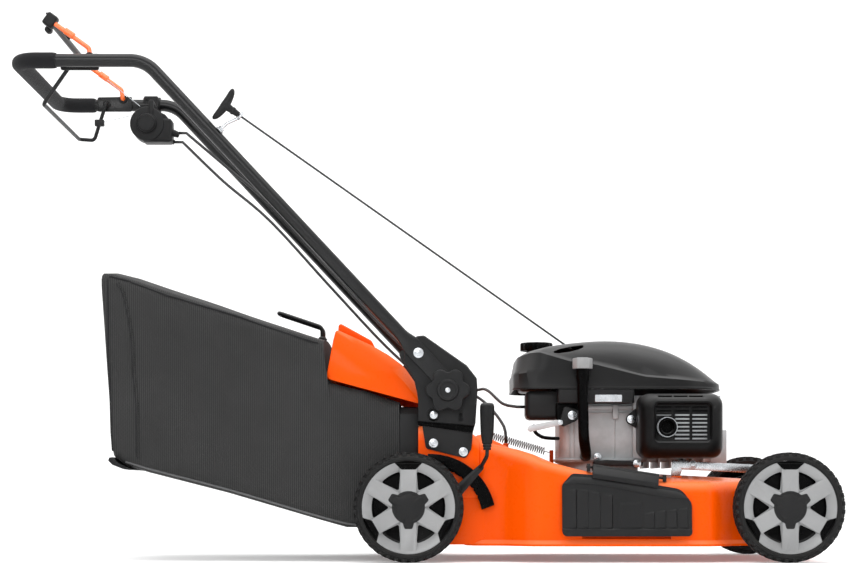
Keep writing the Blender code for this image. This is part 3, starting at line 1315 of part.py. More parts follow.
def make_handlebar():
    low, corner = handle_points()
    side = bent([(low[0], -TUBE_Y, low[1]), (corner[0], -TUBE_Y, corner[1]), (GRIP_END_X, -TUBE_Y, HANDLE_HEIGHT)], HANDLE_CORNER, 4)
    loop = bent([(GRIP_END_X, -TUBE_Y, HANDLE_HEIGHT), (CROSSBAR_X, -TUBE_Y, HANDLE_HEIGHT), (CROSSBAR_X, TUBE_Y, HANDLE_HEIGHT),
                 (GRIP_END_X, TUBE_Y, HANDLE_HEIGHT)], GRIP_CORNER, 3)
    along = Vector((side[1][0] - side[0][0], 0, side[1][2] - side[0][2])).normalized()
    flats = [0.0, FLAT_LENGTH - 0.006, FLAT_LENGTH + 0.012, FLAT_LENGTH + 0.030]
    start = Vector(side[0])
    side = [tuple(start + along * distance) for distance in flats] + side[1:]
    far = [(x, -y, z) for x, y, z in side[::-1]]
    bar = tube("handlebar", side[:-1] + loop + far[1:], TUBE_RADIUS, 4)
    flatten(bar, start, along)
    for sign, word, y in both(TUBE_Y):
        inner = sign * (TUBE_Y - TUBE_RADIUS)
        ear = ear_plate(inner - sign * (EAR_THICKNESS - 0.001), inner + sign * 0.001)
        join(bar, ear)
    studs = rod("fold_bore", (FOLD_X, -0.3, FOLD_Z), (FOLD_X, 0.3, FOLD_Z), KNOB_STUD + CLEAR, 12)
    return cut(bar, studs)


def flatten(bar, start, along):
    """Presses both lower ends of the tube into a flat strap beside the bracket's cover."""
    for vertex in bar.data.vertices:
        here = Vector((vertex.co.x, 0, vertex.co.z)) - Vector((start.x, 0, start.z))
        distance = here.dot(along)
        if distance > FLAT_LENGTH + 0.020 or vertex.co.x < LOCK_X - 0.2:
            continue
        share = min(1.0, max(0.0, (FLAT_LENGTH + 0.012 - distance) / 0.018))
        sign = 1 if vertex.co.y > 0 else -1
        middle = FLAT_Y + FLAT_THICKNESS / 2
        squeeze = 1 + (FLAT_THICKNESS / (2 * TUBE_RADIUS) - 1) * share
        offset = (abs(vertex.co.y) - TUBE_Y) * squeeze
        vertex.co.y = sign * (TUBE_Y + (middle - TUBE_Y) * share + offset)
        across = here - along * distance
        widen = 1 + 0.42 * share
        moved = Vector((start.x, 0, start.z)) + along * distance + across * widen
        vertex.co.x, vertex.co.z = moved.x, moved.z


def ear_plate(low, high):
    """Plate on the tube's inner side that both bails pivot in."""
    corners = [(-0.700, HANDLE_HEIGHT - 0.016), (-0.626, HANDLE_HEIGHT - 0.016), (-0.626, HANDLE_HEIGHT + 0.020), (-0.700, HANDLE_HEIGHT + 0.015)]
    holes = [circle((BRAKE_PIVOT_X, BRAKE_PIVOT_Z), BAIL_RADIUS + CLEAR, 12), circle((DRIVE_PIVOT_X, DRIVE_PIVOT_Z), BAIL_RADIUS + CLEAR, 12)]
    return plate("bail_ear", [rounded(corners, [0.004] * 4, 2)] + holes, min(low, high), max(low, high))


def make_foam_grip():
    route = bent([(GRIP_END_X, -TUBE_Y, HANDLE_HEIGHT), (CROSSBAR_X, -TUBE_Y, HANDLE_HEIGHT), (CROSSBAR_X, TUBE_Y, HANDLE_HEIGHT),
                  (GRIP_END_X, TUBE_Y, HANDLE_HEIGHT)], GRIP_CORNER, 3)
    grip = tube("foam_grip", route, GRIP_RADIUS, 4)
    longer = [(GRIP_END_X + 0.02, -TUBE_Y, HANDLE_HEIGHT)] + route + [(GRIP_END_X + 0.02, TUBE_Y, HANDLE_HEIGHT)]
    bore = (TUBE_RADIUS + CLEAR) / math.cos(math.pi / 12)
    return cut(grip, tube("grip_hollow", longer, bore, 4))


def make_rope_guide():
    """Bolted rod on the right tube that ends in an eyelet for the starter rope."""
    low, corner = handle_points()
    start, end, along = rope_line()
    foot = Vector((GUIDE_FOOT_X, -TUBE_Y, tube_height(GUIDE_FOOT_X)))
    normal = Vector((math.sin(HANDLE_RAKE), 0, math.cos(HANDLE_RAKE)))
    base = foot + normal * (TUBE_RADIUS + CLEAR)
    guide = rod("rope_guide", base, base + normal * 0.006, 0.0085, 16)
    join(guide, tube("guide_rod", bent([tuple(base + normal * 0.004), tuple(base + normal * 0.020), tuple(start - normal * 0.0085)], 0.008, 2), 0.0030))
    join(guide, rod("eyelet", start - along * EYELET_HALF, start + along * EYELET_HALF, 0.0095, 16))
    return cut(guide, rod("eyelet_bore", start - along * 0.02, start + along * 0.02, ROPE_RADIUS + 2 * CLEAR, 12))


def tube_height(x):
    """Height of the handle tube's centre line over a place on its straight rake."""
    return LOCK_Z + (LOCK_X - x) * math.tan(HANDLE_RAKE)


def make_starter_grip():
    """T-handle whose stem rests against the eyelet."""
    start, end, along = rope_line()
    back = -along
    middle = start + back * TEE_STANDOFF
    across = Vector((along.z, 0, -along.x)).normalized()
    bar = rod("starter_grip", middle - across * TEE_LENGTH / 2, middle + across * TEE_LENGTH / 2, TEE_RADIUS, 16)
    stem_end = start + back * (EYELET_HALF + CLEAR)
    return join(bar, rod("stem", middle, stem_end, 0.0075, 16, 0.0055))


def make_control_box():
    """Drive speed drum under the left tube, on a clamp ring."""
    drum = rod("control_box", (BOX_X, BOX_Y, BOX_Z), (BOX_X, BOX_Y + 0.050, BOX_Z), BOX_RADIUS, 20)
    join(drum, rod("dial", (BOX_X, BOX_Y - 0.012, BOX_Z), (BOX_X, BOX_Y + 0.002, BOX_Z), 0.020, 12))
    join(drum, box("box_body", (BOX_X - 0.014, BOX_Y + 0.001, BOX_Z - 0.038), (BOX_X + 0.052, BOX_Y + 0.049, BOX_Z + 0.010)))
    join(drum, box("outlet", (BOX_X + 0.051, BOX_Y + 0.014, BOX_Z - 0.026), (BOX_X + 0.064, BOX_Y + 0.034, BOX_Z - 0.006)))
    ring = rod("clamp", (BOX_X - 0.018, TUBE_Y, HANDLE_HEIGHT), (BOX_X + 0.018, TUBE_Y, HANDLE_HEIGHT), TUBE_RADIUS + 0.0045, 24)
    join(drum, ring)
    join(drum, box("neck", (BOX_X - 0.017, BOX_Y + 0.010, BOX_Z + 0.015), (BOX_X + 0.017, TUBE_Y + 0.004, HANDLE_HEIGHT - TUBE_RADIUS - 0.001)))
    return cut(drum, rod("clamp_bore", (BOX_X - 0.04, TUBE_Y, HANDLE_HEIGHT), (BOX_X + 0.04, TUBE_Y, HANDLE_HEIGHT), TUBE_RADIUS + CLEAR, 24))


def make_brake_bail():
    """Lower control bail: hangs from both tubes, its left arm stepped forward."""
    end_y = TUBE_Y - TUBE_RADIUS - CLEAR
    back_x, low_z = BRAKE_PIVOT_X - BRAKE_REACH, BRAKE_PIVOT_Z - BRAKE_DROP
    points = [
        (BRAKE_PIVOT_X, -end_y, BRAKE_PIVOT_Z), (BRAKE_PIVOT_X, -BAIL_Y, BRAKE_PIVOT_Z), (back_x, -BAIL_Y, low_z),
        (back_x, BAIL_Y - 0.014, low_z), (back_x + 0.030, BAIL_Y, low_z), (BRAKE_PIVOT_X - 0.017, BAIL_Y, low_z + 0.026),
        (BRAKE_PIVOT_X, BAIL_Y, BRAKE_PIVOT_Z), (BRAKE_PIVOT_X, end_y, BRAKE_PIVOT_Z),
    ]
    return tube("brake_bail", bent(points, 0.010, 2), BAIL_RADIUS, 1)


def make_drive_bail():
    """Upper control bail: stands up from both tubes, with a thicker bar across."""
    end_y = TUBE_Y - TUBE_RADIUS - CLEAR
    top_x, top_z = DRIVE_PIVOT_X - DRIVE_REACH, DRIVE_PIVOT_Z + DRIVE_RISE
    half = [(DRIVE_PIVOT_X, -end_y, DRIVE_PIVOT_Z), (DRIVE_PIVOT_X, -BAIL_Y, DRIVE_PIVOT_Z),
            (DRIVE_PIVOT_X - 0.002, -BAIL_Y, DRIVE_PIVOT_Z + 0.018), (top_x, -BAIL_Y, top_z)]
    route = half + [(x, -y, z) for x, y, z in half[::-1]]
    bail = tube("drive_bail", bent(route, 0.010, 2), BAIL_RADIUS, 1)
    join(bail, rod("bar", (top_x, -BAIL_Y + 0.012, top_z), (top_x, BAIL_Y - 0.012, top_z), 0.0065, 12))
    return join(bail, rounded_box("head", (top_x - 0.013, -BAIL_Y - 0.008, top_z - 0.013), (top_x + 0.013, -BAIL_Y + 0.014, top_z + 0.014), 0.004, 1))


def make_knob():
    """Right star knob with its stud, which is also the handle's fold pin."""
    points = []
    for i in range(24):
        angle = 2 * math.pi * i / 24
        radius = KNOB_RADIUS - 0.0075 * (1 - math.cos(6 * angle)) / 2
        points.append((FOLD_X + radius * math.cos(angle), FOLD_Z + radius * math.sin(angle)))
    knob = plate("knob_right", [points], -KNOB_Y - 0.0115, -KNOB_Y)
    join(knob, rod("boss", (FOLD_X, -KNOB_Y - 0.0105, FOLD_Z), (FOLD_X, -KNOB_Y - KNOB_DEPTH, FOLD_Z), KNOB_BOSS, 20, KNOB_BOSS - 0.003))
    stud_end = -BRACKET_Y + 0.006
    return join(knob, rod("stud", (FOLD_X, -KNOB_Y - 0.004, FOLD_Z), (FOLD_X, stud_end, FOLD_Z), KNOB_STUD, 12))


def make_cable(name, route):
    """A cable that leaves both of its ends straight."""
    points = [route[0]] + smooth_route(route[1:-1], 0.045) + [route[-1]]
    return tube(name, points, CABLE_RADIUS, 1)


def cable_routes():
    """Hand-picked points from the controls, down beside the left tube, to the engine and the gearbox."""
    inner = TUBE_Y - TUBE_RADIUS - CABLE_RADIUS - 0.0010
    drive = [
        (BOX_X + 0.064 + CLEAR, BOX_Y + 0.024, BOX_Z - 0.016), (BOX_X + 0.080, BOX_Y + 0.024, BOX_Z - 0.016), (-0.430, 0.192, 0.830),
        (-0.330, inner, 0.745), (-0.200, inner, 0.602), (-0.080, inner, 0.474), (0.020, 0.206, 0.385), (0.055, 0.203, 0.362),
        (0.110, 0.130, 0.332), (0.140, 0.050, 0.300), (0.160, -0.012, 0.266), (0.163, -0.024, 0.246), DRIVE_CABLE_END,
    ]
    brake = [
        (BOX_X + 0.052 + CLEAR, BOX_Y + 0.043, BOX_Z - 0.032), (BOX_X + 0.070, BOX_Y + 0.043, BOX_Z - 0.032), (-0.430, 0.204, 0.795),
        (-0.330, inner - 0.0075, 0.710), (-0.200, inner - 0.0075, 0.568), (-0.080, inner - 0.0075, 0.440), (0.015, 0.205, 0.358),
        (0.055, 0.195, 0.345), (0.105, 0.090, 0.345), (0.125, -0.020, 0.340), (0.155, -0.080, 0.310), (0.184, -0.092, 0.303), (0.199 - CLEAR, -0.092, 0.303),
    ]
    return drive, brake


def paints():
    """One material for each kind of surface."""
    return {
        "orange": material("orange_enamel", (0.80, 0.13, 0.012), 0.35),
        "black": material("black_plastic", (0.020, 0.020, 0.022), 0.45),
        "dark_steel": material("dark_steel", (0.055, 0.058, 0.062), 0.35, 0.6),
        "steel": material("zinc_steel", (0.55, 0.56, 0.57), 0.35, 1.0),
        "casting": material("cast_aluminium", (0.52, 0.53, 0.54), 0.55, 0.8),
        "grey": material("grey_plastic", (0.50, 0.50, 0.50), 0.5),
        "tyre": material("tyre_rubber", (0.018, 0.018, 0.018), 0.8),
        "foam": material("grip_foam", (0.028, 0.028, 0.030), 0.9),
        "fabric": material("bag_cloth", (0.035, 0.036, 0.040), 0.95),
        "rope": material("rope_braid", (0.06, 0.06, 0.06), 0.9),
    }


def build():
    paint = paints()
    chassis = [
        (make_deck(), "orange"), (make_engine_block(), "casting"), (make_cylinder_head(), "casting"),
        (make_engine_shroud(), "black"), (make_fuel_tank(), "black"), (make_air_cleaner(), "black"),
        (make_muffler(), "steel"), (make_muffler_guard(), "black"), (make_oil_filler(), "black"), (make_belt(), "black"),
        (make_gearbox(), "black"), (make_flap_hinge(), "dark_steel"), (make_quadrant(), "black"), (make_front_brace(), "steel"),
        (make_lift_spring(), "steel"), (make_starter_rope(), "rope"),
    ]
    bracket, cover = make_handle_bracket(), make_bracket_cover()
    chassis += [(bracket, "dark_steel"), (mirrored(bracket, "handle_bracket_left"), "dark_steel")]
    chassis += [(cover, "black"), (mirrored(cover, "bracket_cover_left"), "black")]
    for obj, name in chassis:
        finish(obj, paint[name])
    build_handle(paint)
    build_running_gear(paint)
    build_power(paint)
    build_covers(paint)


def build_handle(paint):
    drive, brake = cable_routes()
    bar = finish(make_handlebar(), paint["dark_steel"])
    pieces = [bar, finish(make_foam_grip(), paint["foam"]), finish(make_rope_guide(), paint["steel"]),
              finish(make_control_box(), paint["black"])]
    fold = pivot("handle_fold_axis", (FOLD_X, 0, FOLD_Z), pieces)
    cables = [finish(make_cable("drive_cable", drive), paint["black"]), finish(make_cable("brake_cable", brake), paint["black"])]
    pivot("cables", (0, 0, 0), cables)
    brake_bail = finish(make_brake_bail(), paint["dark_steel"])
    pivot("brake_bail_axis", (BRAKE_PIVOT_X, 0, BRAKE_PIVOT_Z), [brake_bail])
    drive_bail = finish(make_drive_bail(), paint["orange"])
    pivot("drive_bail_axis", (DRIVE_PIVOT_X, 0, DRIVE_PIVOT_Z), [drive_bail])
    start, end, along = rope_line()
    pivot("starter_grip_rest", tuple(start), [finish(make_starter_grip(), paint["black"])])
    knob = finish(make_knob(), paint["black"])
    pivot("knob_right_axis", (FOLD_X, 0, FOLD_Z), [knob])
    pivot("knob_left_axis", (FOLD_X, 0, FOLD_Z), [finish(mirrored(knob, "knob_left"), paint["black"])])
    return fold


def build_running_gear(paint):
    rear = finish(crank("rear_axle_crank", REAR_PIVOT_X, True), paint["dark_steel"])
    front = finish(crank("front_axle_crank", FRONT_PIVOT_X, False), paint["dark_steel"])
    lever = finish(make_height_lever(), paint["dark_steel"])
    grip = finish(make_height_grip(), paint["black"])
    link = finish(make_height_link(), paint["dark_steel"])
    pivot("rear_crank_axis", (REAR_PIVOT_X, 0, PIVOT_Z), [rear, lever, grip])
    pivot("front_crank_axis", (FRONT_PIVOT_X, 0, PIVOT_Z), [front])
    pivot("height_link_axis", (REAR_PIVOT_X, LINK_Y, PIVOT_Z + LINK_ARM), [link])
    for place, x in zip(("rear", "front"), WHEEL_X):
        for side, word in ((-1, "right"), (1, "left")):
            tyre, rim, cap = wheel_parts(place + "_" + word, x, WHEEL_RADIUS, side)
            finish(tyre, paint["tyre"])
            finish(rim, paint["grey"])
            finish(cap, paint["black"])
            pivot(place + "_" + word + "_wheel_axis", (x, 0, WHEEL_RADIUS), [tyre, rim, cap])


def build_power(paint):
    pieces = [
        finish(make_crankshaft(), paint["steel"]),
        finish(pulley("drive_pulley", ENGINE_X, DRIVE_PULLEY_RADIUS, CRANKSHAFT_RADIUS + CLEAR), paint["steel"]),
        finish(make_blade(), paint["dark_steel"]),
    ]
    pivot("crankshaft_axis", (ENGINE_X, 0, 0), pieces)
    driven = finish(pulley("driven_pulley", GEARBOX_X, DRIVEN_PULLEY_RADIUS, INPUT_SHAFT_RADIUS + CLEAR), paint["black"])
    pivot("driven_pulley_axis", (GEARBOX_X, 0, BELT_Z), [driven])
    pivot("drive_shaft_axis", (REAR_PIVOT_X, 0, PIVOT_Z), [finish(make_drive_shaft(), paint["steel"])])


def build_covers(paint):
    bag = [finish(make_bag(), paint["fabric"]), finish(make_bag_frame(), paint["black"]), finish(make_bag_handle(), paint["black"])]
    pivot("bag_slide", (FRAME_FRONT_X, 0, TUNNEL_FLOOR), bag)
    pivot("rear_flap_axis", (FLAP_PIVOT_X, 0, FLAP_PIVOT_Z), [finish(make_rear_flap(), paint["orange"])])
    start, end = side_hinge_line()
    pivot("side_flap_axis", tuple(start), [finish(make_side_flap(), paint["black"])])
    pivot("fuel_cap_axis", (FUEL_X, FUEL_Y, FUEL_NECK_TOP), [finish(make_fuel_cap(), paint["black"])])
    pivot("oil_cap_axis", (OIL_CAP_X, OIL_CAP_Y, OIL_CAP_Z), [finish(make_oil_cap(), paint["grey"])])


build()
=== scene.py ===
# %% [markdown]
# # Dressing a walk-behind lawn mower
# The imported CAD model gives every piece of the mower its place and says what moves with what.
# This notebook keeps that frame and gives the mower its looks: smooth pressed steel, moulded
# plastic, rubber, foam, woven cloth and zinc plate. The frame is loaded first, because every
# later cell measures itself against it.

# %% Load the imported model
import math

import bmesh
import bpy
import numpy as np
from mathutils import Matrix, Vector, noise


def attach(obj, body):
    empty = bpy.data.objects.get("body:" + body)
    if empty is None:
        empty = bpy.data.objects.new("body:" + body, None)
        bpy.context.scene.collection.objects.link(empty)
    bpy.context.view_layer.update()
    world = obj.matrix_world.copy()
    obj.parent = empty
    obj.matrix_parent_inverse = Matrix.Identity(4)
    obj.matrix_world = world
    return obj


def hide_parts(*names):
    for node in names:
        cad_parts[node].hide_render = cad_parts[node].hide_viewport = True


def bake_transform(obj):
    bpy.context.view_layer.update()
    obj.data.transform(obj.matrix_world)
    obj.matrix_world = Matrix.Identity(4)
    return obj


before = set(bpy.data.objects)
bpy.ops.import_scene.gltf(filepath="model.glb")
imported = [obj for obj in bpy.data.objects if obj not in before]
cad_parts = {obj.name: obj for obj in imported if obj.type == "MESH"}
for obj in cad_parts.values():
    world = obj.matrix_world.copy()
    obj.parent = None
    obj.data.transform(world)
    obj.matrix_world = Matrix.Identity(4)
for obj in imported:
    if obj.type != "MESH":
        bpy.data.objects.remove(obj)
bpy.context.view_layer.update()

# %% [markdown]
# ## Camera, floor and light
# The photograph was taken level, about four metres to the right of the mower and low down, so
# that its horizon lies below the middle of the picture. A shifted lens gives the same framing
# without tipping the uprights. A sweep of pale floor that curves up all round stands in for a studio
# cove, and three large soft lamps give the long, gentle highlights that enamel needs.

# %% Camera at the photograph's place
camera_data = bpy.data.cameras.new("side_camera")
camera_data.sensor_width = 36.0
camera_data.lens = 84.7
camera_data.shift_y = 0.231
camera = bpy.data.objects.new("side_camera", camera_data)
camera.location = (0.0163, -4.135, 0.142)
camera.rotation_euler = (math.pi / 2, 0, 0)
bpy.context.scene.collection.objects.link(camera)
bpy.context.scene.camera = camera
bpy.context.scene.view_settings.view_transform = "Standard"
print("camera", tuple(camera.location))


# %% Floor and lamps
COVE_SECTION = ((3.0, 0.0), (7.0, 0.0), (8.5, 0.25), (9.5, 1.0), (10.0, 2.4), (10.0, 6.0))
COVE_SIDES = 64


def full_circle(count):
    """The angles of this many equal steps round a circle."""
    return np.linspace(0, 2 * math.pi, count, endpoint=False)


def studio_cove():
    """One sheet: flat floor, then a wide curve up to a wall on every side."""
    bm = bmesh.new()
    rings = [[bm.verts.new((radius * math.cos(a), radius * math.sin(a), height)) for a in full_circle(COVE_SIDES)]
             for radius, height in COVE_SECTION]
    bm.faces.new(rings[0])
    for near, far in zip(rings, rings[1:]):
        for i in range(COVE_SIDES):
            bm.faces.new((near[i], far[i], far[(i + 1) % COVE_SIDES], near[(i + 1) % COVE_SIDES]))
    mesh = bpy.data.meshes.new("studio_cove")
    bm.to_mesh(mesh)
    bm.free()
    mesh.shade_smooth()
    cove = bpy.data.objects.new("studio_cove", mesh)
    bpy.context.scene.collection.objects.link(cove)
    paper = bpy.data.materials.new("cove_paper")
    paper.use_nodes = True
    shader = paper.node_tree.nodes["Principled BSDF"]
    for label, value in (("Base Color", (0.94, 0.94, 0.94, 1)), ("Roughness", 0.8),
                         ("Emission Color", (1, 1, 1, 1)), ("Emission Strength", 0.17)):
        shader.inputs[label].default_value = value
    mesh.materials.append(paper)


def softbox(name, place, aim, size, power):
    data = bpy.data.lights.new(name, "AREA")
    data.shape = "RECTANGLE"
    data.size, data.size_y = size
    data.energy = power
    lamp = bpy.data.objects.new(name, data)
    lamp.location = place
    lamp.rotation_euler = (Vector(aim) - Vector(place)).to_track_quat("-Z", "Y").to_euler()
    bpy.context.scene.collection.objects.link(lamp)
    return lamp


studio_cove()
softbox("top_lamp", (0.0, -0.5, 3.4), (0, 0, 0.3), (3.6, 2.6), 80)
softbox("front_lamp", (-1.2, -4.6, 2.3), (0, 0, 0.4), (2.6, 1.6), 60)
softbox("side_lamp", (4.0, -2.0, 1.8), (0.2, 0, 0.4), (1.6, 2.2), 30)
world = bpy.data.worlds.new("studio_air")
world.use_nodes = True
world.node_tree.nodes["Background"].inputs["Color"].default_value = (1, 1, 1, 1)
world.node_tree.nodes["Background"].inputs["Strength"].default_value = 1.0
bpy.context.scene.world = world

# %% [markdown]
# ## What wear, grain and weave have in common
# Every finish on the mower is a shader of its own, but they share a few effects: a fine grain,
# broad patches of slightly different tone, hair scratches, and dust that settles on upward faces
# near the ground. These are built once, as node groups that put out masks and heights, and each
# finish mixes them in by its own amounts. One mask says how far a face looks up; the hard finishes
# use it to paint a pale highlight there, as if lit from above.


# %% Node group helpers
def node_group(name, inputs, outputs):
    """An empty shader group with float or vector sockets, and its two end nodes."""
    group = bpy.data.node_groups.new(name, "ShaderNodeTree")
    for label, value in inputs:
        kind = "NodeSocketVector" if value is None else "NodeSocketFloat"
        socket = group.interface.new_socket(name=label, in_out="INPUT", socket_type=kind)
        if value is not None:
            socket.default_value = value
    for label in outputs:
        group.interface.new_socket(name=label, in_out="OUTPUT", socket_type="NodeSocketFloat")
    return group, group.nodes.new("NodeGroupInput"), group.nodes.new("NodeGroupOutput")


def feed(tree, node, inputs):
    """Fills inputs of a node: a socket of another node is linked, anything else is its value."""
    for key, value in inputs.items():
        if isinstance(value, bpy.types.NodeSocket):
            tree.links.new(value, node.inputs[key])
        else:
            node.inputs[key].default_value = value
    return node


def add(tree, kind, inputs={}, **settings):
    """A new node with these settings and inputs."""
    node = tree.nodes.new(kind)
    for key, value in settings.items():
        setattr(node, key, value)
    return feed(tree, node, inputs)


def maths(tree, operation, first, second=0.0):
    """A Math node on two values, each a socket or a number."""
    return add(tree, "ShaderNodeMath", {0: first, 1: second}, operation=operation).outputs[0]


def times(tree, first, *others):
    """The product of sockets and numbers."""
    for other in others:
        first = maths(tree, "MULTIPLY", first, other)
    return first


def spread(tree, value, low, high, to_low=0.0, to_high=1.0):
    """A clamped Map Range."""
    return add(tree, "ShaderNodeMapRange", {"Value": value, "From Min": low, "From Max": high, "To Min": to_low,
                                            "To Max": to_high}, clamp=True).outputs["Result"]


def noise_on(tree, vector, scale, detail=2.0, stretch=None):
    """Noise whose scale is a socket or a number, stretched along the axes if asked."""
    if stretch:
        vector = add(tree, "ShaderNodeMapping", {"Scale": stretch, "Vector": vector}).outputs["Vector"]
    return add(tree, "ShaderNodeTexNoise", {"Vector": vector, "Scale": scale, "Detail": detail}).outputs["Fac"]


print("node helpers ready")


# %% The worn surface group
def worn_surface_group():
    """Grain, tone patches, hair scratches, settled dust, and how far a face looks up, for a painted highlight."""
    group, start, end = node_group(
        "worn_surface", [("Vector", None), ("Grain Scale", 900.0), ("Patch Scale", 9.0), ("Scratch Amount", 0.3),
                         ("Dust Amount", 0.2)], ("Grain", "Patches", "Scratches", "Dust", "Upward"))
    given = start.outputs
    place = given["Vector"]
    patches = noise_on(group, place, given["Patch Scale"], 4.0)
    thin = noise_on(group, place, 60.0, 2.0, (0.6, 1.0, 14.0))
    crossing = noise_on(group, place, 48.0, 2.0, (11.0, 1.0, 0.5))
    line = maths(group, "MAXIMUM", spread(group, thin, 0.66, 0.70), spread(group, crossing, 0.67, 0.71))
    worn = spread(group, noise_on(group, place, 14.0, 3.0), 0.50, 0.62)
    facing = add(group, "ShaderNodeSeparateXYZ", {0: add(group,
            "ShaderNodeNewGeometry").outputs["Normal"]}).outputs["Z"]
    height = add(group, "ShaderNodeSeparateXYZ", {0: place}).outputs["Z"]
    up = spread(group, facing, 0.15, 0.95, 0.12, 1.0)
    low = spread(group, height, 0.02, 0.45, 1.0, 0.25)
    cloud = spread(group, noise_on(group, place, 23.0, 6.0), 0.40, 0.68)
    feed(group, end, {"Grain": noise_on(group, place, given["Grain Scale"], 3.0),
                      "Patches": spread(group, patches, 0.35, 0.65),
                      "Scratches": times(group, line, worn, given["Scratch Amount"]),
                      "Dust": times(group, up, low, cloud, given["Dust Amount"]),
                      "Upward": spread(group, facing, 0.20, 0.85)})
    return group


WORN = worn_surface_group()
print("worn surface group:", len(WORN.nodes), "nodes")


# %% The weave group
def weave_group():
    """Plain weave of two threads, for cloth and braid, with a few thicker threads."""
    group, start, end = node_group(
        "plain_weave", [("Vector", None), ("Thread", 900.0), ("Slub", 0.3), ("Cross", 1.0)], ("Height", "Gaps"))
    given = start.outputs
    parts = add(group, "ShaderNodeSeparateXYZ", {0: given["Vector"]}).outputs
    wave_a, wave_b = [maths(group, "SINE", times(group, parts[axis], given["Thread"])) for axis in "XY"]
    crossing = times(group, maths(group, "ABSOLUTE", wave_b), given["Cross"])
    ribs = maths(group, "MAXIMUM", maths(group, "ABSOLUTE", wave_a), crossing)
    slub = times(group, noise_on(group, given["Vector"], 40.0, 2.0, (1.0, 14.0, 1.0)), given["Slub"])
    over = times(group, wave_a, wave_b, 0.35)
    feed(group, end, {"Height": maths(group, "ADD", over, maths(group, "ADD", ribs, slub)),
                      # Gaps marks the hollows between threads, which the soft finishes darken as painted shade.
                      "Gaps": spread(group, ribs, 0.35, 0.9, 1.0, 0.0)})
    return group


WEAVE = weave_group()
print("weave group:", len(WEAVE.nodes), "nodes")

# %% [markdown]
# ## The finishes
# Enamel is a smooth coat over a coloured base, so it gets a clear coat and the faintest ripple.
# Moulded plastic is rougher, with a spark-eroded grain. Powder coat is a metal hidden under a
# satin skin. Zinc plate and cast aluminium are bare metal: their colour is in the reflection, so
# they are metallic, the casting with a coarse sandy bump. All are made by one function, because
# only the numbers differ.


# %% One function for hard finishes
def new_material(name, inputs):
    """A new material, its node tree, and its shader with these inputs."""
    made = bpy.data.materials.new(name)
    made.use_nodes = True
    return made, made.node_tree, feed(made.node_tree, made.node_tree.nodes["Principled BSDF"], inputs)


def mixed(tree, first, second, share):
    """One colour passing into another, each a socket or a colour."""
    return add(tree, "ShaderNodeMix", {"A": first, "B": second, "Factor": share}, data_type="RGBA").outputs["Result"]


def tint(colour, factor):
    return tuple(min(1.0, c * factor) for c in colour) + (1.0,)


def hard_finish(name, colour, roughness, metallic=0.0, coat=0.0, grain=(900.0, 0.00004), patches=(9.0, 0.10),
                scratch=0.25, dust=0.12, pale=(0.45, 0.43, 0.40), specular=0.5, painted_top_highlight=0.0):
    """Paint, plastic or metal: grain is (scale, bump in metres), patches (scale, change of tone), pale
    the colour of scratches and of a painted highlight, and the last amount how much of that painted
    highlight upward faces take on."""
    made, tree, shader = new_material(name, {"Metallic": metallic, "Coat Weight": coat, "Coat Roughness": 0.08,
                                             "Specular IOR Level": specular})
    worn = add(tree, "ShaderNodeGroup", {
        "Vector": add(tree, "ShaderNodeTexCoord").outputs["Object"], "Grain Scale": grain[0],
        "Patch Scale": patches[0], "Scratch Amount": scratch, "Dust Amount": dust}, node_tree=WORN).outputs
    tone = mixed(tree, tint(colour, 1 - patches[1]), tint(colour, 1 + patches[1]), worn["Patches"])
    # Scratches, and a painted highlight on faces that look up, both mix in the pale colour.
    scratches_and_painted_highlight = maths(tree, "MAXIMUM", worn["Scratches"], times(tree, worn["Upward"], painted_top_highlight))
    scratched_and_highlighted = mixed(tree, tone, tint(pale, 1.0), scratches_and_painted_highlight)
    rough = spread(tree, worn["Grain"], 0.3, 0.7, roughness - 0.05, roughness + 0.05)
    bump = add(tree, "ShaderNodeBump", {"Distance": grain[1], "Height": worn["Grain"]})
    feed(tree, shader, {"Base Color": mixed(tree, scratched_and_highlighted, (0.36, 0.32, 0.26, 1.0), worn["Dust"]),
                        "Roughness": maths(tree, "ADD", rough, times(tree, worn["Dust"], 0.5)),
                        "Normal": bump.outputs["Normal"]})
    return made
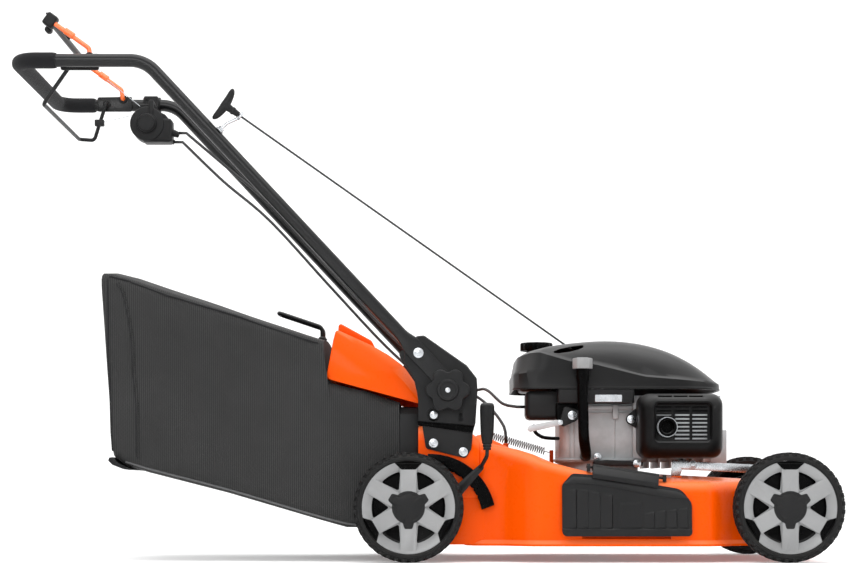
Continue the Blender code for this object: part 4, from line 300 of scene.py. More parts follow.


# Enamel and the three black plastics paint their pale colour onto faces that look up: a painted highlight standing in
# for light from above.
FINISH = {
    "enamel": hard_finish("orange_enamel", (0.71, 0.068, 0.0), 0.30, coat=0.06, grain=(140.0, 0.00005),
                          patches=(5.0, 0.04), scratch=0.04, dust=0.01, pale=(0.88, 0.24, 0.09), specular=0.05,
                          painted_top_highlight=0.60),
    "plastic": hard_finish("black_plastic", (0.0085, 0.0086, 0.009), 0.45, grain=(1100.0, 0.00006), scratch=0.05,
                           dust=0.015, pale=(0.04, 0.04, 0.04), specular=0.16, painted_top_highlight=0.30),
    "satin_plastic": hard_finish("satin_black_plastic", (0.0060, 0.0061, 0.0063), 0.36, grain=(700.0, 0.00003),
                                 scratch=0.05, dust=0.015, pale=(0.085, 0.085, 0.085), specular=0.14, painted_top_highlight=0.75),
    "deep_plastic": hard_finish("deep_black_plastic", (0.0008, 0.0008, 0.0009), 0.28, grain=(900.0, 0.00003),
                                scratch=0.04, dust=0.01, pale=(0.06, 0.06, 0.06), specular=0.04, painted_top_highlight=0.70),
    "powder": hard_finish("dark_powder_coat", (0.0095, 0.0096, 0.010), 0.42, grain=(1500.0, 0.00005), scratch=0.08,
                          dust=0.015, pale=(0.08, 0.08, 0.085), specular=0.18),
    "zinc": hard_finish("zinc_plate", (0.47, 0.49, 0.51), 0.26, metallic=1.0, grain=(420.0, 0.00003),
                        patches=(60.0, 0.12), scratch=0.35, dust=0.06, pale=(0.85, 0.85, 0.86)),
    "casting": hard_finish("sand_casting", (0.41, 0.425, 0.435), 0.50, metallic=0.25, grain=(650.0, 0.00026),
                           patches=(26.0, 0.14), scratch=0.15, dust=0.04, pale=(0.55, 0.55, 0.55)),
    "grey_plastic": hard_finish("silver_grey_plastic", (0.225, 0.228, 0.23), 0.40, metallic=0.20,
                                grain=(1300.0, 0.00003), scratch=0.10, dust=0.05, pale=(0.50, 0.50, 0.50),
                                specular=0.35),
    "bare_blade": hard_finish("ground_steel", (0.16, 0.16, 0.17), 0.40, metallic=0.9, grain=(300.0, 0.00008),
                              patches=(14.0, 0.25), scratch=0.8, dust=0.25),
    "belt_rubber": hard_finish("belt_rubber", (0.015, 0.015, 0.015), 0.62, grain=(2400.0, 0.00010), dust=0.20),
    "wire_sleeve": hard_finish("cable_sleeve", (0.012, 0.012, 0.013), 0.40, grain=(900.0, 0.00003), dust=0.05,
                               scratch=0.08),
}
print("hard finishes:", sorted(FINISH))


# %% Rubber, foam, cloth and braid
def soft_finish(name, colour, roughness, bump_height, distance, sheen=0.0, coords="Object", thread=None, scale=None,
                dust=0.1, cross=1.0):
    """A dull finish whose bump is a weave (thread) or open cells (scale), with painted shade darkening the gaps."""
    made, tree, shader = new_material(name, {"Sheen Weight": sheen, "Sheen Roughness": 0.45,
                                             "Specular IOR Level": 0.22})
    place = add(tree, "ShaderNodeTexCoord").outputs
    worn = add(tree, "ShaderNodeGroup", {"Vector": place["Object"], "Patch Scale": 7.0, "Dust Amount": dust},
               node_tree=WORN).outputs
    if thread:
        cells = add(tree, "ShaderNodeGroup", {"Thread": thread, "Cross": cross, "Vector": place[coords]},
                    node_tree=WEAVE)
        height, gaps = cells.outputs["Height"], cells.outputs["Gaps"]
    else:
        cells = add(tree, "ShaderNodeTexVoronoi", {"Scale": scale, "Vector": place["Object"]})
        height = cells.outputs["Distance"]
        gaps = spread(tree, height, 0.0, 0.35, 1.0, 0.0)
    tone = mixed(tree, tint(colour, 0.82), tint(colour, 1.22), worn["Patches"])
    # Painted shade: the gaps between threads and the open cells are darkened.
    dark = mixed(tree, tone, tint(colour, 0.45), gaps)
    bump = add(tree, "ShaderNodeBump", {"Distance": distance, "Strength": bump_height, "Height": height})
    feed(tree, shader, {"Base Color": mixed(tree, dark, (0.30, 0.27, 0.22, 1.0), worn["Dust"]),
                        "Roughness": spread(tree, worn["Patches"], 0.0, 1.0, roughness - 0.05, roughness + 0.05),
                        "Normal": bump.outputs["Normal"]})
    return made


FINISH["tyre"] = soft_finish("tyre_rubber", (0.006, 0.006, 0.0062), 0.70, 0.6, 0.0003, scale=700.0, dust=0.05)
FINISH["foam"] = soft_finish("grip_foam", (0.007, 0.007, 0.008), 0.88, 0.8, 0.0005, sheen=0.05, scale=900.0, dust=0.02)
FINISH["cloth"] = soft_finish("bag_cloth", (0.0300, 0.0300, 0.0300), 0.85, 0.8, 0.0004, sheen=0.06, coords="UV",
                              thread=840.0, dust=0.02, cross=0.30)
FINISH["webbing"] = soft_finish("bag_binding", (0.010, 0.010, 0.011), 0.75, 0.9, 0.0004, sheen=0.1, coords="UV",
                                thread=1500.0, dust=0.04)
FINISH["piping"] = soft_finish("bag_piping", (0.110, 0.110, 0.112), 0.70, 0.9, 0.0004, sheen=0.1, coords="UV",
                               thread=1500.0, dust=0.04)
FINISH["braid"] = soft_finish("rope_braid", (0.035, 0.035, 0.037), 0.80, 1.0, 0.0006, sheen=0.2, coords="UV",
                              thread=1800.0, dust=0.0)
print("all finishes:", len(FINISH))

# %% [markdown]
# ## Tools for shaping
# Most pieces are simple shapes joined and cut: plates with an outline, turned parts, bars swept
# along a route, and skins stretched over rings. Each helper gives a plain mesh object whose place
# is in its mesh, so nothing has to be moved later. Real parts have no knife edges, so `soften`
# rolls every sharp edge over by a millimetre or less, which is what catches the light.

# %% Mesh helpers
CLEAR = 0.0003
SIDES = (("right", -1), ("left", 1))


def linked(name, mesh):
    made = bpy.data.objects.new(name, mesh)
    bpy.context.scene.collection.objects.link(made)
    return made


def from_bmesh(name, bm):
    bmesh.ops.recalc_face_normals(bm, faces=bm.faces)
    mesh = bpy.data.meshes.new(name)
    bm.to_mesh(mesh)
    bm.free()
    return linked(name, mesh)


def settle(obj):
    """Replaces the object's mesh by what its modifiers give, and drops them."""
    bpy.context.view_layer.update()
    graph = bpy.context.evaluated_depsgraph_get()
    mesh = bpy.data.meshes.new_from_object(obj.evaluated_get(graph))
    obj.modifiers.clear()
    old = obj.data
    obj.data = mesh
    mesh.name = obj.name
    if old.users == 0:
        bpy.data.meshes.remove(old)
    return obj


def welded(obj, distance):
    """Merges corners closer than the distance and turns all faces outwards."""
    bm = bmesh.new()
    bm.from_mesh(obj.data)
    bmesh.ops.remove_doubles(bm, verts=bm.verts, dist=distance)
    bmesh.ops.recalc_face_normals(bm, faces=bm.faces)
    bm.to_mesh(obj.data)
    bm.free()
    return obj


def bevelled(obj, width, segments):
    bevel = obj.modifiers.new("round", "BEVEL")
    bevel.width, bevel.segments = width, segments
    return settle(obj)


def combine(base, others, operation):
    for other in others:
        modifier = base.modifiers.new("combine", "BOOLEAN")
        modifier.operation = operation
        modifier.object = other
        settle(base)
        bpy.data.objects.remove(other, do_unlink=True)
    return base


def cut(base, *others):
    return combine(base, others, "DIFFERENCE")


def join(base, *others):
    return combine(base, others, "UNION")


def soften(obj, width, segments=2, angle=28):
    """Merges flat neighbours, then rounds every edge sharper than the angle."""
    bm = bmesh.new()
    bm.from_mesh(obj.data)
    bmesh.ops.remove_doubles(bm, verts=bm.verts, dist=0.00001)
    bmesh.ops.dissolve_limit(bm, angle_limit=math.radians(1.0), verts=bm.verts, edges=bm.edges)
    bm.to_mesh(obj.data)
    bm.free()
    bevel = obj.modifiers.new("soft_edge", "BEVEL")
    bevel.width = width
    bevel.segments = segments
    bevel.limit_method = "ANGLE"
    bevel.angle_limit = math.radians(angle)
    bevel.use_clamp_overlap = True
    bevel.miter_outer = "MITER_ARC"
    return settle(obj)


def dress(obj, finish, body, stands_for=(), sharp=35):
    """Last step for every piece: material, smooth shading, body and what it stands for."""
    obj.data.materials.clear()
    obj.data.materials.append(FINISH[finish])
    for face in obj.data.polygons:
        face.material_index = 0
    obj.data.shade_smooth()
    obj.data.set_sharp_from_angle(angle=math.radians(sharp))
    if body:
        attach(obj, body)
    if stands_for:
        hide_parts(*stands_for)
    return obj


def refined(node, name, finish, body, width=0.0008, segments=2, angle=28):
    """A welded copy of a CAD node with its edges rounded, to stand for that node."""
    copy = welded(linked(name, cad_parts[node].data.copy()), 0.00002)
    if width:
        soften(copy, width, segments, angle)
    return dress(copy, finish, body, [node])


print("gap kept between pieces", CLEAR)


# %% Shape helpers
def rounded(corners, radii, steps=6):
    """A closed outline with each corner replaced by an arc of its radius."""
    made = []
    for i, (corner, radius) in enumerate(zip(corners, radii)):
        here = Vector(corner)
        back = Vector(corners[i - 1]) - here
        ahead = Vector(corners[(i + 1) % len(corners)]) - here
        half_angle = back.angle(ahead) / 2
        trim = min(radius / max(math.tan(half_angle), 1e-6), 0.49 * back.length, 0.49 * ahead.length)
        if radius < 1e-6 or trim < 1e-6:
            made.append(tuple(here))
        else:
            made += corner_arc(here, back.normalized(), ahead.normalized(), trim, half_angle, steps)
    return made


def corner_arc(corner, back, ahead, trim, half_angle, steps):
    """The arc that leaves one leg of a corner and joins the other."""
    centre = corner + (back + ahead).normalized() * trim / math.cos(half_angle)
    first, last = corner + back * trim - centre, corner + ahead * trim - centre
    turn = max(first.angle(last), 1e-6)
    return [tuple(centre + (first * math.sin(turn * (1 - t)) + last * math.sin(turn * t)) / math.sin(turn))
            for t in np.linspace(0, 1, steps + 1)]


def rounded_box(low_x, high_x, low_y, high_y, radius, steps=8):
    return rounded([(low_x, low_y), (high_x, low_y), (high_x, high_y), (low_x, high_y)], [radius] * 4, steps)


def spun(points, turn):
    """Points given outwards and sideways from the origin, turned about it."""
    return [(r * math.cos(turn) - t * math.sin(turn), r * math.sin(turn) + t * math.cos(turn)) for r, t in points]


def bent(points, radius, steps=8):
    """An open route in space with its inner corners rounded."""
    made = [tuple(points[0])]
    for i in range(1, len(points) - 1):
        here = Vector(points[i])
        back, ahead = Vector(points[i - 1]) - here, Vector(points[i + 1]) - here
        half_angle = back.angle(ahead) / 2
        trim = min(radius / math.tan(half_angle), 0.49 * back.length, 0.49 * ahead.length)
        made += corner_arc(here, back.normalized(), ahead.normalized(), trim, half_angle, steps)
    return made + [tuple(points[-1])]


def flowing(points, spacing):
    """A smooth curve through given points, read at about equal steps."""
    picks = [Vector(p) for p in points]
    picks = [2 * picks[0] - picks[1]] + picks + [2 * picks[-1] - picks[-2]]
    made = []
    for i in range(1, len(picks) - 2):
        a, b, c, d = picks[i - 1:i + 3]
        count = max(2, round((c - b).length / spacing))
        for t in np.linspace(0, 1, count, endpoint=False):
            square = (2 * a - 5 * b + 4 * c - d) * t * t
            cube = (3 * b - a - 3 * c + d) * t ** 3
            made.append(0.5 * (2 * b + (c - a) * t + square + cube))
    return [tuple(p) for p in made] + [tuple(picks[-2])]


def ease(value):
    value = min(1.0, max(0.0, value))
    return value * value * (3 - 2 * value)


def circle(centre, radius, steps=32):
    return [(centre[0] + radius * math.cos(a), centre[1] + radius * math.sin(a)) for a in full_circle(steps)]


def hull(points):
    """The smallest convex outline round some points, counter-clockwise."""
    ordered = sorted(set((round(x, 7), round(y, 7)) for x, y in points))

    def half(sequence):
        kept = []
        for p in sequence:
            while len(kept) > 1 and ((kept[-1][0] - kept[-2][0]) * (p[1] - kept[-2][1])
                                     - (kept[-1][1] - kept[-2][1]) * (p[0] - kept[-2][0])) <= 1e-12:
                kept.pop()
            kept.append(p)
        return kept[:-1]

    return half(ordered) + half(ordered[::-1])


def round_hull(*circles, steps=32):
    return hull([p for x, z, radius in circles for p in circle((x, z), radius, steps)])


def inset(outline, distance):
    """Moves a counter-clockwise outline inwards along its corners' normals."""
    made = []
    for i, point in enumerate(outline):
        here = Vector(point)
        ahead = (Vector(outline[(i + 1) % len(outline)]) - here).normalized()
        back = (here - Vector(outline[i - 1])).normalized()
        inward = (Vector((-ahead.y, ahead.x)) + Vector((-back.y, back.x))).normalized()
        made.append(tuple(here + inward * distance))
    return made


def divided(outline, longest):
    """The outline with its long straight sides cut into equal steps."""
    made = []
    for i, point in enumerate(outline):
        made.append(point)
        step = Vector(outline[(i + 1) % len(outline)]) - Vector(point)
        parts = max(1, math.ceil(step.length / longest))
        made += [tuple(Vector(point) + step * k / parts) for k in range(1, parts)]
    return made


print("a circle has", len(circle((0, 0), 1)), "points")


# %% Solid helpers
def box(name, low, high):
    bm = bmesh.new()
    bmesh.ops.create_cube(bm, size=1.0)
    bmesh.ops.scale(bm, vec=[high[i] - low[i] for i in range(3)], verts=bm.verts)
    bmesh.ops.translate(bm, vec=[(high[i] + low[i]) / 2 for i in range(3)], verts=bm.verts)
    return from_bmesh(name, bm)


def cushion_box(name, low, high, radius, segments=4):
    """A box with all edges rounded to one radius."""
    return bevelled(box(name, low, high), radius, segments)


def rod(name, start, end, radius, sides=32, end_radius=None):
    start, end = Vector(start), Vector(end)
    bm = bmesh.new()
    bmesh.ops.create_cone(bm, cap_ends=True, segments=sides, radius1=radius,
                          radius2=radius if end_radius is None else end_radius, depth=(end - start).length)
    turn = Vector((0, 0, 1)).rotation_difference(end - start).to_matrix().to_4x4()
    bmesh.ops.transform(bm, matrix=Matrix.Translation((start + end) / 2) @ turn, verts=bm.verts)
    return from_bmesh(name, bm)


def plate(name, outlines, low, high, axis="Y"):
    """A flat plate from one outline and any holes: X,Z points for axis Y, X,Y points for axis Z."""
    curve = bpy.data.curves.new(name, "CURVE")
    curve.dimensions = "2D"
    curve.fill_mode = "BOTH"
    curve.extrude = (high - low) / 2
    for outline in outlines:
        spline = curve.splines.new("POLY")
        spline.points.add(len(outline) - 1)
        for point, place in zip(spline.points, outline):
            point.co = (place[0], place[1], 0, 1)
        spline.use_cyclic_u = True
    flat = linked(name + "_curve", curve)
    bpy.context.view_layer.update()
    mesh = bpy.data.meshes.new_from_object(flat.evaluated_get(bpy.context.evaluated_depsgraph_get()))
    bpy.data.objects.remove(flat, do_unlink=True)
    middle = (low + high) / 2
    mesh.transform(Matrix.Translation((0, 0, middle)) if axis == "Z" else
                   Matrix.Translation((0, middle, 0)) @ Matrix.Rotation(math.pi / 2, 4, "X"))
    bm = bmesh.new()
    bm.from_mesh(mesh)
    bpy.data.meshes.remove(mesh)
    bmesh.ops.remove_doubles(bm, verts=bm.verts, dist=0.000005)
    bmesh.ops.dissolve_limit(bm, angle_limit=math.radians(0.5), verts=bm.verts, edges=bm.edges)
    return from_bmesh(name, bm)


def band(bm, near, far):
    """The faces between two rings of equally many corners."""
    count = len(near)
    return [bm.faces.new((near[i], near[(i + 1) % count], far[(i + 1) % count], far[i])) for i in range(count)]


def loft(name, rings, cap_first=True, cap_last=True):
    """Skins rings of equally many points."""
    bm = bmesh.new()
    loops = [[bm.verts.new(point) for point in ring] for ring in rings]
    for near, far in zip(loops, loops[1:]):
        band(bm, near, far)
    if cap_first:
        bm.faces.new(loops[0][::-1])
    if cap_last:
        bm.faces.new(loops[-1])
    return from_bmesh(name, bm)


def turned(name, profile, centre, axis="Z", steps=64, closed=True, side=1):
    """Spins (radius, height) points round axis Y or Z. side -1 mirrors heights for the right-hand side."""
    bm = bmesh.new()
    rings = []
    for r, height in profile:
        spots = [(r * math.cos(a), r * math.sin(a)) for a in full_circle(steps)]
        rings.append([bm.verts.new(Vector(centre) + Vector((u, side * height, v) if axis == "Y" else (u, v, height)))
                      for u, v in spots])
    for near, far in list(zip(rings, rings[1:])) + ([(rings[-1], rings[0])] if closed else []):
        band(bm, near, far)
    bmesh.ops.remove_doubles(bm, verts=bm.verts, dist=0.000004)
    return from_bmesh(name, bm)


def sweep(name, points, radius, sides=16, closed=False, radii=None):
    """A round bar along a route, with a UV map in metres for braid and weave."""
    route = [Vector(p) for p in points]
    bm = bmesh.new()
    uv = bm.loops.layers.uv.new("UVMap")
    count = len(route)
    tangents = []
    for i in range(count):
        ahead = route[(i + 1) % count] if closed or i + 1 < count else route[i]
        back = route[i - 1] if closed or i else route[i]
        tangents.append((ahead - back).normalized())
    normal = tangents[0].orthogonal().normalized()
    rings, lengths = [], [0.0]
    for i, (place, tangent) in enumerate(zip(route, tangents)):
        if i:
            normal = tangents[i - 1].rotation_difference(tangent) @ normal
            lengths.append(lengths[-1] + (route[i] - route[i - 1]).length)
        binormal = tangent.cross(normal)
        here = radius if radii is None else radii[i]
        rings.append([bm.verts.new(place + (normal * math.cos(a) + binormal * math.sin(a)) * here)
                      for a in full_circle(sides)])
    around = 2 * math.pi * radius / sides
    for k in range(count if closed else count - 1):
        for i, face in enumerate(band(bm, rings[k], rings[(k + 1) % count])):
            for loop, (u, v) in zip(face.loops, ((i, k), (i + 1, k), (i + 1, k + 1), (i, k + 1))):
                loop[uv].uv = (u * around, lengths[min(v, count - 1)])
    if not closed:
        bm.faces.new(rings[0][::-1])
        bm.faces.new(rings[-1])
    return from_bmesh(name, bm)


print("helpers ready")

# %% [markdown]
# ## Cords: the starter rope and the two control cables
# The starter rope runs tight from the eyelet on the handle into its slot in the engine shroud.
# The two cables leave the speed control, run down beside the left tube and go to the gearbox and
# the carburettor. All three cross the handle's fold, and each is a tube swept along its route.
# Their routes repeat the CAD model's own points.

# %% Where the cords run
HANDLE_RAKE = math.radians(46.9)
HANDLE_HEIGHT = 0.9615
TUBE_Y = 0.230
TUBE_RADIUS = 0.0125
FOLD = (0.0446, 0.3286)
LOCK = (-0.0115, 0.4005)
EAR_THICKNESS = 0.003
GLAND = (0.163, -0.024)
BOX = (-0.585, 0.146, 0.908)
ROPE_START = Vector((-0.353, -TUBE_Y, 0.855))
ROPE_END = Vector((0.292, -0.060, 0.420))
ROPE_ALONG = (ROPE_END - ROPE_START).normalized()
CABLE_Y = TUBE_Y - TUBE_RADIUS - EAR_THICKNESS - 0.0010
DRIVE_ROUTE = [
    (BOX[0] + 0.0643, BOX[1] + 0.024, BOX[2] - 0.016), (BOX[0] + 0.080, BOX[1] + 0.024, BOX[2] - 0.016),
    (-0.430, 0.192, 0.830),
    (-0.330, CABLE_Y, 0.745), (-0.200, CABLE_Y, 0.602), (-0.080, CABLE_Y, 0.474), (0.020, 0.206, 0.385),
    (0.055, 0.203, 0.362),
    (0.110, 0.130, 0.332), (0.140, 0.050, 0.300), (0.160, -0.012, 0.266), (*GLAND, 0.246), (*GLAND, 0.2325),
]
BRAKE_ROUTE = [
    (BOX[0] + 0.0523, BOX[1] + 0.043, BOX[2] - 0.032), (BOX[0] + 0.070, BOX[1] + 0.043, BOX[2] - 0.032),
    (-0.430, 0.204, 0.795),
    (-0.330, CABLE_Y - 0.0075, 0.710), (-0.200, CABLE_Y - 0.0075, 0.568), (-0.080, CABLE_Y - 0.0075, 0.440),
    (0.015, 0.205, 0.358),
    (0.055, 0.195, 0.345), (0.105, 0.090, 0.345), (0.125, -0.020, 0.340), (0.155, -0.080, 0.310),
    (0.184, -0.092, 0.303),
    (0.1987, -0.092, 0.303),
]


def length_of(route):
    return sum((Vector(b) - Vector(a)).length for a, b in zip(route, route[1:]))


def cord_mesh(name, route, radius, finish):
    piece = sweep(name, route, radius, 12)
    piece.data.materials.append(FINISH[finish])
    piece.data.shade_smooth()
    return piece


def crossing_cord(node, route, radius, finish):
    """A cord from the handle to the chassis, swept along its route."""
    piece = cord_mesh(node + "_piece", route, radius, finish)
    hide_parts(node)
    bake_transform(piece)
    print(node, "length %.3f m" % length_of(route))


# %% Make the three cords
rope_first = ROPE_START - ROPE_ALONG * 0.003
rope_last = ROPE_END + ROPE_ALONG * 0.012
rope_route = [tuple(rope_first.lerp(rope_last, t)) for t in np.linspace(0, 1, 40)]
crossing_cord("starter_rope", rope_route, 0.0020, "braid")
for cable_node, picks in (("drive_cable", DRIVE_ROUTE), ("brake_cable", BRAKE_ROUTE)):
    smooth_run = [picks[0]] + flowing(picks[1:-1], 0.012) + [picks[-1]]
    crossing_cord(cable_node, smooth_run, 0.0030, "wire_sleeve")

# %% [markdown]
# ## Wheels
# A mower wheel is a black moulded body with a pale trim ring pressed over it. The ring slopes
# inwards, carries six spokes, and is notched three times where the body's claws hold it. The tyre
# has small staggered tread blocks, which follow a rule, so Geometry Nodes place them. The trim is
# turned, and its windows and notches are cut out of it, because that keeps the cone true. The
# spokes are flat plates, joined on.

# %% Wheel measures
WHEEL_RADIUS = 0.105
TYRE_OUTER, TYRE_INNER = 0.285, 0.235
RIM_RADIUS = 0.0885
RIM_CUT = (0.262, 0.290)
TREAD_BLOCKS, TREAD_HEIGHT = 40, 0.0026
# Each axle sits on a crank: its pivot is a little ahead of the wheel's middle, and below it.
PIVOT_X, WHEELBASE = 0.0106, 0.7231
CRANK_BACK, CRANK_UP = 0.0408, 0.0241
PIVOT_Z = WHEEL_RADIUS - CRANK_UP
WHEEL_X = (PIVOT_X - CRANK_BACK, PIVOT_X + WHEELBASE - CRANK_BACK)
SPOKE_TURNS = [math.radians(90 + 60 * i) for i in range(6)]
CLAW_TURNS = [math.radians(a) for a in (90, -30, 210)]
print("wheel radius", WHEEL_RADIUS, "pivots at height", PIVOT_Z)


# %% Geometry Nodes helpers
def tree_sockets(name, sockets):
    """A geometry tree with a mesh input, these inputs and a geometry output."""
    tree = bpy.data.node_groups.new(name, "GeometryNodeTree")
    for label, kind, value in (("Geometry", "Geometry", None), *sockets):
        socket = tree.interface.new_socket(name=label, in_out="INPUT", socket_type="NodeSocket" + kind)
        if value is not None:
            socket.default_value = value
    tree.interface.new_socket(name="Geometry", in_out="OUTPUT", socket_type="NodeSocketGeometry")
    return tree, tree.nodes.new("NodeGroupInput"), tree.nodes.new("NodeGroupOutput")


def combined(tree, **axes):
    return add(tree, "ShaderNodeCombineXYZ", axes).outputs[0]


def placed(tree, points, instance, rotation=(0, 0, 0)):
    """Instance on Points."""
    return add(tree, "GeometryNodeInstanceOnPoints", {
        "Points": points, "Instance": instance, "Rotation": rotation}).outputs[0]


def coated(tree, start, end, geometry):
    """Set Material, then the output."""
    coat = add(tree, "GeometryNodeSetMaterial", {0: geometry, "Material": start.outputs["Finish"]})
    tree.links.new(coat.outputs[0], end.inputs[0])
    return tree


def ended(tree, start, end, instances):
    """Realize Instances, then the finish and the output."""
    return coated(tree, start, end, add(tree, "GeometryNodeRealizeInstances", {0: instances}).outputs[0])


def on_points(name, tree, points, values, edges=()):
    """Runs a tree on a mesh of bare points, or of points joined in a line."""
    mesh = bpy.data.meshes.new(name)
    mesh.from_pydata([tuple(p) for p in points], list(edges), [])
    holder = linked(name, mesh)
    modifier = holder.modifiers.new("nodes", "NODES")
    modifier.node_group = tree
    sockets = {item.name: item.identifier for item in tree.interface.items_tree if item.in_out == "INPUT"}
    for label, value in values.items():
        modifier[sockets[label]] = value
    return settle(holder)


print("geometry helpers ready")


# %% Geometry Nodes tree for tread blocks
def tread_tree():
    """Tilted blocks set round a circle about the tree's own Z axis, moved along it by the offset."""
    tree, start, end = tree_sockets("tread_blocks", (
        ("Blocks", "Int", 44), ("Radius", "Float", 0.1015), ("Row Offset", "Float", 0.010), ("Twist", "Float", 0.0),
        ("Block Size", "Vector", None), ("Finish", "Material", None)))
    given = start.outputs
    ring = add(tree, "GeometryNodeMeshCircle", {"Vertices": given["Blocks"], "Radius": given["Radius"]})
    block = add(tree, "GeometryNodeMeshCube", {"Size": given["Block Size"]})
    step = maths(tree, "DIVIDE", 2 * math.pi, given["Blocks"])
    angle = times(tree, add(tree, "GeometryNodeInputIndex").outputs[0], step)
    blocks = placed(tree, ring.outputs[0], block.outputs[0], combined(tree, Z=angle))
    tilted = add(tree, "GeometryNodeRotateInstances", {0: blocks, "Rotation": combined(tree, X=given["Twist"])})
    real = add(tree, "GeometryNodeRealizeInstances", {0: tilted.outputs[0]})
    moved = add(tree, "GeometryNodeTransform", {0: real.outputs[0],
                                                "Translation": combined(tree, Z=given["Row Offset"])})
    return coated(tree, start, end, moved.outputs[0])


TREAD = tread_tree()


def tread_row(blocks, radius, offset, twist, size, start_turn):
    row = on_points("row", TREAD, [], {"Blocks": blocks, "Radius": radius, "Row Offset": offset, "Twist": twist,
                                       "Block Size": size, "Finish": FINISH["tyre"]})
    row.data.transform(Matrix.Rotation(start_turn, 4, "Z"))
    return bevelled(row, 0.0006, 1)


print("tread tree:", len(TREAD.nodes), "nodes")


# %% Tyre
def joined(name, pieces):
    """One mesh object out of several, without cutting them into each other."""
    bm = bmesh.new()
    for piece in pieces:
        bm.from_mesh(piece.data)
        bpy.data.objects.remove(piece, do_unlink=True)
    mesh = bpy.data.meshes.new(name)
    bm.to_mesh(mesh)
    bm.free()
    return linked(name, mesh)


def tyre_template():
    """Tyre round the Y axis at the origin, its face at positive Y: carcass, ribs and four rows of blocks."""
    out, back, body = TYRE_OUTER, TYRE_INNER, WHEEL_RADIUS - TREAD_HEIGHT
    profile = [(RIM_RADIUS + CLEAR, out - 0.004), (0.0900, out - 0.0022), (0.0922, out - 0.0010),
               (0.0930, out - 0.0016), (0.0950, out - 0.0014), (0.0975, out - 0.0028), (0.1000, out - 0.0058),
               (0.1016, out - 0.0100), (body, out - 0.0150), (body, back + 0.0150), (0.1016, back + 0.0100),
               (0.0990, back + 0.0050), (0.0950, back + 0.0015), (RIM_RADIUS + CLEAR, back + 0.004)]
    carcass = turned("carcass", profile, (0, 0, 0), "Y", 96)
    step = 2 * math.pi / TREAD_BLOCKS
    crown, shoulder = (body + 0.0004, (0.0040, 0.0090, 0.0110)), (0.1008, (0.0060, 0.0085, 0.0080))
    rows = []
    for (radius, size), offset, twist, start in ((crown, 0.0075, 0.45, 0.0), (crown, -0.0075, -0.45, step / 2),
                                                 (shoulder, 0.0185, 0.0, step / 2), (shoulder, -0.0185, 0.0, 0.0)):
        rows.append(tread_row(TREAD_BLOCKS, radius, offset, twist, size, start))
    for row in rows:
        row.data.transform(Matrix.Translation((0, (out + back) / 2, 0)) @ Matrix.Rotation(-math.pi / 2, 4, "X"))
    made = joined("tyre_template", [carcass] + rows)
    print("tyre faces", len(made.data.polygons))
    return made


# %% Trim ring, black body and hub cap
def claw_outline(turn, grow=0.0):
    """The notch that shows the black body through the trim, wide at the rim."""
    corners = [(0.0720 - grow, -0.0135 - grow), (0.0720 - grow, 0.0135 + grow), (0.0845, 0.0265 + grow),
               (0.0950, 0.0270 + grow), (0.0950, -0.0270 - grow), (0.0845, -0.0265 - grow)]
    return spun(rounded(corners, [0.005, 0.005, 0.006, 0, 0, 0.006], 5), turn)


def window_outline(middle, grow=0.0):
    """A three-sided opening between two spokes with parallel edges."""
    half, far = 0.0154 - grow, 0.0700 + grow
    fan = math.radians(30) - math.asin(half / far)
    turns = [middle + s * fan for s in (-1, -0.6, -0.2, 0.2, 0.6, 1)]
    points = [(far * math.cos(a), far * math.sin(a)) for a in turns]
    points.append(((0.0365 - grow) * math.cos(middle), (0.0365 - grow) * math.sin(middle)))
    return rounded(points, [0.0040, 0.02, 0.02, 0.02, 0.02, 0.0040, 0.0030], 4)


def trim_template():
    """The pale ring and its six spokes."""
    face = 0.2716
    profile = [(0.0135, face), (0.0690, face), (RIM_RADIUS - 0.0030, 0.2806), (RIM_RADIUS - 0.0002, 0.2808),
               (RIM_RADIUS - 0.0002, 0.2788), (0.0680, 0.2694), (0.0135, 0.2694)]
    trim = turned("trim_template", profile, (0, 0, 0), "Y", 96)
    for turn in SPOKE_TURNS:
        cut(trim, plate("window", [window_outline(turn + math.radians(30))], *RIM_CUT))
    for turn in SPOKE_TURNS:
        spoke = spun([(0.0200, -0.0153), (0.0840, -0.0162), (0.0840, 0.0162), (0.0200, 0.0153)], turn)
        join(trim, soften(plate("spoke", [spoke], 0.2698, 0.2792), 0.0016, 2, 60))
    for turn in CLAW_TURNS:
        cut(trim, plate("claw", [claw_outline(turn)], *RIM_CUT))
    return soften(trim, 0.0009, 2, 30)


def body_template():
    """The black wheel body: a dish behind the windows, the trim's sloped seat and the gear ring behind."""
    face, ring = 0.2655, 0.0600
    profile = [(0.0068, face), (0.0660, face), (0.0685, 0.2695), (RIM_RADIUS - 0.0012, 0.2783), (RIM_RADIUS, 0.2790),
               (RIM_RADIUS, TYRE_INNER + 0.006), (RIM_RADIUS - 0.004, TYRE_INNER + 0.006), (0.0690, 0.2610),
               (ring + 0.004, 0.2610), (ring + 0.004, TYRE_INNER + 0.004), (ring + 0.0006, TYRE_INNER + 0.004),
               (ring + 0.0006, 0.2610), (0.020, 0.2610), (0.020, 0.2312), (0.0068, 0.2312)]
    dish = turned("body_template", profile, (0, 0, 0), "Y", 96)
    for turn in CLAW_TURNS:
        claw = [p for p in claw_outline(turn, -0.0006) if math.hypot(*p) < RIM_RADIUS - 0.0006]
        join(dish, plate("claw", [claw], 0.2690, 0.2795))
    for i in range(12):
        rib = box("rib", (0.022, 0.2440, -0.001), (ring - 0.001, 0.2620, 0.001))
        rib.data.transform(Matrix.Rotation(math.radians(15 + 30 * i), 4, "Y"))
        join(dish, rib)
    return soften(dish, 0.0005, 1, 32)


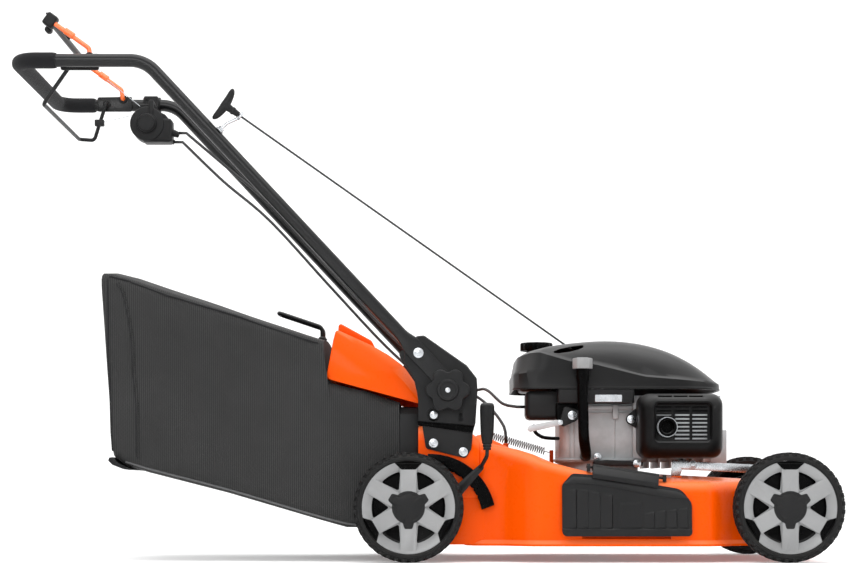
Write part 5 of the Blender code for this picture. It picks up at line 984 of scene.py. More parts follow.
def cap_template():
    """Dark hub cap: a disc with three soft lobes, a raised shield and a plain boss."""
    outline = []
    for i in range(144):
        angle = 2 * math.pi * i / 144
        off = min(abs((math.degrees(angle) - middle + 180) % 360 - 180) for middle in (30, 150, 270))
        lobe = 1 - ease((off - 8.0) / 13.0)
        radius = 0.0318 + (0.0412 / max(0.9, math.cos(math.radians(min(off, 11)))) - 0.0318) * lobe
        outline.append((radius * math.cos(angle), radius * math.sin(angle)))
    steps = ((1.0, 0.2738), (1.0, 0.2782), (0.975, 0.2798), (0.93, 0.2806), (0.86, 0.2808), (0.80, 0.2802),
             (0.76, 0.2806), (0.60, 0.2824), (0.35, 0.2832), (0.15, 0.2834))
    return loft("cap_template", [[(share * x, height, share * z) for x, z in outline] for share, height in steps])


print("spokes", len(SPOKE_TURNS), "claws", len(CLAW_TURNS))


# %% Four wheels from the four templates
def place_wheel(template, name, word, x, side, finish, stands_for):
    mesh = template.data.copy()
    if side < 0:
        mesh.transform(Matrix.Scale(-1, 4, (0, 1, 0)))
        mesh.flip_normals()
    mesh.transform(Matrix.Translation((x, 0, WHEEL_RADIUS)))
    return dress(linked(name, mesh), finish, word + "_wheel", stands_for, sharp=32)


wheel_templates = [tyre_template(), trim_template(), body_template(), cap_template()]
WHEEL_PIECES = (("tyre_piece_", "tyre", "tyre_rubber", "tyre_"), ("trim_", "grey_plastic", "grey_plastic", "rim_"),
                ("wheel_body_", "deep_plastic", "black_plastic", "rim_"),
                ("cap_", "plastic", "black_plastic", "hub_cap_"))
for end_word, wheel_x in zip(("rear", "front"), WHEEL_X):
    for side_word, wheel_side in SIDES:
        word = end_word + "_" + side_word
        for template, (stem, finish, slot, node) in zip(wheel_templates, WHEEL_PIECES):
            place_wheel(template, stem + word, word, wheel_x, wheel_side, finish, [node + word])
for template in wheel_templates:
    bpy.data.objects.remove(template, do_unlink=True)
print("wheels at", WHEEL_X)

# %% [markdown]
# ## Deck
# The deck is one pressed steel shell: a skirt with a rolled lip, a rounded shoulder and a top that
# dips to the engine's seat, with a tunnel over the rear axle for the clippings. It is skinned over
# rings of its own outline, inside and outside, and the openings are cut afterwards. Extra rings
# between the shoulder and the seat let the top fall in a smooth sweep.

# %% Deck measures
DECK_BOTTOM, DECK_WALL, DECK_LIP, DECK_SHOULDER = 0.031, 0.0025, 0.007, 0.026
DECK_REAR_X, DECK_FRONT_X = 0.085, 0.755
DECK_REAR_TOP, DECK_FRONT_TOP, DECK_LEVEL_X = 0.246, 0.155, 0.46
ENGINE_X, ENGINE_SEAT, ENGINE_SEAT_RADIUS = 0.350, 0.172, 0.090
TUNNEL_REAR_X, TUNNEL_HALF, TUNNEL_FLOOR, TUNNEL_TOP = -0.012, 0.215, 0.125, 0.262
REAR_PIVOT = (PIVOT_X, PIVOT_Z)
FRONT_PIVOT = (PIVOT_X + WHEELBASE, PIVOT_Z)
deck_half = [(DECK_REAR_X, 0.212), (0.150, 0.212), (0.205, 0.262), (0.545, 0.262), (0.600, 0.205),
             (DECK_FRONT_X, 0.205)]
deck_radii = [0.040, 0.050, 0.050, 0.050, 0.050, 0.055]
DECK_OUTLINE = divided(rounded([(x, -y) for x, y in deck_half] + deck_half[::-1], deck_radii + deck_radii[::-1], 7),
                       0.030)


def deck_top(x):
    """Height of the deck's edge: high at the chute, level past the engine."""
    share = min(max((x - DECK_REAR_X) / (DECK_LEVEL_X - DECK_REAR_X), 0.0), 1.0)
    return DECK_FRONT_TOP + (DECK_REAR_TOP - DECK_FRONT_TOP) * (1 - share) ** 1.7


def pan(name, outline, drop, bottom, lip):
    """The domed body as a solid. drop lowers its top by the wall for the inside."""
    levels = [(-lip, 0), (-lip, 0.004), (-lip * 0.35, 0.0085)] if lip else []
    rings = [[(x, y, bottom + rise) for x, y in inset(outline, inward)] for inward, rise in levels]
    rings.append([(x, y, bottom + 0.0115 if lip else bottom) for x, y in outline])
    for angle in (0, 18, 36, 54, 72, 90):
        turn = math.radians(angle)
        level = inset(outline, DECK_SHOULDER * (1 - math.cos(turn)))
        fall = DECK_SHOULDER * (1 - math.sin(turn)) + drop
        rings.append([(x, y, deck_top(edge_x) - fall) for (x, y), (edge_x, _) in zip(level, outline)])
    edge, seat = rings[-1], []
    for x, y in outline:
        angle = math.atan2(y, x - ENGINE_X)
        seat.append((ENGINE_X + ENGINE_SEAT_RADIUS * math.cos(angle), ENGINE_SEAT_RADIUS * math.sin(angle),
                     ENGINE_SEAT - drop))
    for share in (0.2, 0.45, 0.7, 0.88):
        rings.append([tuple(Vector(a).lerp(Vector(b), share)) for a, b in zip(edge, seat)])
    return loft(name, rings + [seat])


def tunnel(name, shrink, rear_x):
    """The chute's roof and cheeks over the axle, running forward into the pan."""
    rings = []
    for x, top in ((rear_x, TUNNEL_TOP), (0.05, TUNNEL_TOP), (0.080, TUNNEL_TOP - 0.0055),
                   (0.105, DECK_REAR_TOP - 0.008)):
        half = TUNNEL_HALF - shrink
        floor = TUNNEL_FLOOR - DECK_WALL + shrink
        corners = [(-half, floor), (half, floor), (half, top - shrink), (-half, top - shrink)]
        rings.append([(x, y, z) for y, z in rounded(corners, [0, 0, 0.03 - shrink, 0.03 - shrink], 8)])
    return loft(name, rings)


print("deck outline", len(DECK_OUTLINE), "points, edge", deck_top(DECK_REAR_X), "to", deck_top(DECK_FRONT_X))


# %% Make the deck
def make_deck():
    deck = pan("deck_shell", DECK_OUTLINE, 0, DECK_BOTTOM, DECK_LIP)
    join(deck, tunnel("tunnel_body", 0, TUNNEL_REAR_X))
    cut(deck, pan("deck_inside", inset(DECK_OUTLINE, DECK_WALL), DECK_WALL, DECK_BOTTOM - 0.02, 0))
    cut(deck, tunnel("tunnel_inside", DECK_WALL, TUNNEL_REAR_X + DECK_WALL))
    cut(deck, box("mouth", (TUNNEL_REAR_X - 0.02, -0.165, TUNNEL_FLOOR + 0.003), (0.02, 0.165, 0.238)))
    cut(deck, box("outlet", (0.300, -0.300, 0.045), (0.470, -0.240, 0.125)))
    cut(deck, rod("crank_hole", (ENGINE_X, 0, ENGINE_SEAT - 0.03), (ENGINE_X, 0, ENGINE_SEAT + 0.03), 0.022))
    cut(deck, box("belt_slot", (DECK_REAR_X - 0.012, -0.040, 0.100), (DECK_REAR_X + 0.012, 0.040, 0.1215)))
    cut(deck, box("link_slot", (DECK_REAR_X - 0.012, 0.131, 0.088), (DECK_REAR_X + 0.025, 0.149, 0.108)))
    cut(deck, rod("crank_hole", (FRONT_PIVOT[0], -0.3, PIVOT_Z), (FRONT_PIVOT[0], 0.3, PIVOT_Z), 0.0083))
    soften(deck, 0.0009, 2, 38)
    return dress(deck, "enamel", "chassis", ["deck"], sharp=42)


def deck_ironwork():
    """Hangers of the drive shaft, pads, spring posts, the cable's gland and heels, painted with the deck."""
    foot = TUNNEL_FLOOR - 0.006
    hanger = round_hull((*REAR_PIVOT, 0.0165), (REAR_PIVOT[0] - 0.012, foot, 0.005),
                        (REAR_PIVOT[0] + 0.020, foot, 0.005))
    pieces = []
    for y in (-0.2065, 0.2065):
        pieces.append(plate("hanger", [hanger, circle(REAR_PIVOT, 0.0118)], y - 0.0025, y + 0.0025))
    for x in (0.484, 0.640):
        pieces.append(cushion_box("pad", (x, -0.140, DECK_FRONT_TOP - 0.006), (x + 0.020, -0.120, 0.166), 0.002, 2))
    for x, top, low in ((0.1223, 0.2565, 0.230), (0.2560, 0.2200, 0.174)):
        pieces.append(cushion_box("post", (x, 0.056, low), (x + 0.008, 0.064, top), 0.0012, 2))
    pieces.append(rod("gland", (*GLAND, 0.2065), (*GLAND, 0.2322), 0.0055, 24))
    for low, high in ((-0.2119, -0.2097), (0.2097, 0.2119)):
        pieces.append(plate("heel", [rounded_box(0.0300, 0.1265, 0.0330, 0.1260, 0.004, 4)], low, high))
    iron = joined("deck_ironwork", pieces)
    return dress(soften(iron, 0.0006, 2, 35), "enamel", "chassis", ["deck"])


make_deck()
deck_ironwork()
print("deck ready")

# %% [markdown]
# ## Engine
# The engine is the part of the mower with most contrast: a smooth dark moulded shroud over a pale
# sand-cast block, with a black pressed guard over the muffler. The shroud is skinned level by level
# from its rim up to its ridge, so that its soft crease can fall towards the front as on the real
# moulding. Most castings come straight from the CAD model with their edges rounded.

# %% Shroud measures and shape
SHROUD_REAR_X, SHROUD_FRONT_X, SHROUD_HALF = 0.174, 0.590, 0.150
SHROUD_BOTTOM, SHROUD_PEAK, SHROUD_STEP = 0.336, 0.4365, 0.3745
SHROUD_WALL = 0.0025
FUEL_NECK, OIL_NECK = (0.229, 0.060), (0.307, -0.173)
CREASE_LINE = [(0.174, 0.4080), (0.2227, 0.4080), (0.290, 0.3885), (0.3313, 0.3846), (0.431, 0.3601), (0.566, 0.3494),
               (0.590, 0.3480)]
DOME_RINGS = [(0.0012, 0.0), (0.0018, 0.012), (0.0040, 0.12), (0.0075, 0.30), (0.0130, 0.50), (0.0205, 0.67),
              (0.0300, 0.80), (0.0430, 0.89), (0.0600, 0.95), (0.0830, 0.985), (0.1050, 1.0), (0.1250, 1.0)]


def shroud_top(x):
    """Height of the ridge: highest over the flywheel, low at the front."""
    peak = 0.36
    if x > peak:
        return SHROUD_PEAK - 0.0895 * ((x - peak) / 0.237) ** 2.2
    return SHROUD_PEAK - 0.030 * ((peak - x) / (peak - SHROUD_REAR_X)) ** 1.8


def crease_at(x):
    """Height of the ledge that runs round the shroud, falling to the front."""
    line = float(np.interp(x, *zip(*CREASE_LINE)))
    return max(min(line, shroud_top(x) - 0.006), SHROUD_BOTTOM + 0.006)


def shroud_rings(shrink, bottom):
    """Rim and lip, an upright band with a step at its rear, the ledge of the crease, then the dome."""
    middle, half = (SHROUD_REAR_X + SHROUD_FRONT_X) / 2, (SHROUD_FRONT_X - SHROUD_REAR_X) / 2
    corners = [(SHROUD_REAR_X, -SHROUD_HALF), (SHROUD_FRONT_X, -SHROUD_HALF), (SHROUD_FRONT_X, SHROUD_HALF),
               (SHROUD_REAR_X, SHROUD_HALF)]
    outline = divided(rounded(corners, [0.050, 0.100, 0.100, 0.050], 12), 0.014)
    rings = []

    def level(distance, share, height=None):
        ring = []
        for edge_x, edge_y in outline:
            crease = crease_at(edge_x)
            ledge = 0.0062 * (1 - ease((edge_x - 0.50) / 0.09)) if share > 0 else 0.0
            rear = (0.0160 if height is None else 0.0060 * height) * ease((0.240 - edge_x) / 0.045)
            inward = distance + ledge + rear + shrink
            squeeze = 0.55 if edge_x < middle else 1.0
            x = middle + (edge_x - middle) * (1 - inward * squeeze / half)
            y = edge_y * (1 - inward / SHROUD_HALF)
            if height is not None:
                z = min(SHROUD_STEP + (height - 0.5) * 0.004,
                        SHROUD_BOTTOM + (0.45 + 0.1 * height) * (crease - SHROUD_BOTTOM))
            else:
                lift = 0.0036 * (1 - share) * min(1.0, (shroud_top(x) - crease) / 0.03) if share > 0 else 0.0
                z = crease + (shroud_top(x) - crease) * share + lift
            ring.append((x, y, z - shrink))
        return ring

    rings.append([(x, y, bottom) for x, y in inset(outline, shrink)])
    if not shrink:
        rings.append([(x, y, bottom + 0.003) for x, y in outline])
        rings.append([(x, y, bottom + 0.0045) for x, y in inset(outline, 0.0010)])
    rings += [level(0.0010, 0.0, 0.0), level(0.0010, 0.0, 1.0)]
    rings += [level(distance, share) for distance, share in DOME_RINGS]
    rings.append([(x, 0.0, z) for x, y, z in rings[-1]])
    return rings


print("shroud ridge %.4f at the front" % shroud_top(SHROUD_FRONT_X))


# %% Make the shroud
def make_shroud():
    shroud = welded(loft("shroud_outside", shroud_rings(0, SHROUD_BOTTOM), cap_last=False), 0.00001)
    hollow = welded(loft("shroud_hollow", shroud_rings(SHROUD_WALL, SHROUD_BOTTOM - 0.01), cap_last=False), 0.00001)
    cut(shroud, hollow)
    cut(shroud, rod("neck", (*FUEL_NECK, 0.38), (*FUEL_NECK, 0.46), 0.0203, 48))
    slot_line = [ROPE_END - ROPE_ALONG * 0.026 + Vector((0.006, 0, 0.004)), ROPE_END + ROPE_ALONG * 0.030]
    cut(shroud, sweep("rope_slot", slot_line, 0.0085, 24))
    lens = [(0.2469, 0.4076), (0.2660, 0.4158), (0.2900, 0.4212), (0.3120, 0.4240), (0.3135, 0.4195), (0.3020, 0.4140),
            (0.2863, 0.4098), (0.2627, 0.4062)]
    cut(shroud, plate("rope_mouth", [rounded(lens, [0.002, 0.02, 0.02, 0.003, 0.003, 0.01, 0.02, 0.01], 4)], -0.160,
                      -0.045))
    soften(shroud, 0.0008, 2, 40)
    return dress(shroud, "satin_plastic", "chassis", ["engine_shroud"], sharp=50)


make_shroud()
print("shroud ready")


# %% Ribbed cap shape
def ribbed_cap(name, centre, radius, low, high, ribs, body, stands_for, finish, depth):
    """A turned cap whose rim is fluted by a cosine, with a domed top and a raised bar across."""
    x, y = centre
    steps = ribs * 6
    roof = low + (high - low) * 0.45
    profile = [(0.0, roof), (radius * 0.82, roof), (radius * 0.82, low), (radius * 0.98, low), (radius, low + 0.002),
               (radius, high - 0.0045), (radius * 0.985, high - 0.0030), (radius * 0.93, high - 0.0018),
               (radius * 0.80, high - 0.0012), (radius * 0.62, high - 0.0012), (radius * 0.58, high - 0.0022),
               (0.0, high - 0.0022)]
    rings = []
    for r, h in profile:
        ring = []
        for i in range(steps):
            angle = 2 * math.pi * i / steps
            flute = depth * (0.5 + 0.5 * math.cos(ribs * angle)) if r > radius * 0.96 else 0.0
            ring.append((x + (r - flute) * math.cos(angle), y + (r - flute) * math.sin(angle), h))
        rings.append(ring)
    cap = welded(loft(name, rings, cap_first=False, cap_last=False), 0.00001)
    bar = cushion_box("bar", (x - radius * 0.55, y - 0.0035, high - 0.004), (x + radius * 0.55, y + 0.0035, high),
                      0.0012, 2)
    return dress(joined(name, [cap, bar]), finish, body, stands_for, sharp=30)


ribbed_cap("fuel_cap_piece", FUEL_NECK, 0.034, 0.4235, 0.4420, 12, "fuel_cap", ["fuel_cap"], "deep_plastic",
           0.0024)
ribbed_cap("oil_cap_piece", OIL_NECK, 0.020, 0.374, 0.396, 10, "oil_cap", ["oil_cap"], "grey_plastic",
           0.0008)
print("two caps ready")


# %% Castings and mouldings that keep the CAD model's shape
ENGINE_PARTS = [
    ("cylinder_head", "casting", "cast_aluminium", 0.0010),
    ("fuel_tank", "plastic", "black_plastic", 0.0012), ("air_cleaner", "plastic", "black_plastic", 0.0),
    ("muffler", "casting", "zinc_steel", 0.0006), ("belt", "belt_rubber", "black_plastic", 0.0005),
    ("gearbox", "casting", "black_plastic", 0.0010), ("flap_hinge", "powder", "dark_steel", 0.0003),
    ("front_brace", "zinc", "zinc_steel", 0.0004),
]
for node, finish, slot, width in ENGINE_PARTS:
    refined(node, node + "_piece", finish, "chassis", width)
for node, finish, body, slot, width in (
        ("crankshaft", "zinc", "crankshaft", "zinc_steel", 0.0006),
        ("drive_pulley", "powder", "crankshaft", "black_plastic", 0.0004),
        ("blade", "bare_blade", "crankshaft", "dark_steel", 0.0005),
        ("driven_pulley", "powder", "driven_pulley", "black_plastic", 0.0004),
        ("drive_shaft", "zinc", "drive_shaft", "zinc_steel", 0.0005)):
    refined(node, node + "_piece", finish, body, width)
print("castings ready")


# %% Crankcase and the dark base of the shroud
def grown(amount):
    """The crankcase's outline seen from above, grown by this much."""
    half = 0.0885 + amount
    return rounded_box(0.2680 - amount, 0.4320 + min(amount, 0.0010), -half, half, 0.022 + amount)


def make_crankcase():
    """A sand-cast box with a joint flange near its top, a boss on the flange and a line where the mould parted."""
    pieces = [soften(plate("case", [grown(0)], 0.1930, 0.3110, "Z"), 0.0020, 3),
              rod("spigot", (ENGINE_X, 0, 0.1726), (ENGINE_X, 0, 0.1960), 0.0815, 64)]
    for reach, low, high in ((0.0065, 0.2975, 0.3055), (0.0030, 0.2890, 0.2925), (0.0045, 0.1960, 0.2010)):
        pieces.append(soften(plate("flange", [grown(reach)], low, high, "Z"), 0.0014, 2))
    for x_low, x_high, y, z_low, z_high in ((0.3725, 0.3835, -0.0985, 0.2790, 0.3070),
                                            (0.3765, 0.3790, -0.0902, 0.2000, 0.2960),
                                            (0.2860, 0.2885, -0.0912, 0.2000, 0.2890),
                                            (0.2960, 0.2980, -0.0906, 0.2000, 0.2890)):
        pieces.append(cushion_box("rib", (x_low, y, z_low), (x_high, -0.0860, z_high), 0.0011, 3))
    return dress(joined("engine_block_piece", pieces), "casting", "chassis", ["engine_block"],
                 sharp=40)


def make_shroud_base():
    """Dark moulded plate between crankcase and shroud, with a bare maker's card on its right edge."""
    outline = rounded_box(0.2600, 0.4105, -0.1494, 0.1494, 0.006, 6)
    base = soften(plate("shroud_base", [outline], 0.3085, 0.3357, "Z"), 0.0016, 3)
    dress(base, "plastic", "chassis", ["engine_block"])
    card = plate("name_plate", [rounded_box(0.3332, 0.3860, 0.3105, 0.3245, 0.0015, 4)], -0.1500, -0.1490)
    dress(soften(card, 0.0003, 1), "zinc", "chassis")


make_crankcase()
make_shroud_base()
print("crankcase and base ready")

# %% [markdown]
# ## Bolts, stitches and slots by rule
# Small things that repeat are set out by Geometry Nodes. Bolt heads stand on a list of points, each
# with a washer flange and a hexagon. Stitches follow a line at an even pitch. Slots are a grid of
# small blocks, used as cutters. Each tree ends as plain mesh, so the export keeps it.

# %% Geometry Nodes trees for bolts, stitches and slots
def bolt_tree():
    """A washer flange and a hexagon, whose corners a narrower round top breaks."""
    tree, start, end = tree_sockets("bolt_heads", (
        ("Flange Radius", "Float", 0.007), ("Flange Height", "Float", 0.0016), ("Head Radius", "Float", 0.005),
        ("Head Height", "Float", 0.004), ("Turn", "Vector", None), ("Finish", "Material", None)))
    given = start.outputs
    parts = []
    for word, sides, narrow, lift in (("Flange", 28, None, 0.5), ("Head", 6, None, 0.5), ("Head", 24, 0.80, 0.56)):
        depth, size = given[word + " Height"], given[word + " Radius"]
        cylinder = add(tree, "GeometryNodeMeshCylinder", {
            "Vertices": sides, "Depth": depth, "Radius": times(tree, size, narrow) if narrow else size})
        up = combined(tree, Z=times(tree, depth, lift))
        parts.append(add(tree, "GeometryNodeTransform", {"Geometry": cylinder.outputs["Mesh"], "Translation": up}))
    one = add(tree, "GeometryNodeJoinGeometry")
    for part in parts:
        tree.links.new(part.outputs[0], one.inputs[0])
    return ended(tree, start, end, placed(tree, given["Geometry"], one.outputs[0], given["Turn"]))


def stitch_tree():
    """Short threads at an even pitch along a line."""
    tree, start, end = tree_sockets("stitch_line", (
        ("Pitch", "Float", 0.005), ("Thread Radius", "Float", 0.0006), ("Stitch Length", "Float", 0.0034),
        ("Finish", "Material", None)))
    given = start.outputs
    line = add(tree, "GeometryNodeMeshToCurve", {"Mesh": given["Geometry"]})
    steps = add(tree, "GeometryNodeResampleCurve", {"Curve": line.outputs[0], "Length": given["Pitch"]}, mode="LENGTH")
    thread = add(tree, "GeometryNodeMeshCylinder", {
        "Vertices": 6, "Radius": given["Thread Radius"], "Depth": given["Stitch Length"]})
    tangent = add(tree, "GeometryNodeInputTangent").outputs[0]
    along = add(tree, "FunctionNodeAlignRotationToVector", {"Vector": tangent}, axis="Z")
    return ended(tree, start, end, placed(tree, steps.outputs[0], thread.outputs["Mesh"], along.outputs[0]))


def slot_tree():
    """A standing grid of small blocks."""
    tree, start, end = tree_sockets("slot_grid", (
        ("Columns", "Int", 2), ("Rows", "Int", 6), ("Pitch X", "Float", 0.03), ("Pitch Z", "Float", 0.0076),
        ("Block Size", "Vector", None), ("Finish", "Material", None)))
    given = start.outputs
    grid = add(tree, "GeometryNodeMeshGrid")
    for count, pitch, size, vertices in (("Columns", "Pitch X", "Size X", "Vertices X"),
                                         ("Rows", "Pitch Z", "Size Y", "Vertices Y")):
        length = times(tree, maths(tree, "SUBTRACT", given[count], 1.0), given[pitch])
        feed(tree, grid, {vertices: given[count], size: length})
    stand = add(tree, "GeometryNodeTransform", {"Rotation": (math.pi / 2, 0, 0), "Geometry": grid.outputs["Mesh"]})
    block = add(tree, "GeometryNodeMeshCube", {"Size": given["Block Size"]})
    return ended(tree, start, end, placed(tree, stand.outputs[0], block.outputs[0]))


BOLTS, STITCHES, SLOTS = bolt_tree(), stitch_tree(), slot_tree()
FACING = {"right": (math.pi / 2, 0, 0), "left": (-math.pi / 2, 0, 0)}


def bolts(name, points, body, facing="right", flange=0.0075, head=0.0050, height=0.0036, finish="zinc",
          slot="zinc_steel"):
    """Flanged bolt heads on a list of places, all facing one way."""
    made = on_points(name, BOLTS, points, {"Flange Radius": flange, "Flange Height": 0.0018, "Head Radius": head,
                                           "Head Height": height, "Turn": FACING[facing], "Finish": FINISH[finish]})
    return dress(bevelled(made, 0.0004, 2), finish, body)


def slot_cutter(columns, rows, pitch_x, pitch_z, size, place):
    """Blocks that cut a grid of slots."""
    made = on_points("slots", SLOTS, [(0, 0, 0)], {
        "Columns": columns, "Rows": rows, "Pitch X": pitch_x, "Pitch Z": pitch_z, "Block Size": size,
        "Finish": FINISH["plastic"]})
    made.data.transform(Matrix.Translation(place))
    return made


def stitched(name, route):
    """A line of stitches on the bag."""
    line = [(i, i + 1) for i in range(len(route) - 1)]
    made = on_points(name, STITCHES, route, {"Pitch": 0.0052, "Thread Radius": 0.0007, "Stitch Length": 0.0036,
                                             "Finish": FINISH["webbing"]}, line)
    return dress(made, "webbing", "bag")


print("trees:", [tree.name for tree in (BOLTS, STITCHES, SLOTS)])

# %% [markdown]
# ## Handle
# The handle is one steel tube bent four times, with its two lower ends pressed flat where they are
# bolted to the brackets. It is swept along its route with a round section, then the vertices of the
# last stretch are squeezed, which keeps the tube's own highlights running into the flat.

# %% Handlebar measures
CROSSBAR_X = -(WHEEL_X[1] + WHEEL_RADIUS) + 0.0155
GRIP_END_X, GRIP_RADIUS = -0.706, 0.0155
FLAT_LENGTH, FLAT_THICKNESS = 0.144, 0.008
# From the deck's tunnel outwards come a bracket, its cover and the tube's flat, each with a gap.
BRACKET_THICKNESS, COVER_DEPTH = 0.004, 0.012
FLAT_MIDDLE_Y = TUNNEL_HALF + 3 * CLEAR + BRACKET_THICKNESS + COVER_DEPTH + FLAT_THICKNESS / 2
UP_TUBE = Vector((-math.cos(HANDLE_RAKE), 0, math.sin(HANDLE_RAKE)))
OFF_TUBE = Vector((math.sin(HANDLE_RAKE), 0, math.cos(HANDLE_RAKE)))
LOW_END = Vector((LOCK[0], 0, LOCK[1])) - UP_TUBE * 0.1088
climb = (HANDLE_HEIGHT - LOCK[1]) / math.sin(HANDLE_RAKE)
TOP_CORNER = Vector((LOCK[0], 0, LOCK[1])) + UP_TUBE * climb
CROSSBAR_ROUTE = [(GRIP_END_X, -TUBE_Y, HANDLE_HEIGHT), (CROSSBAR_X, -TUBE_Y, HANDLE_HEIGHT),
                  (CROSSBAR_X, TUBE_Y, HANDLE_HEIGHT), (GRIP_END_X, TUBE_Y, HANDLE_HEIGHT)]


def on_tube(x, side, off):
    """A point beside the straight rake of a tube: off is along its upward normal from its middle line."""
    return Vector((x, side * TUBE_Y, LOCK[1] + (LOCK[0] - x) * math.tan(HANDLE_RAKE))) + OFF_TUBE * off


print("handle foot", tuple(LOW_END), "climb", climb)


# %% Handlebar and foam
def make_handlebar():
    """The bent tube, its feet squeezed flat, and the two ears that carry the bails."""
    near = [tuple(LOW_END + UP_TUBE * d + Vector((0, -TUBE_Y, 0))) for d in np.linspace(0, FLAT_LENGTH + 0.03, 24)]
    near += bent([near[-1], (TOP_CORNER.x, -TUBE_Y, TOP_CORNER.z), (GRIP_END_X, -TUBE_Y, HANDLE_HEIGHT)], 0.065, 10)[1:]
    loop = bent([near[-1]] + CROSSBAR_ROUTE[1:], 0.045, 10)[1:-1]
    bar = sweep("handlebar_piece", near + loop + [(x, -y, z) for x, y, z in near[::-1]], TUBE_RADIUS, 28)
    for vertex in bar.data.vertices:
        here = vertex.co - Vector((LOW_END.x, vertex.co.y, LOW_END.z))
        distance = here.dot(UP_TUBE)
        if distance > FLAT_LENGTH + 0.020 or vertex.co.x < LOCK[0] - 0.2:
            continue
        share = ease((FLAT_LENGTH + 0.014 - distance) / 0.030)
        side = 1 if vertex.co.y > 0 else -1
        squeeze = 1 + (FLAT_THICKNESS / (2 * TUBE_RADIUS) - 1) * share
        moved = LOW_END + UP_TUBE * distance + (here - UP_TUBE * distance) * (1 + 0.42 * share)
        vertex.co = (moved.x,
                     side * (TUBE_Y + (FLAT_MIDDLE_Y - TUBE_Y) * share + (abs(vertex.co.y) - TUBE_Y) * squeeze),
                     moved.z)
    for side in (-1, 1):
        low = side * (TUBE_Y - TUBE_RADIUS)
        corners = [(-0.700, HANDLE_HEIGHT - 0.016), (-0.626, HANDLE_HEIGHT - 0.016), (-0.626, HANDLE_HEIGHT + 0.016),
                   (-0.700, HANDLE_HEIGHT + 0.0148)]
        high = low - side * EAR_THICKNESS
        ear = plate("ear", [rounded(corners, [0.004] * 4, 5)], min(low, high), max(low, high))
        bar = joined("handlebar_piece", [bar, soften(ear, 0.0006)])
    return dress(bar, "tube_coat", "handlebar", ["handlebar"], sharp=40)


def make_foam():
    """The sleeve follows the crossbar, with soft ends and a skin that wavers a little."""
    route = bent(CROSSBAR_ROUTE, 0.045, 12)
    even = [route[0]]
    for a, b in zip(route, route[1:]):
        steps = max(1, round((Vector(b) - Vector(a)).length / 0.004))
        even += [tuple(Vector(a).lerp(Vector(b), t)) for t in np.linspace(0, 1, steps + 1)[1:]]
    radii = []
    for i, point in enumerate(even):
        end = {0: 0.0011, 1: 0.0003}.get(min(i, len(even) - 1 - i), 0.0)
        radii.append(GRIP_RADIUS - 0.0001 - end + 0.00018 * noise.noise(Vector(point) * 60))
    foam = sweep("foam_grip_piece", even, GRIP_RADIUS, 32, radii=radii)
    return dress(foam, "foam", "handlebar", ["foam_grip"], sharp=60)


FINISH["tube_coat"] = hard_finish("tube_coat", (0.0060, 0.0061, 0.0065), 0.30, coat=0.06, grain=(1500.0, 0.00003),
                                  scratch=0.08, dust=0.02, pale=(0.08, 0.08, 0.085), specular=0.22)
make_handlebar()
make_foam()
for word, side in SIDES:
    bolts("lock_bolt_" + word, [(LOCK[0], side * (FLAT_MIDDLE_Y + 0.0036), LOCK[1])], "handlebar", word, 0.0098,
          0.0062, 0.0050)
print("handle corner", TOP_CORNER)

# %% [markdown]
# ## Bails and their wires
# Two control bails swing in the ears. The lower one stops the engine when it is let go, so it
# carries a thin wire to the speed control. The upper one engages the drive: orange rod at both
# ends, with a dark bar across and a moulded head. Rods are swept along their bent route.

# %% Bails
BAIL_Y = 0.2060
BAIL_END_Y = TUBE_Y - TUBE_RADIUS - CLEAR
BRAKE_PIVOT = (-0.680, 0.9615)
DRIVE_PIVOT = (-0.645, 0.972)
BRAKE_LOW = (BRAKE_PIVOT[0] - 0.055, BRAKE_PIVOT[1] - 0.079)
DRIVE_TOP = (DRIVE_PIVOT[0] - 0.077, DRIVE_PIVOT[1] + 0.072)


def bushing(name, place, radius):
    """A flanged collar in an ear's hole: a small turned ring."""
    x, y, z = place
    depth = 0.0028
    profile = [(0.0042, 0.0), (radius, 0.0), (radius, -depth * 0.5), (radius * 0.86, -depth), (0.0042, -depth)]
    ring = turned(name, [(r, abs(y) + h) for r, h in profile], (x, 0, z), "Y", 32, side=1 if y > 0 else -1)
    return dress(ring, "plastic", "handlebar")


def make_brake_bail():
    x, z = BRAKE_PIVOT
    low_x, low_z = BRAKE_LOW
    points = [(x, -BAIL_END_Y, z), (x, -BAIL_Y, z), (low_x, -BAIL_Y, low_z), (low_x, BAIL_Y - 0.014, low_z),
              (low_x + 0.030, BAIL_Y, low_z), (x - 0.017, BAIL_Y, low_z + 0.026), (x, BAIL_Y, z), (x, BAIL_END_Y, z)]
    bail = sweep("brake_bail_piece", bent(points, 0.010, 7), 0.0039, 16)
    clip = cushion_box("wire_clip", (x - 0.024, BAIL_Y - 0.006, low_z + 0.030),
                       (x - 0.004, BAIL_Y + 0.0055, low_z + 0.044), 0.002, 3)
    return dress(joined("brake_bail_piece", [bail, clip]), "powder", "brake_bail", ["brake_bail"],
                 sharp=45)


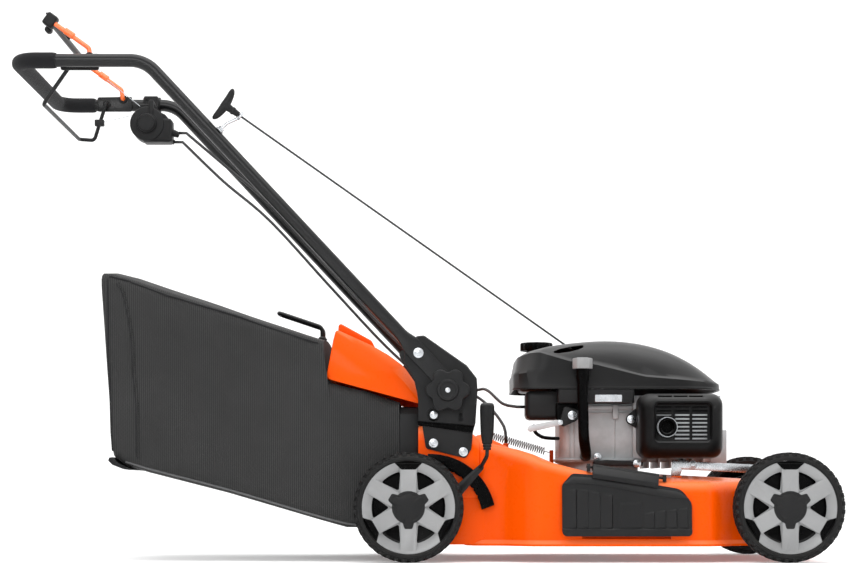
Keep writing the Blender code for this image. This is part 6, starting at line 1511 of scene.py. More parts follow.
def make_drive_bail():
    """Orange arms, dark bar and head plate. The bar's ends sit in the head and in the far arm's bend."""
    x, z = DRIVE_PIVOT
    top_x, top_z = DRIVE_TOP
    for word, side in SIDES:
        points = [(x, side * BAIL_END_Y, z), (x, side * BAIL_Y, z), (x - 0.002, side * BAIL_Y, z + 0.018),
                  (top_x, side * BAIL_Y, top_z), (top_x, side * (BAIL_Y - 0.020), top_z)]
        arm = sweep("drive_arm_" + word, bent(points, 0.009, 7), 0.0046, 16)
        middle = Vector((x - 0.040, side * BAIL_Y, z + 0.0465))
        along = Vector((top_x - x, 0, top_z - z - 0.018)).normalized()
        eye = soften(rod("eye", middle - along * 0.011, middle + along * 0.011, 0.0066, 20), 0.0018, 3)
        dress(joined("drive_arm_" + word, [arm, eye]), "bail_enamel", "drive_bail", ["drive_bail"],
              sharp=45)
    bar = sweep("drive_bar", [(top_x, y, top_z) for y in np.linspace(-BAIL_Y + 0.004, BAIL_Y - 0.004, 24)], 0.0064, 20,
                radii=[0.0064 - (0.0016 if i in (0, 23) else 0) for i in range(24)])
    dress(bar, "satin_plastic", "drive_bail", ["drive_bail"])
    head = cushion_box("drive_head", (top_x - 0.011, -BAIL_Y - 0.0080, top_z - 0.0128),
                       (top_x + 0.012, -BAIL_Y + 0.0135, top_z + 0.0130), 0.0042, 4)
    tilt = Matrix.Rotation(math.radians(36), 4, "Y")
    head.data.transform(Matrix.Translation((top_x, 0, top_z)) @ tilt @ Matrix.Translation((-top_x, 0, -top_z)))
    long_way = Vector((0.66, 0, -0.75)).normalized()
    middle = Vector((top_x, 0, top_z)) + Vector((0.0055, 0, 0.0))
    spots = [tuple(middle + long_way * d + Vector((0, -BAIL_Y + 0.010, 0))) for d in (-0.022, -0.018, 0.020, 0.046)]
    fin = sweep("thin_plate", spots, 0.0022, 10)
    stub = rod("stub", middle + Vector((-0.012, -BAIL_Y + 0.0115, -0.014)),
               middle + Vector((-0.012, -BAIL_Y + 0.030, -0.014)), 0.0068, 24)
    soften(stub, 0.0022, 3)
    return dress(joined("drive_head", [head, stub, fin]), "plastic", "drive_bail", ["drive_bail"],
                 sharp=40)


FINISH["bail_enamel"] = hard_finish("bail_enamel", (0.86, 0.125, 0.008), 0.28, coat=0.6, grain=(900.0, 0.00002),
                                    patches=(30.0, 0.05), scratch=0.15, dust=0.03, pale=(0.9, 0.5, 0.35))
make_brake_bail()
make_drive_bail()
for word, side in SIDES:
    for stem, (x, z), radius in (("brake_bush_", BRAKE_PIVOT, 0.0085), ("drive_bush_", DRIVE_PIVOT, 0.0090)):
        bushing(stem + word, (x, side * (TUBE_Y - TUBE_RADIUS - 0.0031), z), radius)
print("bails at", BRAKE_PIVOT, DRIVE_PIVOT)

# %% [markdown]
# ## Speed control, starter grip and rope guide
# The speed control is a moulded drum with a dial, hung under the left tube by a clamp. The starter
# grip is a tapered boomerang on a short stem, held to its guide by the rope's tension. A short
# length of rope runs between the eyelet and the grip.

# %% Control box
def make_control_box():
    x, y, z = BOX
    drum = turned("drum", [(0.0, y), (0.0345, y), (0.0358, y + 0.0016), (0.0358, y + 0.046), (0.0330, y + 0.0495),
                           (0.0, y + 0.0495)], (x, 0, z), "Y", 72, closed=False)
    body = cushion_box("body", (x - 0.010, y + 0.002, z - 0.038), (x + 0.0515, y + 0.048, z + 0.012), 0.006, 4)
    shoulder = plate("shoulder", [rounded([(x + 0.012, z - 0.037), (x + 0.050, z - 0.037), (x + 0.051, z + 0.004),
                                           (x + 0.038, z + 0.020), (x + 0.010, z + 0.034)],
                                          [0.004, 0.008, 0.008, 0.008, 0.004], 6)], y + 0.006, y + 0.042)
    soften(shoulder, 0.0022, 3)
    join(drum, body, shoulder)
    spout = [rod("spout", (x + 0.047, y + 0.026, z - 0.014), (x + 0.0645, y + 0.026, z - 0.020), 0.0085, 24, 0.0060)]
    spout.append(rod("spout_low", (x + 0.040, y + 0.043, z - 0.029), (x + 0.0525, y + 0.043, z - 0.032), 0.0070, 24,
                     0.0052))
    for piece in spout:
        join(drum, soften(piece, 0.0010, 2))
    soften(drum, 0.0010, 2, 40)
    return dress(drum, "plastic", "handlebar", ["control_box"], sharp=40)


def make_dial():
    x, y, z = BOX
    profile = [(0.0, y - 0.0115), (0.0150, y - 0.0118), (0.0176, y - 0.0112), (0.0186, y - 0.0096),
               (0.0190, y - 0.0040), (0.0205, y - 0.0030), (0.0215, y - 0.0008), (0.0215, y + 0.002), (0.0, y + 0.002)]
    dial = turned("speed_dial", profile, (x, 0, z), "Y", 64, closed=False)
    cut(dial, turned("groove", [(0.0150, y - 0.013), (0.0158, y - 0.013), (0.0158, y - 0.0108), (0.0150, y - 0.0108)],
                     (x, 0, z), "Y", 64))
    return dress(dial, "plastic", "handlebar", sharp=30)


def make_clamp():
    """The two-part clamp on the tube, its neck and its screw ears."""
    x, y, z = BOX
    ring = rod("clamp", (x - 0.0178, TUBE_Y, HANDLE_HEIGHT), (x + 0.0178, TUBE_Y, HANDLE_HEIGHT), TUBE_RADIUS + 0.0043,
               40)
    neck = cushion_box("neck", (x - 0.0165, y + 0.012, z + 0.020), (x + 0.0165, TUBE_Y + 0.003, HANDLE_HEIGHT - 0.010),
                       0.003, 3)
    join(ring, neck, cushion_box("cheek", (x - 0.0150, TUBE_Y - 0.024, HANDLE_HEIGHT - 0.016),
                                 (x + 0.0150, TUBE_Y - 0.008, HANDLE_HEIGHT + 0.0160), 0.0028, 3))
    join(ring, cushion_box("strap", (x + 0.004, y - 0.002, z + 0.004), (x + 0.014, y + 0.040, HANDLE_HEIGHT - 0.004),
                           0.002, 2))
    cut(ring, rod("clamp_bore", (x - 0.04, TUBE_Y, HANDLE_HEIGHT), (x + 0.04, TUBE_Y, HANDLE_HEIGHT),
                  TUBE_RADIUS + CLEAR, 40))
    soften(ring, 0.0007, 2, 38)
    return dress(ring, "plastic", "handlebar", ["control_box"], sharp=40)


make_control_box()
make_dial()
make_clamp()
bolts("clamp_screws", [(BOX[0] - 0.009, TUBE_Y - 0.0238, HANDLE_HEIGHT + 0.010),
                       (BOX[0] + 0.009, TUBE_Y - 0.0238, HANDLE_HEIGHT - 0.010)], "handlebar", "right", 0.0040, 0.0028,
      0.0022, "powder", "dark_steel")
for name, start, end in (("wire_upper", (DRIVE_PIVOT[0] - 0.034, BAIL_Y - 0.004, DRIVE_PIVOT[1] + 0.040),
                          (BOX[0] - 0.008, BOX[1] + 0.034, BOX[2] + 0.034)),
                         ("wire_lower", (BRAKE_PIVOT[0] - 0.012, BAIL_Y - 0.002, BRAKE_LOW[1] + 0.037),
                          (BOX[0] - 0.020, BOX[1] + 0.040, BOX[2] + 0.028))):
    strand = sweep(name, [tuple(Vector(start).lerp(Vector(end), t)) for t in np.linspace(0, 1, 14)], 0.0007, 8)
    dress(strand, "zinc", None)
    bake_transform(strand)
print("speed control ready")


# %% Starter grip and guide
def make_starter_grip():
    """A boomerang of oval sections across the rope, thick in the middle, and its stem."""
    middle = ROPE_START - ROPE_ALONG * 0.036
    across = Vector((ROPE_ALONG.z, 0, -ROPE_ALONG.x)).normalized()
    side = ROPE_ALONG.cross(across).normalized()
    rings = []
    for t in np.linspace(-1, 1, 33):
        bow = ROPE_ALONG * (0.0045 * (1 - t * t) - 0.0035)
        end = math.sqrt(max(0.0, 1 - (abs(t) ** 7)))
        wide = (0.0088 - 0.0030 * abs(t)) * max(end, 0.12)
        thick = (0.0080 - 0.0016 * abs(t)) * max(end, 0.12)
        centre = middle + across * (0.0350 * t) + bow
        rings.append([centre + ROPE_ALONG * wide * math.cos(a) + side * thick * math.sin(a) for a in full_circle(28)])
    grip = loft("starter_grip_piece", rings)
    stem_end = ROPE_START - ROPE_ALONG * 0.0035
    steps = ((0.000, 0.0085), (0.010, 0.0072), (0.016, 0.0066), (0.0175, 0.0074), (0.0205, 0.0074), (0.022, 0.0062),
             (0.0325, 0.0054))
    stem = sweep("stem", [tuple(middle + ROPE_ALONG * d) for d, _ in steps], 0.007, 24, radii=[r for _, r in steps])
    join(grip, stem)
    cut(grip, rod("rope_bore", stem_end - ROPE_ALONG * 0.012, stem_end + ROPE_ALONG * 0.01, 0.0026, 20))
    return dress(grip, "plastic", "starter_grip", ["starter_grip"], sharp=50)


def make_rope_guide():
    """A wire arm with an eyelet, on a stud through the right tube."""
    foot = on_tube(-0.4025, -1, TUBE_RADIUS + CLEAR)
    washer = rod("washer", foot, foot + OFF_TUBE * 0.0022, 0.0085, 32)
    nut = rod("nut", foot + OFF_TUBE * 0.0018, foot + OFF_TUBE * 0.0075, 0.0064, 6)
    rise = [tuple(foot + OFF_TUBE * 0.003), tuple(foot + OFF_TUBE * 0.020), tuple(ROPE_START - OFF_TUBE * 0.0072)]
    arm = sweep("arm", bent(rise, 0.008, 8), 0.0029, 18)
    normal = ROPE_ALONG.orthogonal().normalized()
    other = ROPE_ALONG.cross(normal)
    ring = [tuple(ROPE_START + (normal * math.cos(a) + other * math.sin(a)) * 0.0062) for a in full_circle(40)]
    eyelet = sweep("eyelet", ring, 0.0028, 14, closed=True)
    guide = joined("rope_guide_piece", [soften(washer, 0.0005), soften(nut, 0.0005), arm, eyelet])
    return dress(guide, "zinc", "handlebar", ["rope_guide"], sharp=40)


def make_rope_tail():
    """The rope between eyelet and grip."""
    route = [tuple(ROPE_START - ROPE_ALONG * d) for d in np.linspace(-0.002, 0.030, 60)]
    tail = cord_mesh("starter_rope_tail", route, 0.0019, "braid")
    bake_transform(tail)


make_starter_grip()
make_rope_guide()
make_rope_tail()
print("starter grip at", tuple(round(v, 3) for v in ROPE_START))

# %% [markdown]
# ## Brackets, star knobs and the height lever
# Each handle foot sits on a steel bracket behind a moulded cover. A star knob clamps it: six lobes
# with soft valleys, lofted ring by ring from one wavy outline. The height lever is a flat spring
# strip that clicks into a toothed arc, with a ribbed moulded grip.

# %% Brackets and covers
BRACKET_Y = TUNNEL_HALF + CLEAR
COVER_Y = BRACKET_Y + BRACKET_THICKNESS + CLEAR
COVER_BOLT = (0.0178, 0.2823)
COVER_OUTLINE = [(-0.0125, 0.2700), (0.0945, 0.2615), (0.100, 0.328), (0.0986, 0.352), (0.080, 0.376),
                 (-0.001, 0.4335), (-0.014, 0.432), (-0.037, 0.409), (-0.040, 0.3825), (-0.018, 0.349),
                 (-0.0125, 0.3116)]
COVER_RADII = [0.002, 0.003, 0.030, 0.020, 0.030, 0.010, 0.008, 0.010, 0.012, 0.030, 0.030]
KNOB_Y = COVER_Y + COVER_DEPTH + CLEAR + FLAT_THICKNESS + CLEAR
# Each step of the knob: share of the radius, depth, and how deep the valleys between its lobes are.
KNOB_STEPS = [(0.80, 0.0005, 0.9), (0.96, 0.0005, 1.0), (1.0, 0.0020, 1.0), (1.0, 0.0085, 1.0), (0.985, 0.0102, 1.0),
              (0.95, 0.0112, 1.0), (0.84, 0.0113, 0.8), (0.62, 0.0108, 0.4), (0.50, 0.0106, 0.0), (0.475, 0.0118, 0.0),
              (0.465, 0.0140, 0.0), (0.445, 0.0148, 0.0), (0.36, 0.0148, 0.0), (0.34, 0.0138, 0.0),
              (0.28, 0.0134, 0.0), (0.14, 0.0134, 0.0)]


def mirror_copy(obj, name):
    mesh = obj.data.copy()
    mesh.transform(Matrix.Scale(-1, 4, (0, 1, 0)))
    mesh.flip_normals()
    return linked(name, mesh)


def both_sides(piece, stem, finish, node_stem=None, body="chassis", sharp=40):
    """Dresses a right-hand piece and its mirror image."""
    for word, obj in (("right", piece), ("left", mirror_copy(piece, stem + "_left"))):
        obj.name = stem + "_" + word
        name = node_stem + "_" + word if node_stem else None
        dress(obj, finish, body if "knob" not in body else "knob_" + word, [name] if name else (), sharp)


def make_cover():
    cover = plate("cover", [rounded(COVER_OUTLINE, COVER_RADII, 8)], -COVER_Y - 0.0118, -COVER_Y)
    soften(cover, 0.0030, 4, 50)
    dip = rounded([(0.020, 0.452), (-0.058, 0.440), (-0.010, 0.300), (0.120, 0.300), (0.110, 0.330), (0.084, 0.372)],
                  [0.01] * 6, 4)
    trough = plate("trough", [dip], -COVER_Y - 0.02, -COVER_Y - 0.0112)
    x, z = COVER_BOLT
    recess = rod("bolt_recess", (x, -COVER_Y - 0.02, z), (x, -COVER_Y - 0.002, z), 0.0125, 32)
    x, z = 0.0695, 0.2740
    key = rod("key", (x, -COVER_Y - 0.02, z), (x, -COVER_Y - 0.003, z), 0.0048, 24)
    return cut(cover, trough, recess, key, box("key_slot", (0.0665, -COVER_Y - 0.02, 0.2740),
                                               (0.0725, -COVER_Y - 0.003, 0.2860)))


def make_knob():
    """Six lobes, a rim step, a dished face and a raised ring round the stud."""
    middle = Vector((FOLD[0], 0, FOLD[1]))
    rings = []
    for share, depth, lobe in KNOB_STEPS:
        ring = []
        for i in range(96):
            angle = 2 * math.pi * i / 96 + math.radians(30)
            valley = (0.5 - 0.5 * math.cos(6 * angle)) ** 1.6
            radius = share * (0.0428 - 0.0085 * valley * lobe)
            ring.append((middle.x + radius * math.cos(angle), -KNOB_Y - depth, middle.z + radius * math.sin(angle)))
        rings.append(ring)
    return loft("knob", rings)


both_sides(make_cover(), "bracket_cover", "plastic", "bracket_cover")
# A thin near-black strip under each cover is painted shadow: it stands for the shade in the gap between cover and
# bracket plate.
shadow_strip = plate("shadow_strip", [rounded([(-0.0125, 0.2785), (-0.0125, 0.2625), (0.0923, 0.2482), (0.0950, 0.2672)],
                                [0.001, 0.002, 0.003, 0.001], 4)], -COVER_Y - 0.0040, -COVER_Y)
both_sides(soften(shadow_strip, 0.0006, 1), "cover_shadow_strip", "deep_plastic")
for word, _ in SIDES:
    refined("handle_bracket_" + word, "bracket_plate_" + word, "powder", "chassis", 0.0008)
both_sides(make_knob(), "star_knob", "plastic", "knob", "knob", 34)
for word, side in SIDES:
    plate_y = side * (BRACKET_Y + BRACKET_THICKNESS)
    bolts("knob_stud_" + word, [(FOLD[0], side * (KNOB_Y + 0.0130), FOLD[1])], "knob_" + word, word, 0.0048, 0.0036,
          0.0026)
    bolts("bracket_bolts_" + word, [(0.0172, plate_y, 0.2281), (0.0747, plate_y, 0.2115)], "chassis", word, 0.0088,
          0.0058, 0.0040)
    cover_bolt = [(COVER_BOLT[0], side * (COVER_Y + 0.0025), COVER_BOLT[1])]
    bolts("hinge_bolt_" + word, cover_bolt, "chassis", word, 0.0075, 0.0050, 0.0042)
print("brackets ready")


# %% Height lever, quadrant, cranks and link
def make_height_grip():
    """Moulded grip: a domed top, a swelling body and three ribs at the neck."""
    x, y = 0.119, -0.2705
    profile = [(0.0044, 0.2140), (0.0070, 0.2140), (0.0076, 0.2150), (0.0076, 0.2178), (0.0068, 0.2190),
               (0.0084, 0.2205), (0.0086, 0.2236), (0.0076, 0.2250), (0.0096, 0.2266), (0.0100, 0.2300),
               (0.0108, 0.2350), (0.0122, 0.2440), (0.0130, 0.2600), (0.0136, 0.2800), (0.0139, 0.2900),
               (0.0136, 0.2915), (0.0136, 0.2930), (0.0137, 0.2960), (0.0128, 0.3000), (0.0108, 0.3025),
               (0.0070, 0.3038), (0.0, 0.3040)]
    grip = turned("height_grip_piece", profile, (x, y, 0), "Z", 48, closed=False)
    bm = bmesh.new()
    bm.from_mesh(grip.data)
    bmesh.ops.holes_fill(bm, edges=bm.edges, sides=64)
    bmesh.ops.recalc_face_normals(bm, faces=bm.faces)
    bm.to_mesh(grip.data)
    bm.free()
    return dress(grip, "satin_plastic", "rear_crank", ["height_grip"], sharp=40)


def make_spring():
    """The lift spring follows a rule, a helix between two hooks, so its wire is swept along one."""
    start, end = Vector((0.1303, 0.060, 0.2515)), Vector((0.2560, 0.060, 0.2150))
    along = (end - start).normalized()
    side, up = Vector((0, 1, 0)), along.cross(Vector((0, 1, 0)))
    length, turns, steps = (end - start).length, 24, 14
    points = [start + along * CLEAR, start + along * 0.004]
    for i in range(turns * steps + 1):
        angle = 2 * math.pi * i / steps
        on_axis = start + along * (0.010 + (length - 0.020) * i / (turns * steps))
        points.append(on_axis + (side * math.cos(angle) + up * math.sin(angle)) * 0.0072)
    points += [end - along * 0.004, end - along * CLEAR]
    spring = sweep("lift_spring_piece", [tuple(p) for p in points], 0.0009, 8)
    return dress(spring, "bare_blade", "chassis", ["lift_spring"], sharp=60)


def make_quadrant():
    """The toothed arc: small notches on its inner edge, one for each cutting height."""
    edge = [v.co.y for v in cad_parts["height_quadrant"].data.vertices]
    inner = []
    for turn in np.linspace(92, 11, 163):
        notch = max(0.0, math.cos(math.radians(turn * 40))) ** 4 if 20 < turn < 75 else 0.0
        inner.append((0.1010 + 0.0022 * notch, math.radians(turn)))
    outer = [(0.1268, math.radians(turn)) for turn in np.linspace(13, 92, 60)]
    outline = [(REAR_PIVOT[0] + r * math.cos(a), REAR_PIVOT[1] + r * math.sin(a)) for r, a in outer + inner]
    arc = soften(plate("quadrant_piece", [outline], min(edge), max(edge)), 0.0007, 2, 50)
    for turn in (24, 33, 42, 51, 60, 69):
        slot = box("slot", (0.1080, min(edge) - 0.001, -0.0011), (0.1190, min(edge) + 0.0012, 0.0011))
        place = Matrix.Translation((REAR_PIVOT[0], 0, REAR_PIVOT[1]))
        slot.data.transform(place @ Matrix.Rotation(-math.radians(turn), 4, "Y"))
        cut(arc, slot)
    return dress(arc, "deep_plastic", "chassis", ["height_quadrant"])


make_height_grip()
make_spring()
for node, name, finish, body, slot, width in (
        ("height_lever", "height_lever_piece", "powder", "rear_crank", "dark_steel", 0.0006),
        ("rear_axle_crank", "rear_crank_piece", "powder", "rear_crank", "dark_steel", 0.0007),
        ("front_axle_crank", "front_crank_piece", "powder", "front_crank", "dark_steel", 0.0007),
        ("height_link", "height_link_piece", "zinc", "height_link", "zinc_steel", 0.0003)):
    refined(node, name, finish, body, width)
make_quadrant()
print("lever ready")

# %% [markdown]
# ## Muffler guard, oil filler and small engine parts
# The guard is a deep pressed cover: its wide soft border is lofted from rings of its own outline,
# then the panel sinks in and is slotted, so that the bright muffler shows behind. Smaller parts
# hang round the block: the dipstick tube, a carburettor arm with its hose, ears, feet and bolts.

# %% Muffler guard
GUARD_X, GUARD_Z = (0.4175, 0.5805), (0.200, 0.326)
GUARD_FACE_Y, GUARD_SEAT_Y, GUARD_TRAY_Y = -0.200, -0.105, -0.187
PANEL_X, PANEL_Z = (0.4450, 0.5545), (0.231, 0.3055)
OUTLET = (0.470, 0.260)


# The guard's paint also takes its pale colour on faces that look up: a painted highlight.
FINISH["guard_paint"] = hard_finish("guard_paint", (0.0030, 0.0030, 0.0032), 0.36, grain=(1100.0, 0.00004),
                                    scratch=0.04, dust=0.015, pale=(0.05, 0.05, 0.05), specular=0.10, painted_top_highlight=0.9)


def guard_ring(inward, y, radius, x_range=GUARD_X, z_range=GUARD_Z):
    (left, right), (low, high) = x_range, z_range
    return [(x, y, z) for x, z in rounded_box(left + inward, right - inward, low + inward, high - inward, radius)]


def make_guard():
    """The border and the sunk panel are lofted, hollowed, and cut through by rows of slots and the outlet."""
    wall = 0.0022
    outside = [(0.0, GUARD_SEAT_Y, 0.020), (0.0, -0.160, 0.021), (0.0008, -0.172, 0.022), (0.0030, -0.182, 0.023),
               (0.0070, -0.190, 0.024), (0.0125, -0.1955, 0.024), (0.0190, -0.1988, 0.022)]
    panel = [(-0.0045, GUARD_FACE_Y + 0.0002, 0.013), (-0.0015, GUARD_FACE_Y, 0.010),
             (0.0, GUARD_FACE_Y + 0.0016, 0.009), (0.0010, GUARD_TRAY_Y - 0.0015, 0.008),
             (0.0028, GUARD_TRAY_Y, 0.007)]
    behind = [(-0.0060, GUARD_FACE_Y + 2.5 * wall, 0.012), (-0.0040, GUARD_TRAY_Y + wall, 0.010)]
    sunk = [guard_ring(*row, PANEL_X, PANEL_Z) for row in panel]
    guard = loft("muffler_guard_piece", [guard_ring(*row) for row in outside] + sunk)
    hollow = [guard_ring(wall, GUARD_SEAT_Y + 0.01, 0.018)]
    hollow += [guard_ring(inward + wall, y + wall, radius) for inward, y, radius in outside[1:]]
    cut(guard, loft("hollow", hollow + [guard_ring(*row, PANEL_X, PANEL_Z) for row in behind]))
    pitch = 0.00763
    for rows, x, wide in ((3, 0.4640, 0.0295), (9, 0.4990, 0.0290), (9, 0.5335, 0.0295)):
        place = (x, GUARD_TRAY_Y, 0.2990 - pitch * (rows - 1) / 2)
        cut(guard, slot_cutter(1, rows, 0.03, pitch, (wide, 0.03, 0.0031), place))
    cut(guard, slot_cutter(3, 1, 0.0300, pitch, (0.0275, 0.0200, 0.0032), (0.4960, -0.1830, GUARD_Z[1] - 0.0062)))
    cut(guard, rod("outlet_hole", (OUTLET[0], -0.21, OUTLET[1]), (OUTLET[0], -0.16, OUTLET[1]), 0.0200 + CLEAR, 48))
    soften(guard, 0.0005, 1, 50)
    return dress(guard, "guard_paint", "chassis", ["muffler_guard"], sharp=48)


def make_outlet():
    """The exhaust's bright lip with its dark throat, in front of the muffler."""
    x, z = OUTLET
    lip = [(0.0181, -0.1830), (0.0181, -0.1940), (0.0184, -0.1953), (0.0192, -0.1953), (0.0197, -0.1940),
           (0.0197, -0.1815), (0.0181, -0.1815)]
    ring = turned("outlet_lip", lip, (x, 0, z), "Y", 64)
    dress(ring, "zinc", "chassis", sharp=40)
    throat = turned("outlet_throat", [(0.0, -0.1724), (0.0179, -0.1724), (0.0179, -0.1942), (0.0160, -0.1946),
                                      (0.0134, -0.1942), (0.0120, -0.1925), (0.0115, -0.1740), (0.0, -0.1740)],
                    (x, 0, z), "Y", 48, closed=False)
    dress(throat, "deep_plastic", "chassis", sharp=40)
    # The near-black plate behind the upper slots is painted shade, so that those slots read as deep and dark.
    slot_shade = cushion_box("slot_shade_plate", (0.4440, -0.1846, 0.2880), (0.5590, -0.1838, 0.3065), 0.0003, 1)
    shield = cushion_box("heat_shield", (0.4860, -0.1842, 0.2310), (0.5480, -0.1836, 0.2870), 0.0003, 1)
    dress(shield, "casting", "chassis")
    return dress(slot_shade, "deep_plastic", "chassis")


make_guard()
make_outlet()
print("guard ready")


# %% Oil filler tube
def make_oil_tube():
    """A thick moulded tube that widens into a collar under its cap."""
    picks = [(0.318, -0.0903, 0.205), (0.318, -0.118, 0.205), (0.315, -0.150, 0.214), (0.3100, -0.170, 0.240),
             (0.3085, -0.173, 0.280), (*OIL_NECK, 0.330), (*OIL_NECK, 0.3737)]
    route = [picks[0]] + flowing(picks[1:], 0.005)
    radii = [0.0126 if place[2] > 0.350 else 0.0122 if place[2] > 0.348 else 0.0105 for place in route]
    tube = sweep("oil_filler_piece", route, 0.0098, 28, radii=radii)
    return dress(tube, "deep_plastic", "chassis", ["oil_filler_tube"], sharp=50)


make_oil_tube()
print("oil filler ready")


# %% Carburettor side
def make_engine_details():
    """What the photograph shows between the shroud and the block: dark cover, arm, hose, ears and foot."""
    arm = [(0.2005, 0.2570), (0.2065, 0.2520), (0.2690, 0.2660), (0.2715, 0.2750), (0.2630, 0.2760), (0.2060, 0.2645)]
    foot = [(0.3330, 0.1855), (0.4300, 0.1855), (0.4300, 0.1930), (0.3600, 0.1975), (0.3330, 0.1950)]
    hose = [(0.214, -0.122, 0.266), (0.2165, -0.126, 0.2545), (0.2215, -0.128, 0.2480), (0.2324, -0.128, 0.2420),
            (0.2480, -0.126, 0.2400), (0.2640, -0.106, 0.2400)]
    dress(cushion_box("carburettor_cover", (0.2570, -0.1345, 0.2755), (0.3010, -0.0920, 0.3120), 0.0050, 4),
          "deep_plastic", "chassis")
    dress(soften(plate("throttle_arm", [rounded(arm, [0.003] * 6, 4)], -0.1405, -0.1350), 0.0012), "casting",
          "chassis")
    dress(sweep("fuel_hose", flowing(hose, 0.003), 0.0036, 14), "deep_plastic", "chassis")
    ear = round_hull((0.2896, 0.2847, 0.0135), (0.2720, 0.2700, 0.0070), (0.2780, 0.2960, 0.0060))
    dress(soften(plate("cable_bracket", [ear], -0.1372, -0.1340), 0.0008), "powder", "chassis")
    ear = round_hull((0.4080, 0.2780, 0.0105), (0.4180, 0.2690, 0.0080), (0.4180, 0.2930, 0.0060))
    dress(soften(plate("guard_ear", [ear], -0.1085, -0.1040), 0.0008), "plastic", "chassis")
    dress(soften(plate("engine_foot", [rounded(foot, [0.002] * 5, 4)], -0.1240, -0.0900), 0.0010), "powder", "chassis")
    for name, places, *size in (
            ("arm_bolts", [(0.2896, -0.1372, 0.2847)], 0.0088, 0.0060, 0.0050),
            ("arm_screws", [(0.2660, -0.1405, 0.2705)], 0.0050, 0.0038, 0.0035),
            ("block_bolts", [(0.4080, -0.1085, 0.2780)], 0.0082, 0.0060, 0.0055),
            ("foot_bolts", [(0.3425, -0.0945, 0.2040), (0.4180, -0.1240, 0.1900)], 0.0078, 0.0056, 0.0055),
            ("brace_bolts", [(0.5267, -0.1315, 0.1880)], 0.0085, 0.0062, 0.0055),
            ("guard_bolts", [(0.5080, -0.1080, 0.1925)], 0.0085, 0.0062, 0.0055)):
        bolts(name, places, "chassis", "right", *size)


make_engine_details()
print("engine details ready")

# %% [markdown]
# ## Side flap
# The side flap is a thin ribbed moulding. Its face is a fine grid whose depth follows a rule: a
# shoulder that rolls over at the top, saw-tooth ribs in two groups, and a ledge near the bottom.
# The same grid set back by the wall makes the inside, and the rim closes the two.

# %% Side flap
SIDE_HINGE = (0.317, 0.454, -0.2460, 0.1715)
FLAP_TOP_Y, FLAP_LEAN, FLAP_WALL = -0.2650, 0.09, 0.003
FLAP_EDGE = rounded([(0.2612, 0.0505), (0.5075, 0.0505), (0.5075, 0.1130), (0.4880, 0.1400), (0.4585, 0.1450),
                     (0.3180, 0.1675), (0.2810, 0.1700), (0.2612, 0.1480)],
                    [0.010, 0.008, 0.020, 0.030, 0.030, 0.030, 0.012, 0.012], 8)


def reach_at(x, upper):
    """Lowest or highest point of the flap's outline over a place along it."""
    hits = []
    for (ax, az), (bx, bz) in zip(FLAP_EDGE, FLAP_EDGE[1:] + FLAP_EDGE[:1]):
        if min(ax, bx) <= x <= max(ax, bx) and abs(bx - ax) > 1e-9:
            hits.append(az + (bz - az) * (x - ax) / (bx - ax))
    return max(hits) if upper else min(hits)


def flap_depth(x, z, top):
    """How far the face stands out from the flap's plain lean."""
    line = 0.1500 - 0.0290 * ease((x - 0.285) / 0.22)
    shoulder = 0.0018 * ease((z - line + 0.001) / 0.002) - 0.0105 * max(0.0, (z - line) / max(0.004, top - line)) ** 2.2
    group_left = 0.1400 - 0.190 * max(0.0, x - 0.300) if x < 0.360 else 0.060
    group_right = 0.0950 + 0.120 * (x - 0.412) if x > 0.408 else 0.060
    ribs = 0.0
    for first, width, count, cap in ((0.2660, 0.0228, 4, group_left), (0.4160, 0.0212, 4, group_right)):
        for i in range(count):
            share = (x - first - i * width) / width
            if 0 <= share < 1:
                slope = 0.0022 * share if share < 0.93 else 0.0022 * (1 - share) / 0.07 - 0.0010 * (share > 0.96)
                ribs = slope * ease((cap - z) / 0.003)
    panel = 0.0012 * ease((x - 0.3705) / 0.002) * ease((0.4140 - x) / 0.002) * ease((0.118 - z) / 0.010)
    ledge = 0.0026 * ease((0.0645 - z) / 0.0012)
    return shoulder + (ribs + panel) * ease((z - 0.0655) / 0.0015) + ledge


def make_side_flap():
    """Two grids, the face and the plain back, joined round the rim."""
    spans = [np.linspace(0.26125, 0.26900, 8), np.linspace(0.26900, 0.50000, 190), np.linspace(0.50000, 0.50745, 8)]
    columns = sorted(set(np.round(np.concatenate(spans), 6)))
    bm = bmesh.new()
    front, rear = [], []
    for grid, back in ((front, 0.0), (rear, FLAP_WALL)):
        for x in columns:
            low, high = reach_at(x, False), reach_at(x, True)
            column = []
            for t in np.linspace(0, 1, 84):
                z = low + (high - low) * t
                y = FLAP_TOP_Y - (SIDE_HINGE[3] - z) * FLAP_LEAN
                y += back if back else -flap_depth(x, z, high)
                column.append(bm.verts.new((x, y, z)))
            grid.append(column)
    last, top = len(columns) - 1, 83
    for i in range(last):
        for j in range(top):
            bm.faces.new((front[i][j], front[i + 1][j], front[i + 1][j + 1], front[i][j + 1]))
            bm.faces.new((rear[i][j], rear[i][j + 1], rear[i + 1][j + 1], rear[i + 1][j]))
        for j in (0, top):
            bm.faces.new((front[i][j], rear[i][j], rear[i + 1][j], front[i + 1][j]))
    for i in (0, last):
        for j in range(top):
            bm.faces.new((front[i][j], front[i][j + 1], rear[i][j + 1], rear[i][j]))
    flap = from_bmesh("side_flap_piece", bm)
    return dress(flap, "plastic", "side_flap", ["side_flap"], sharp=32)


def hinge_point(distance, up=0.0, out=0.0):
    """A place along the sloping hinge line, from its rear end."""
    slope = math.radians(8.7)
    along = Vector((math.cos(slope), 0, -math.sin(slope)))
    start = Vector((SIDE_HINGE[0] - 0.008, SIDE_HINGE[2],
                    SIDE_HINGE[3] + math.tan(slope) * ((SIDE_HINGE[1] - SIDE_HINGE[0]) / 2 + 0.008)))
    return start + along * distance + Vector((0, out, 0)) + Vector((math.sin(slope), 0, math.cos(slope))) * up


def hinge_bar(name, first, last, section):
    """A bar along the hinge with this section of (out, up) points."""
    return loft(name, [[hinge_point(d, up, out) for out, up in section] for d in (first, last)])


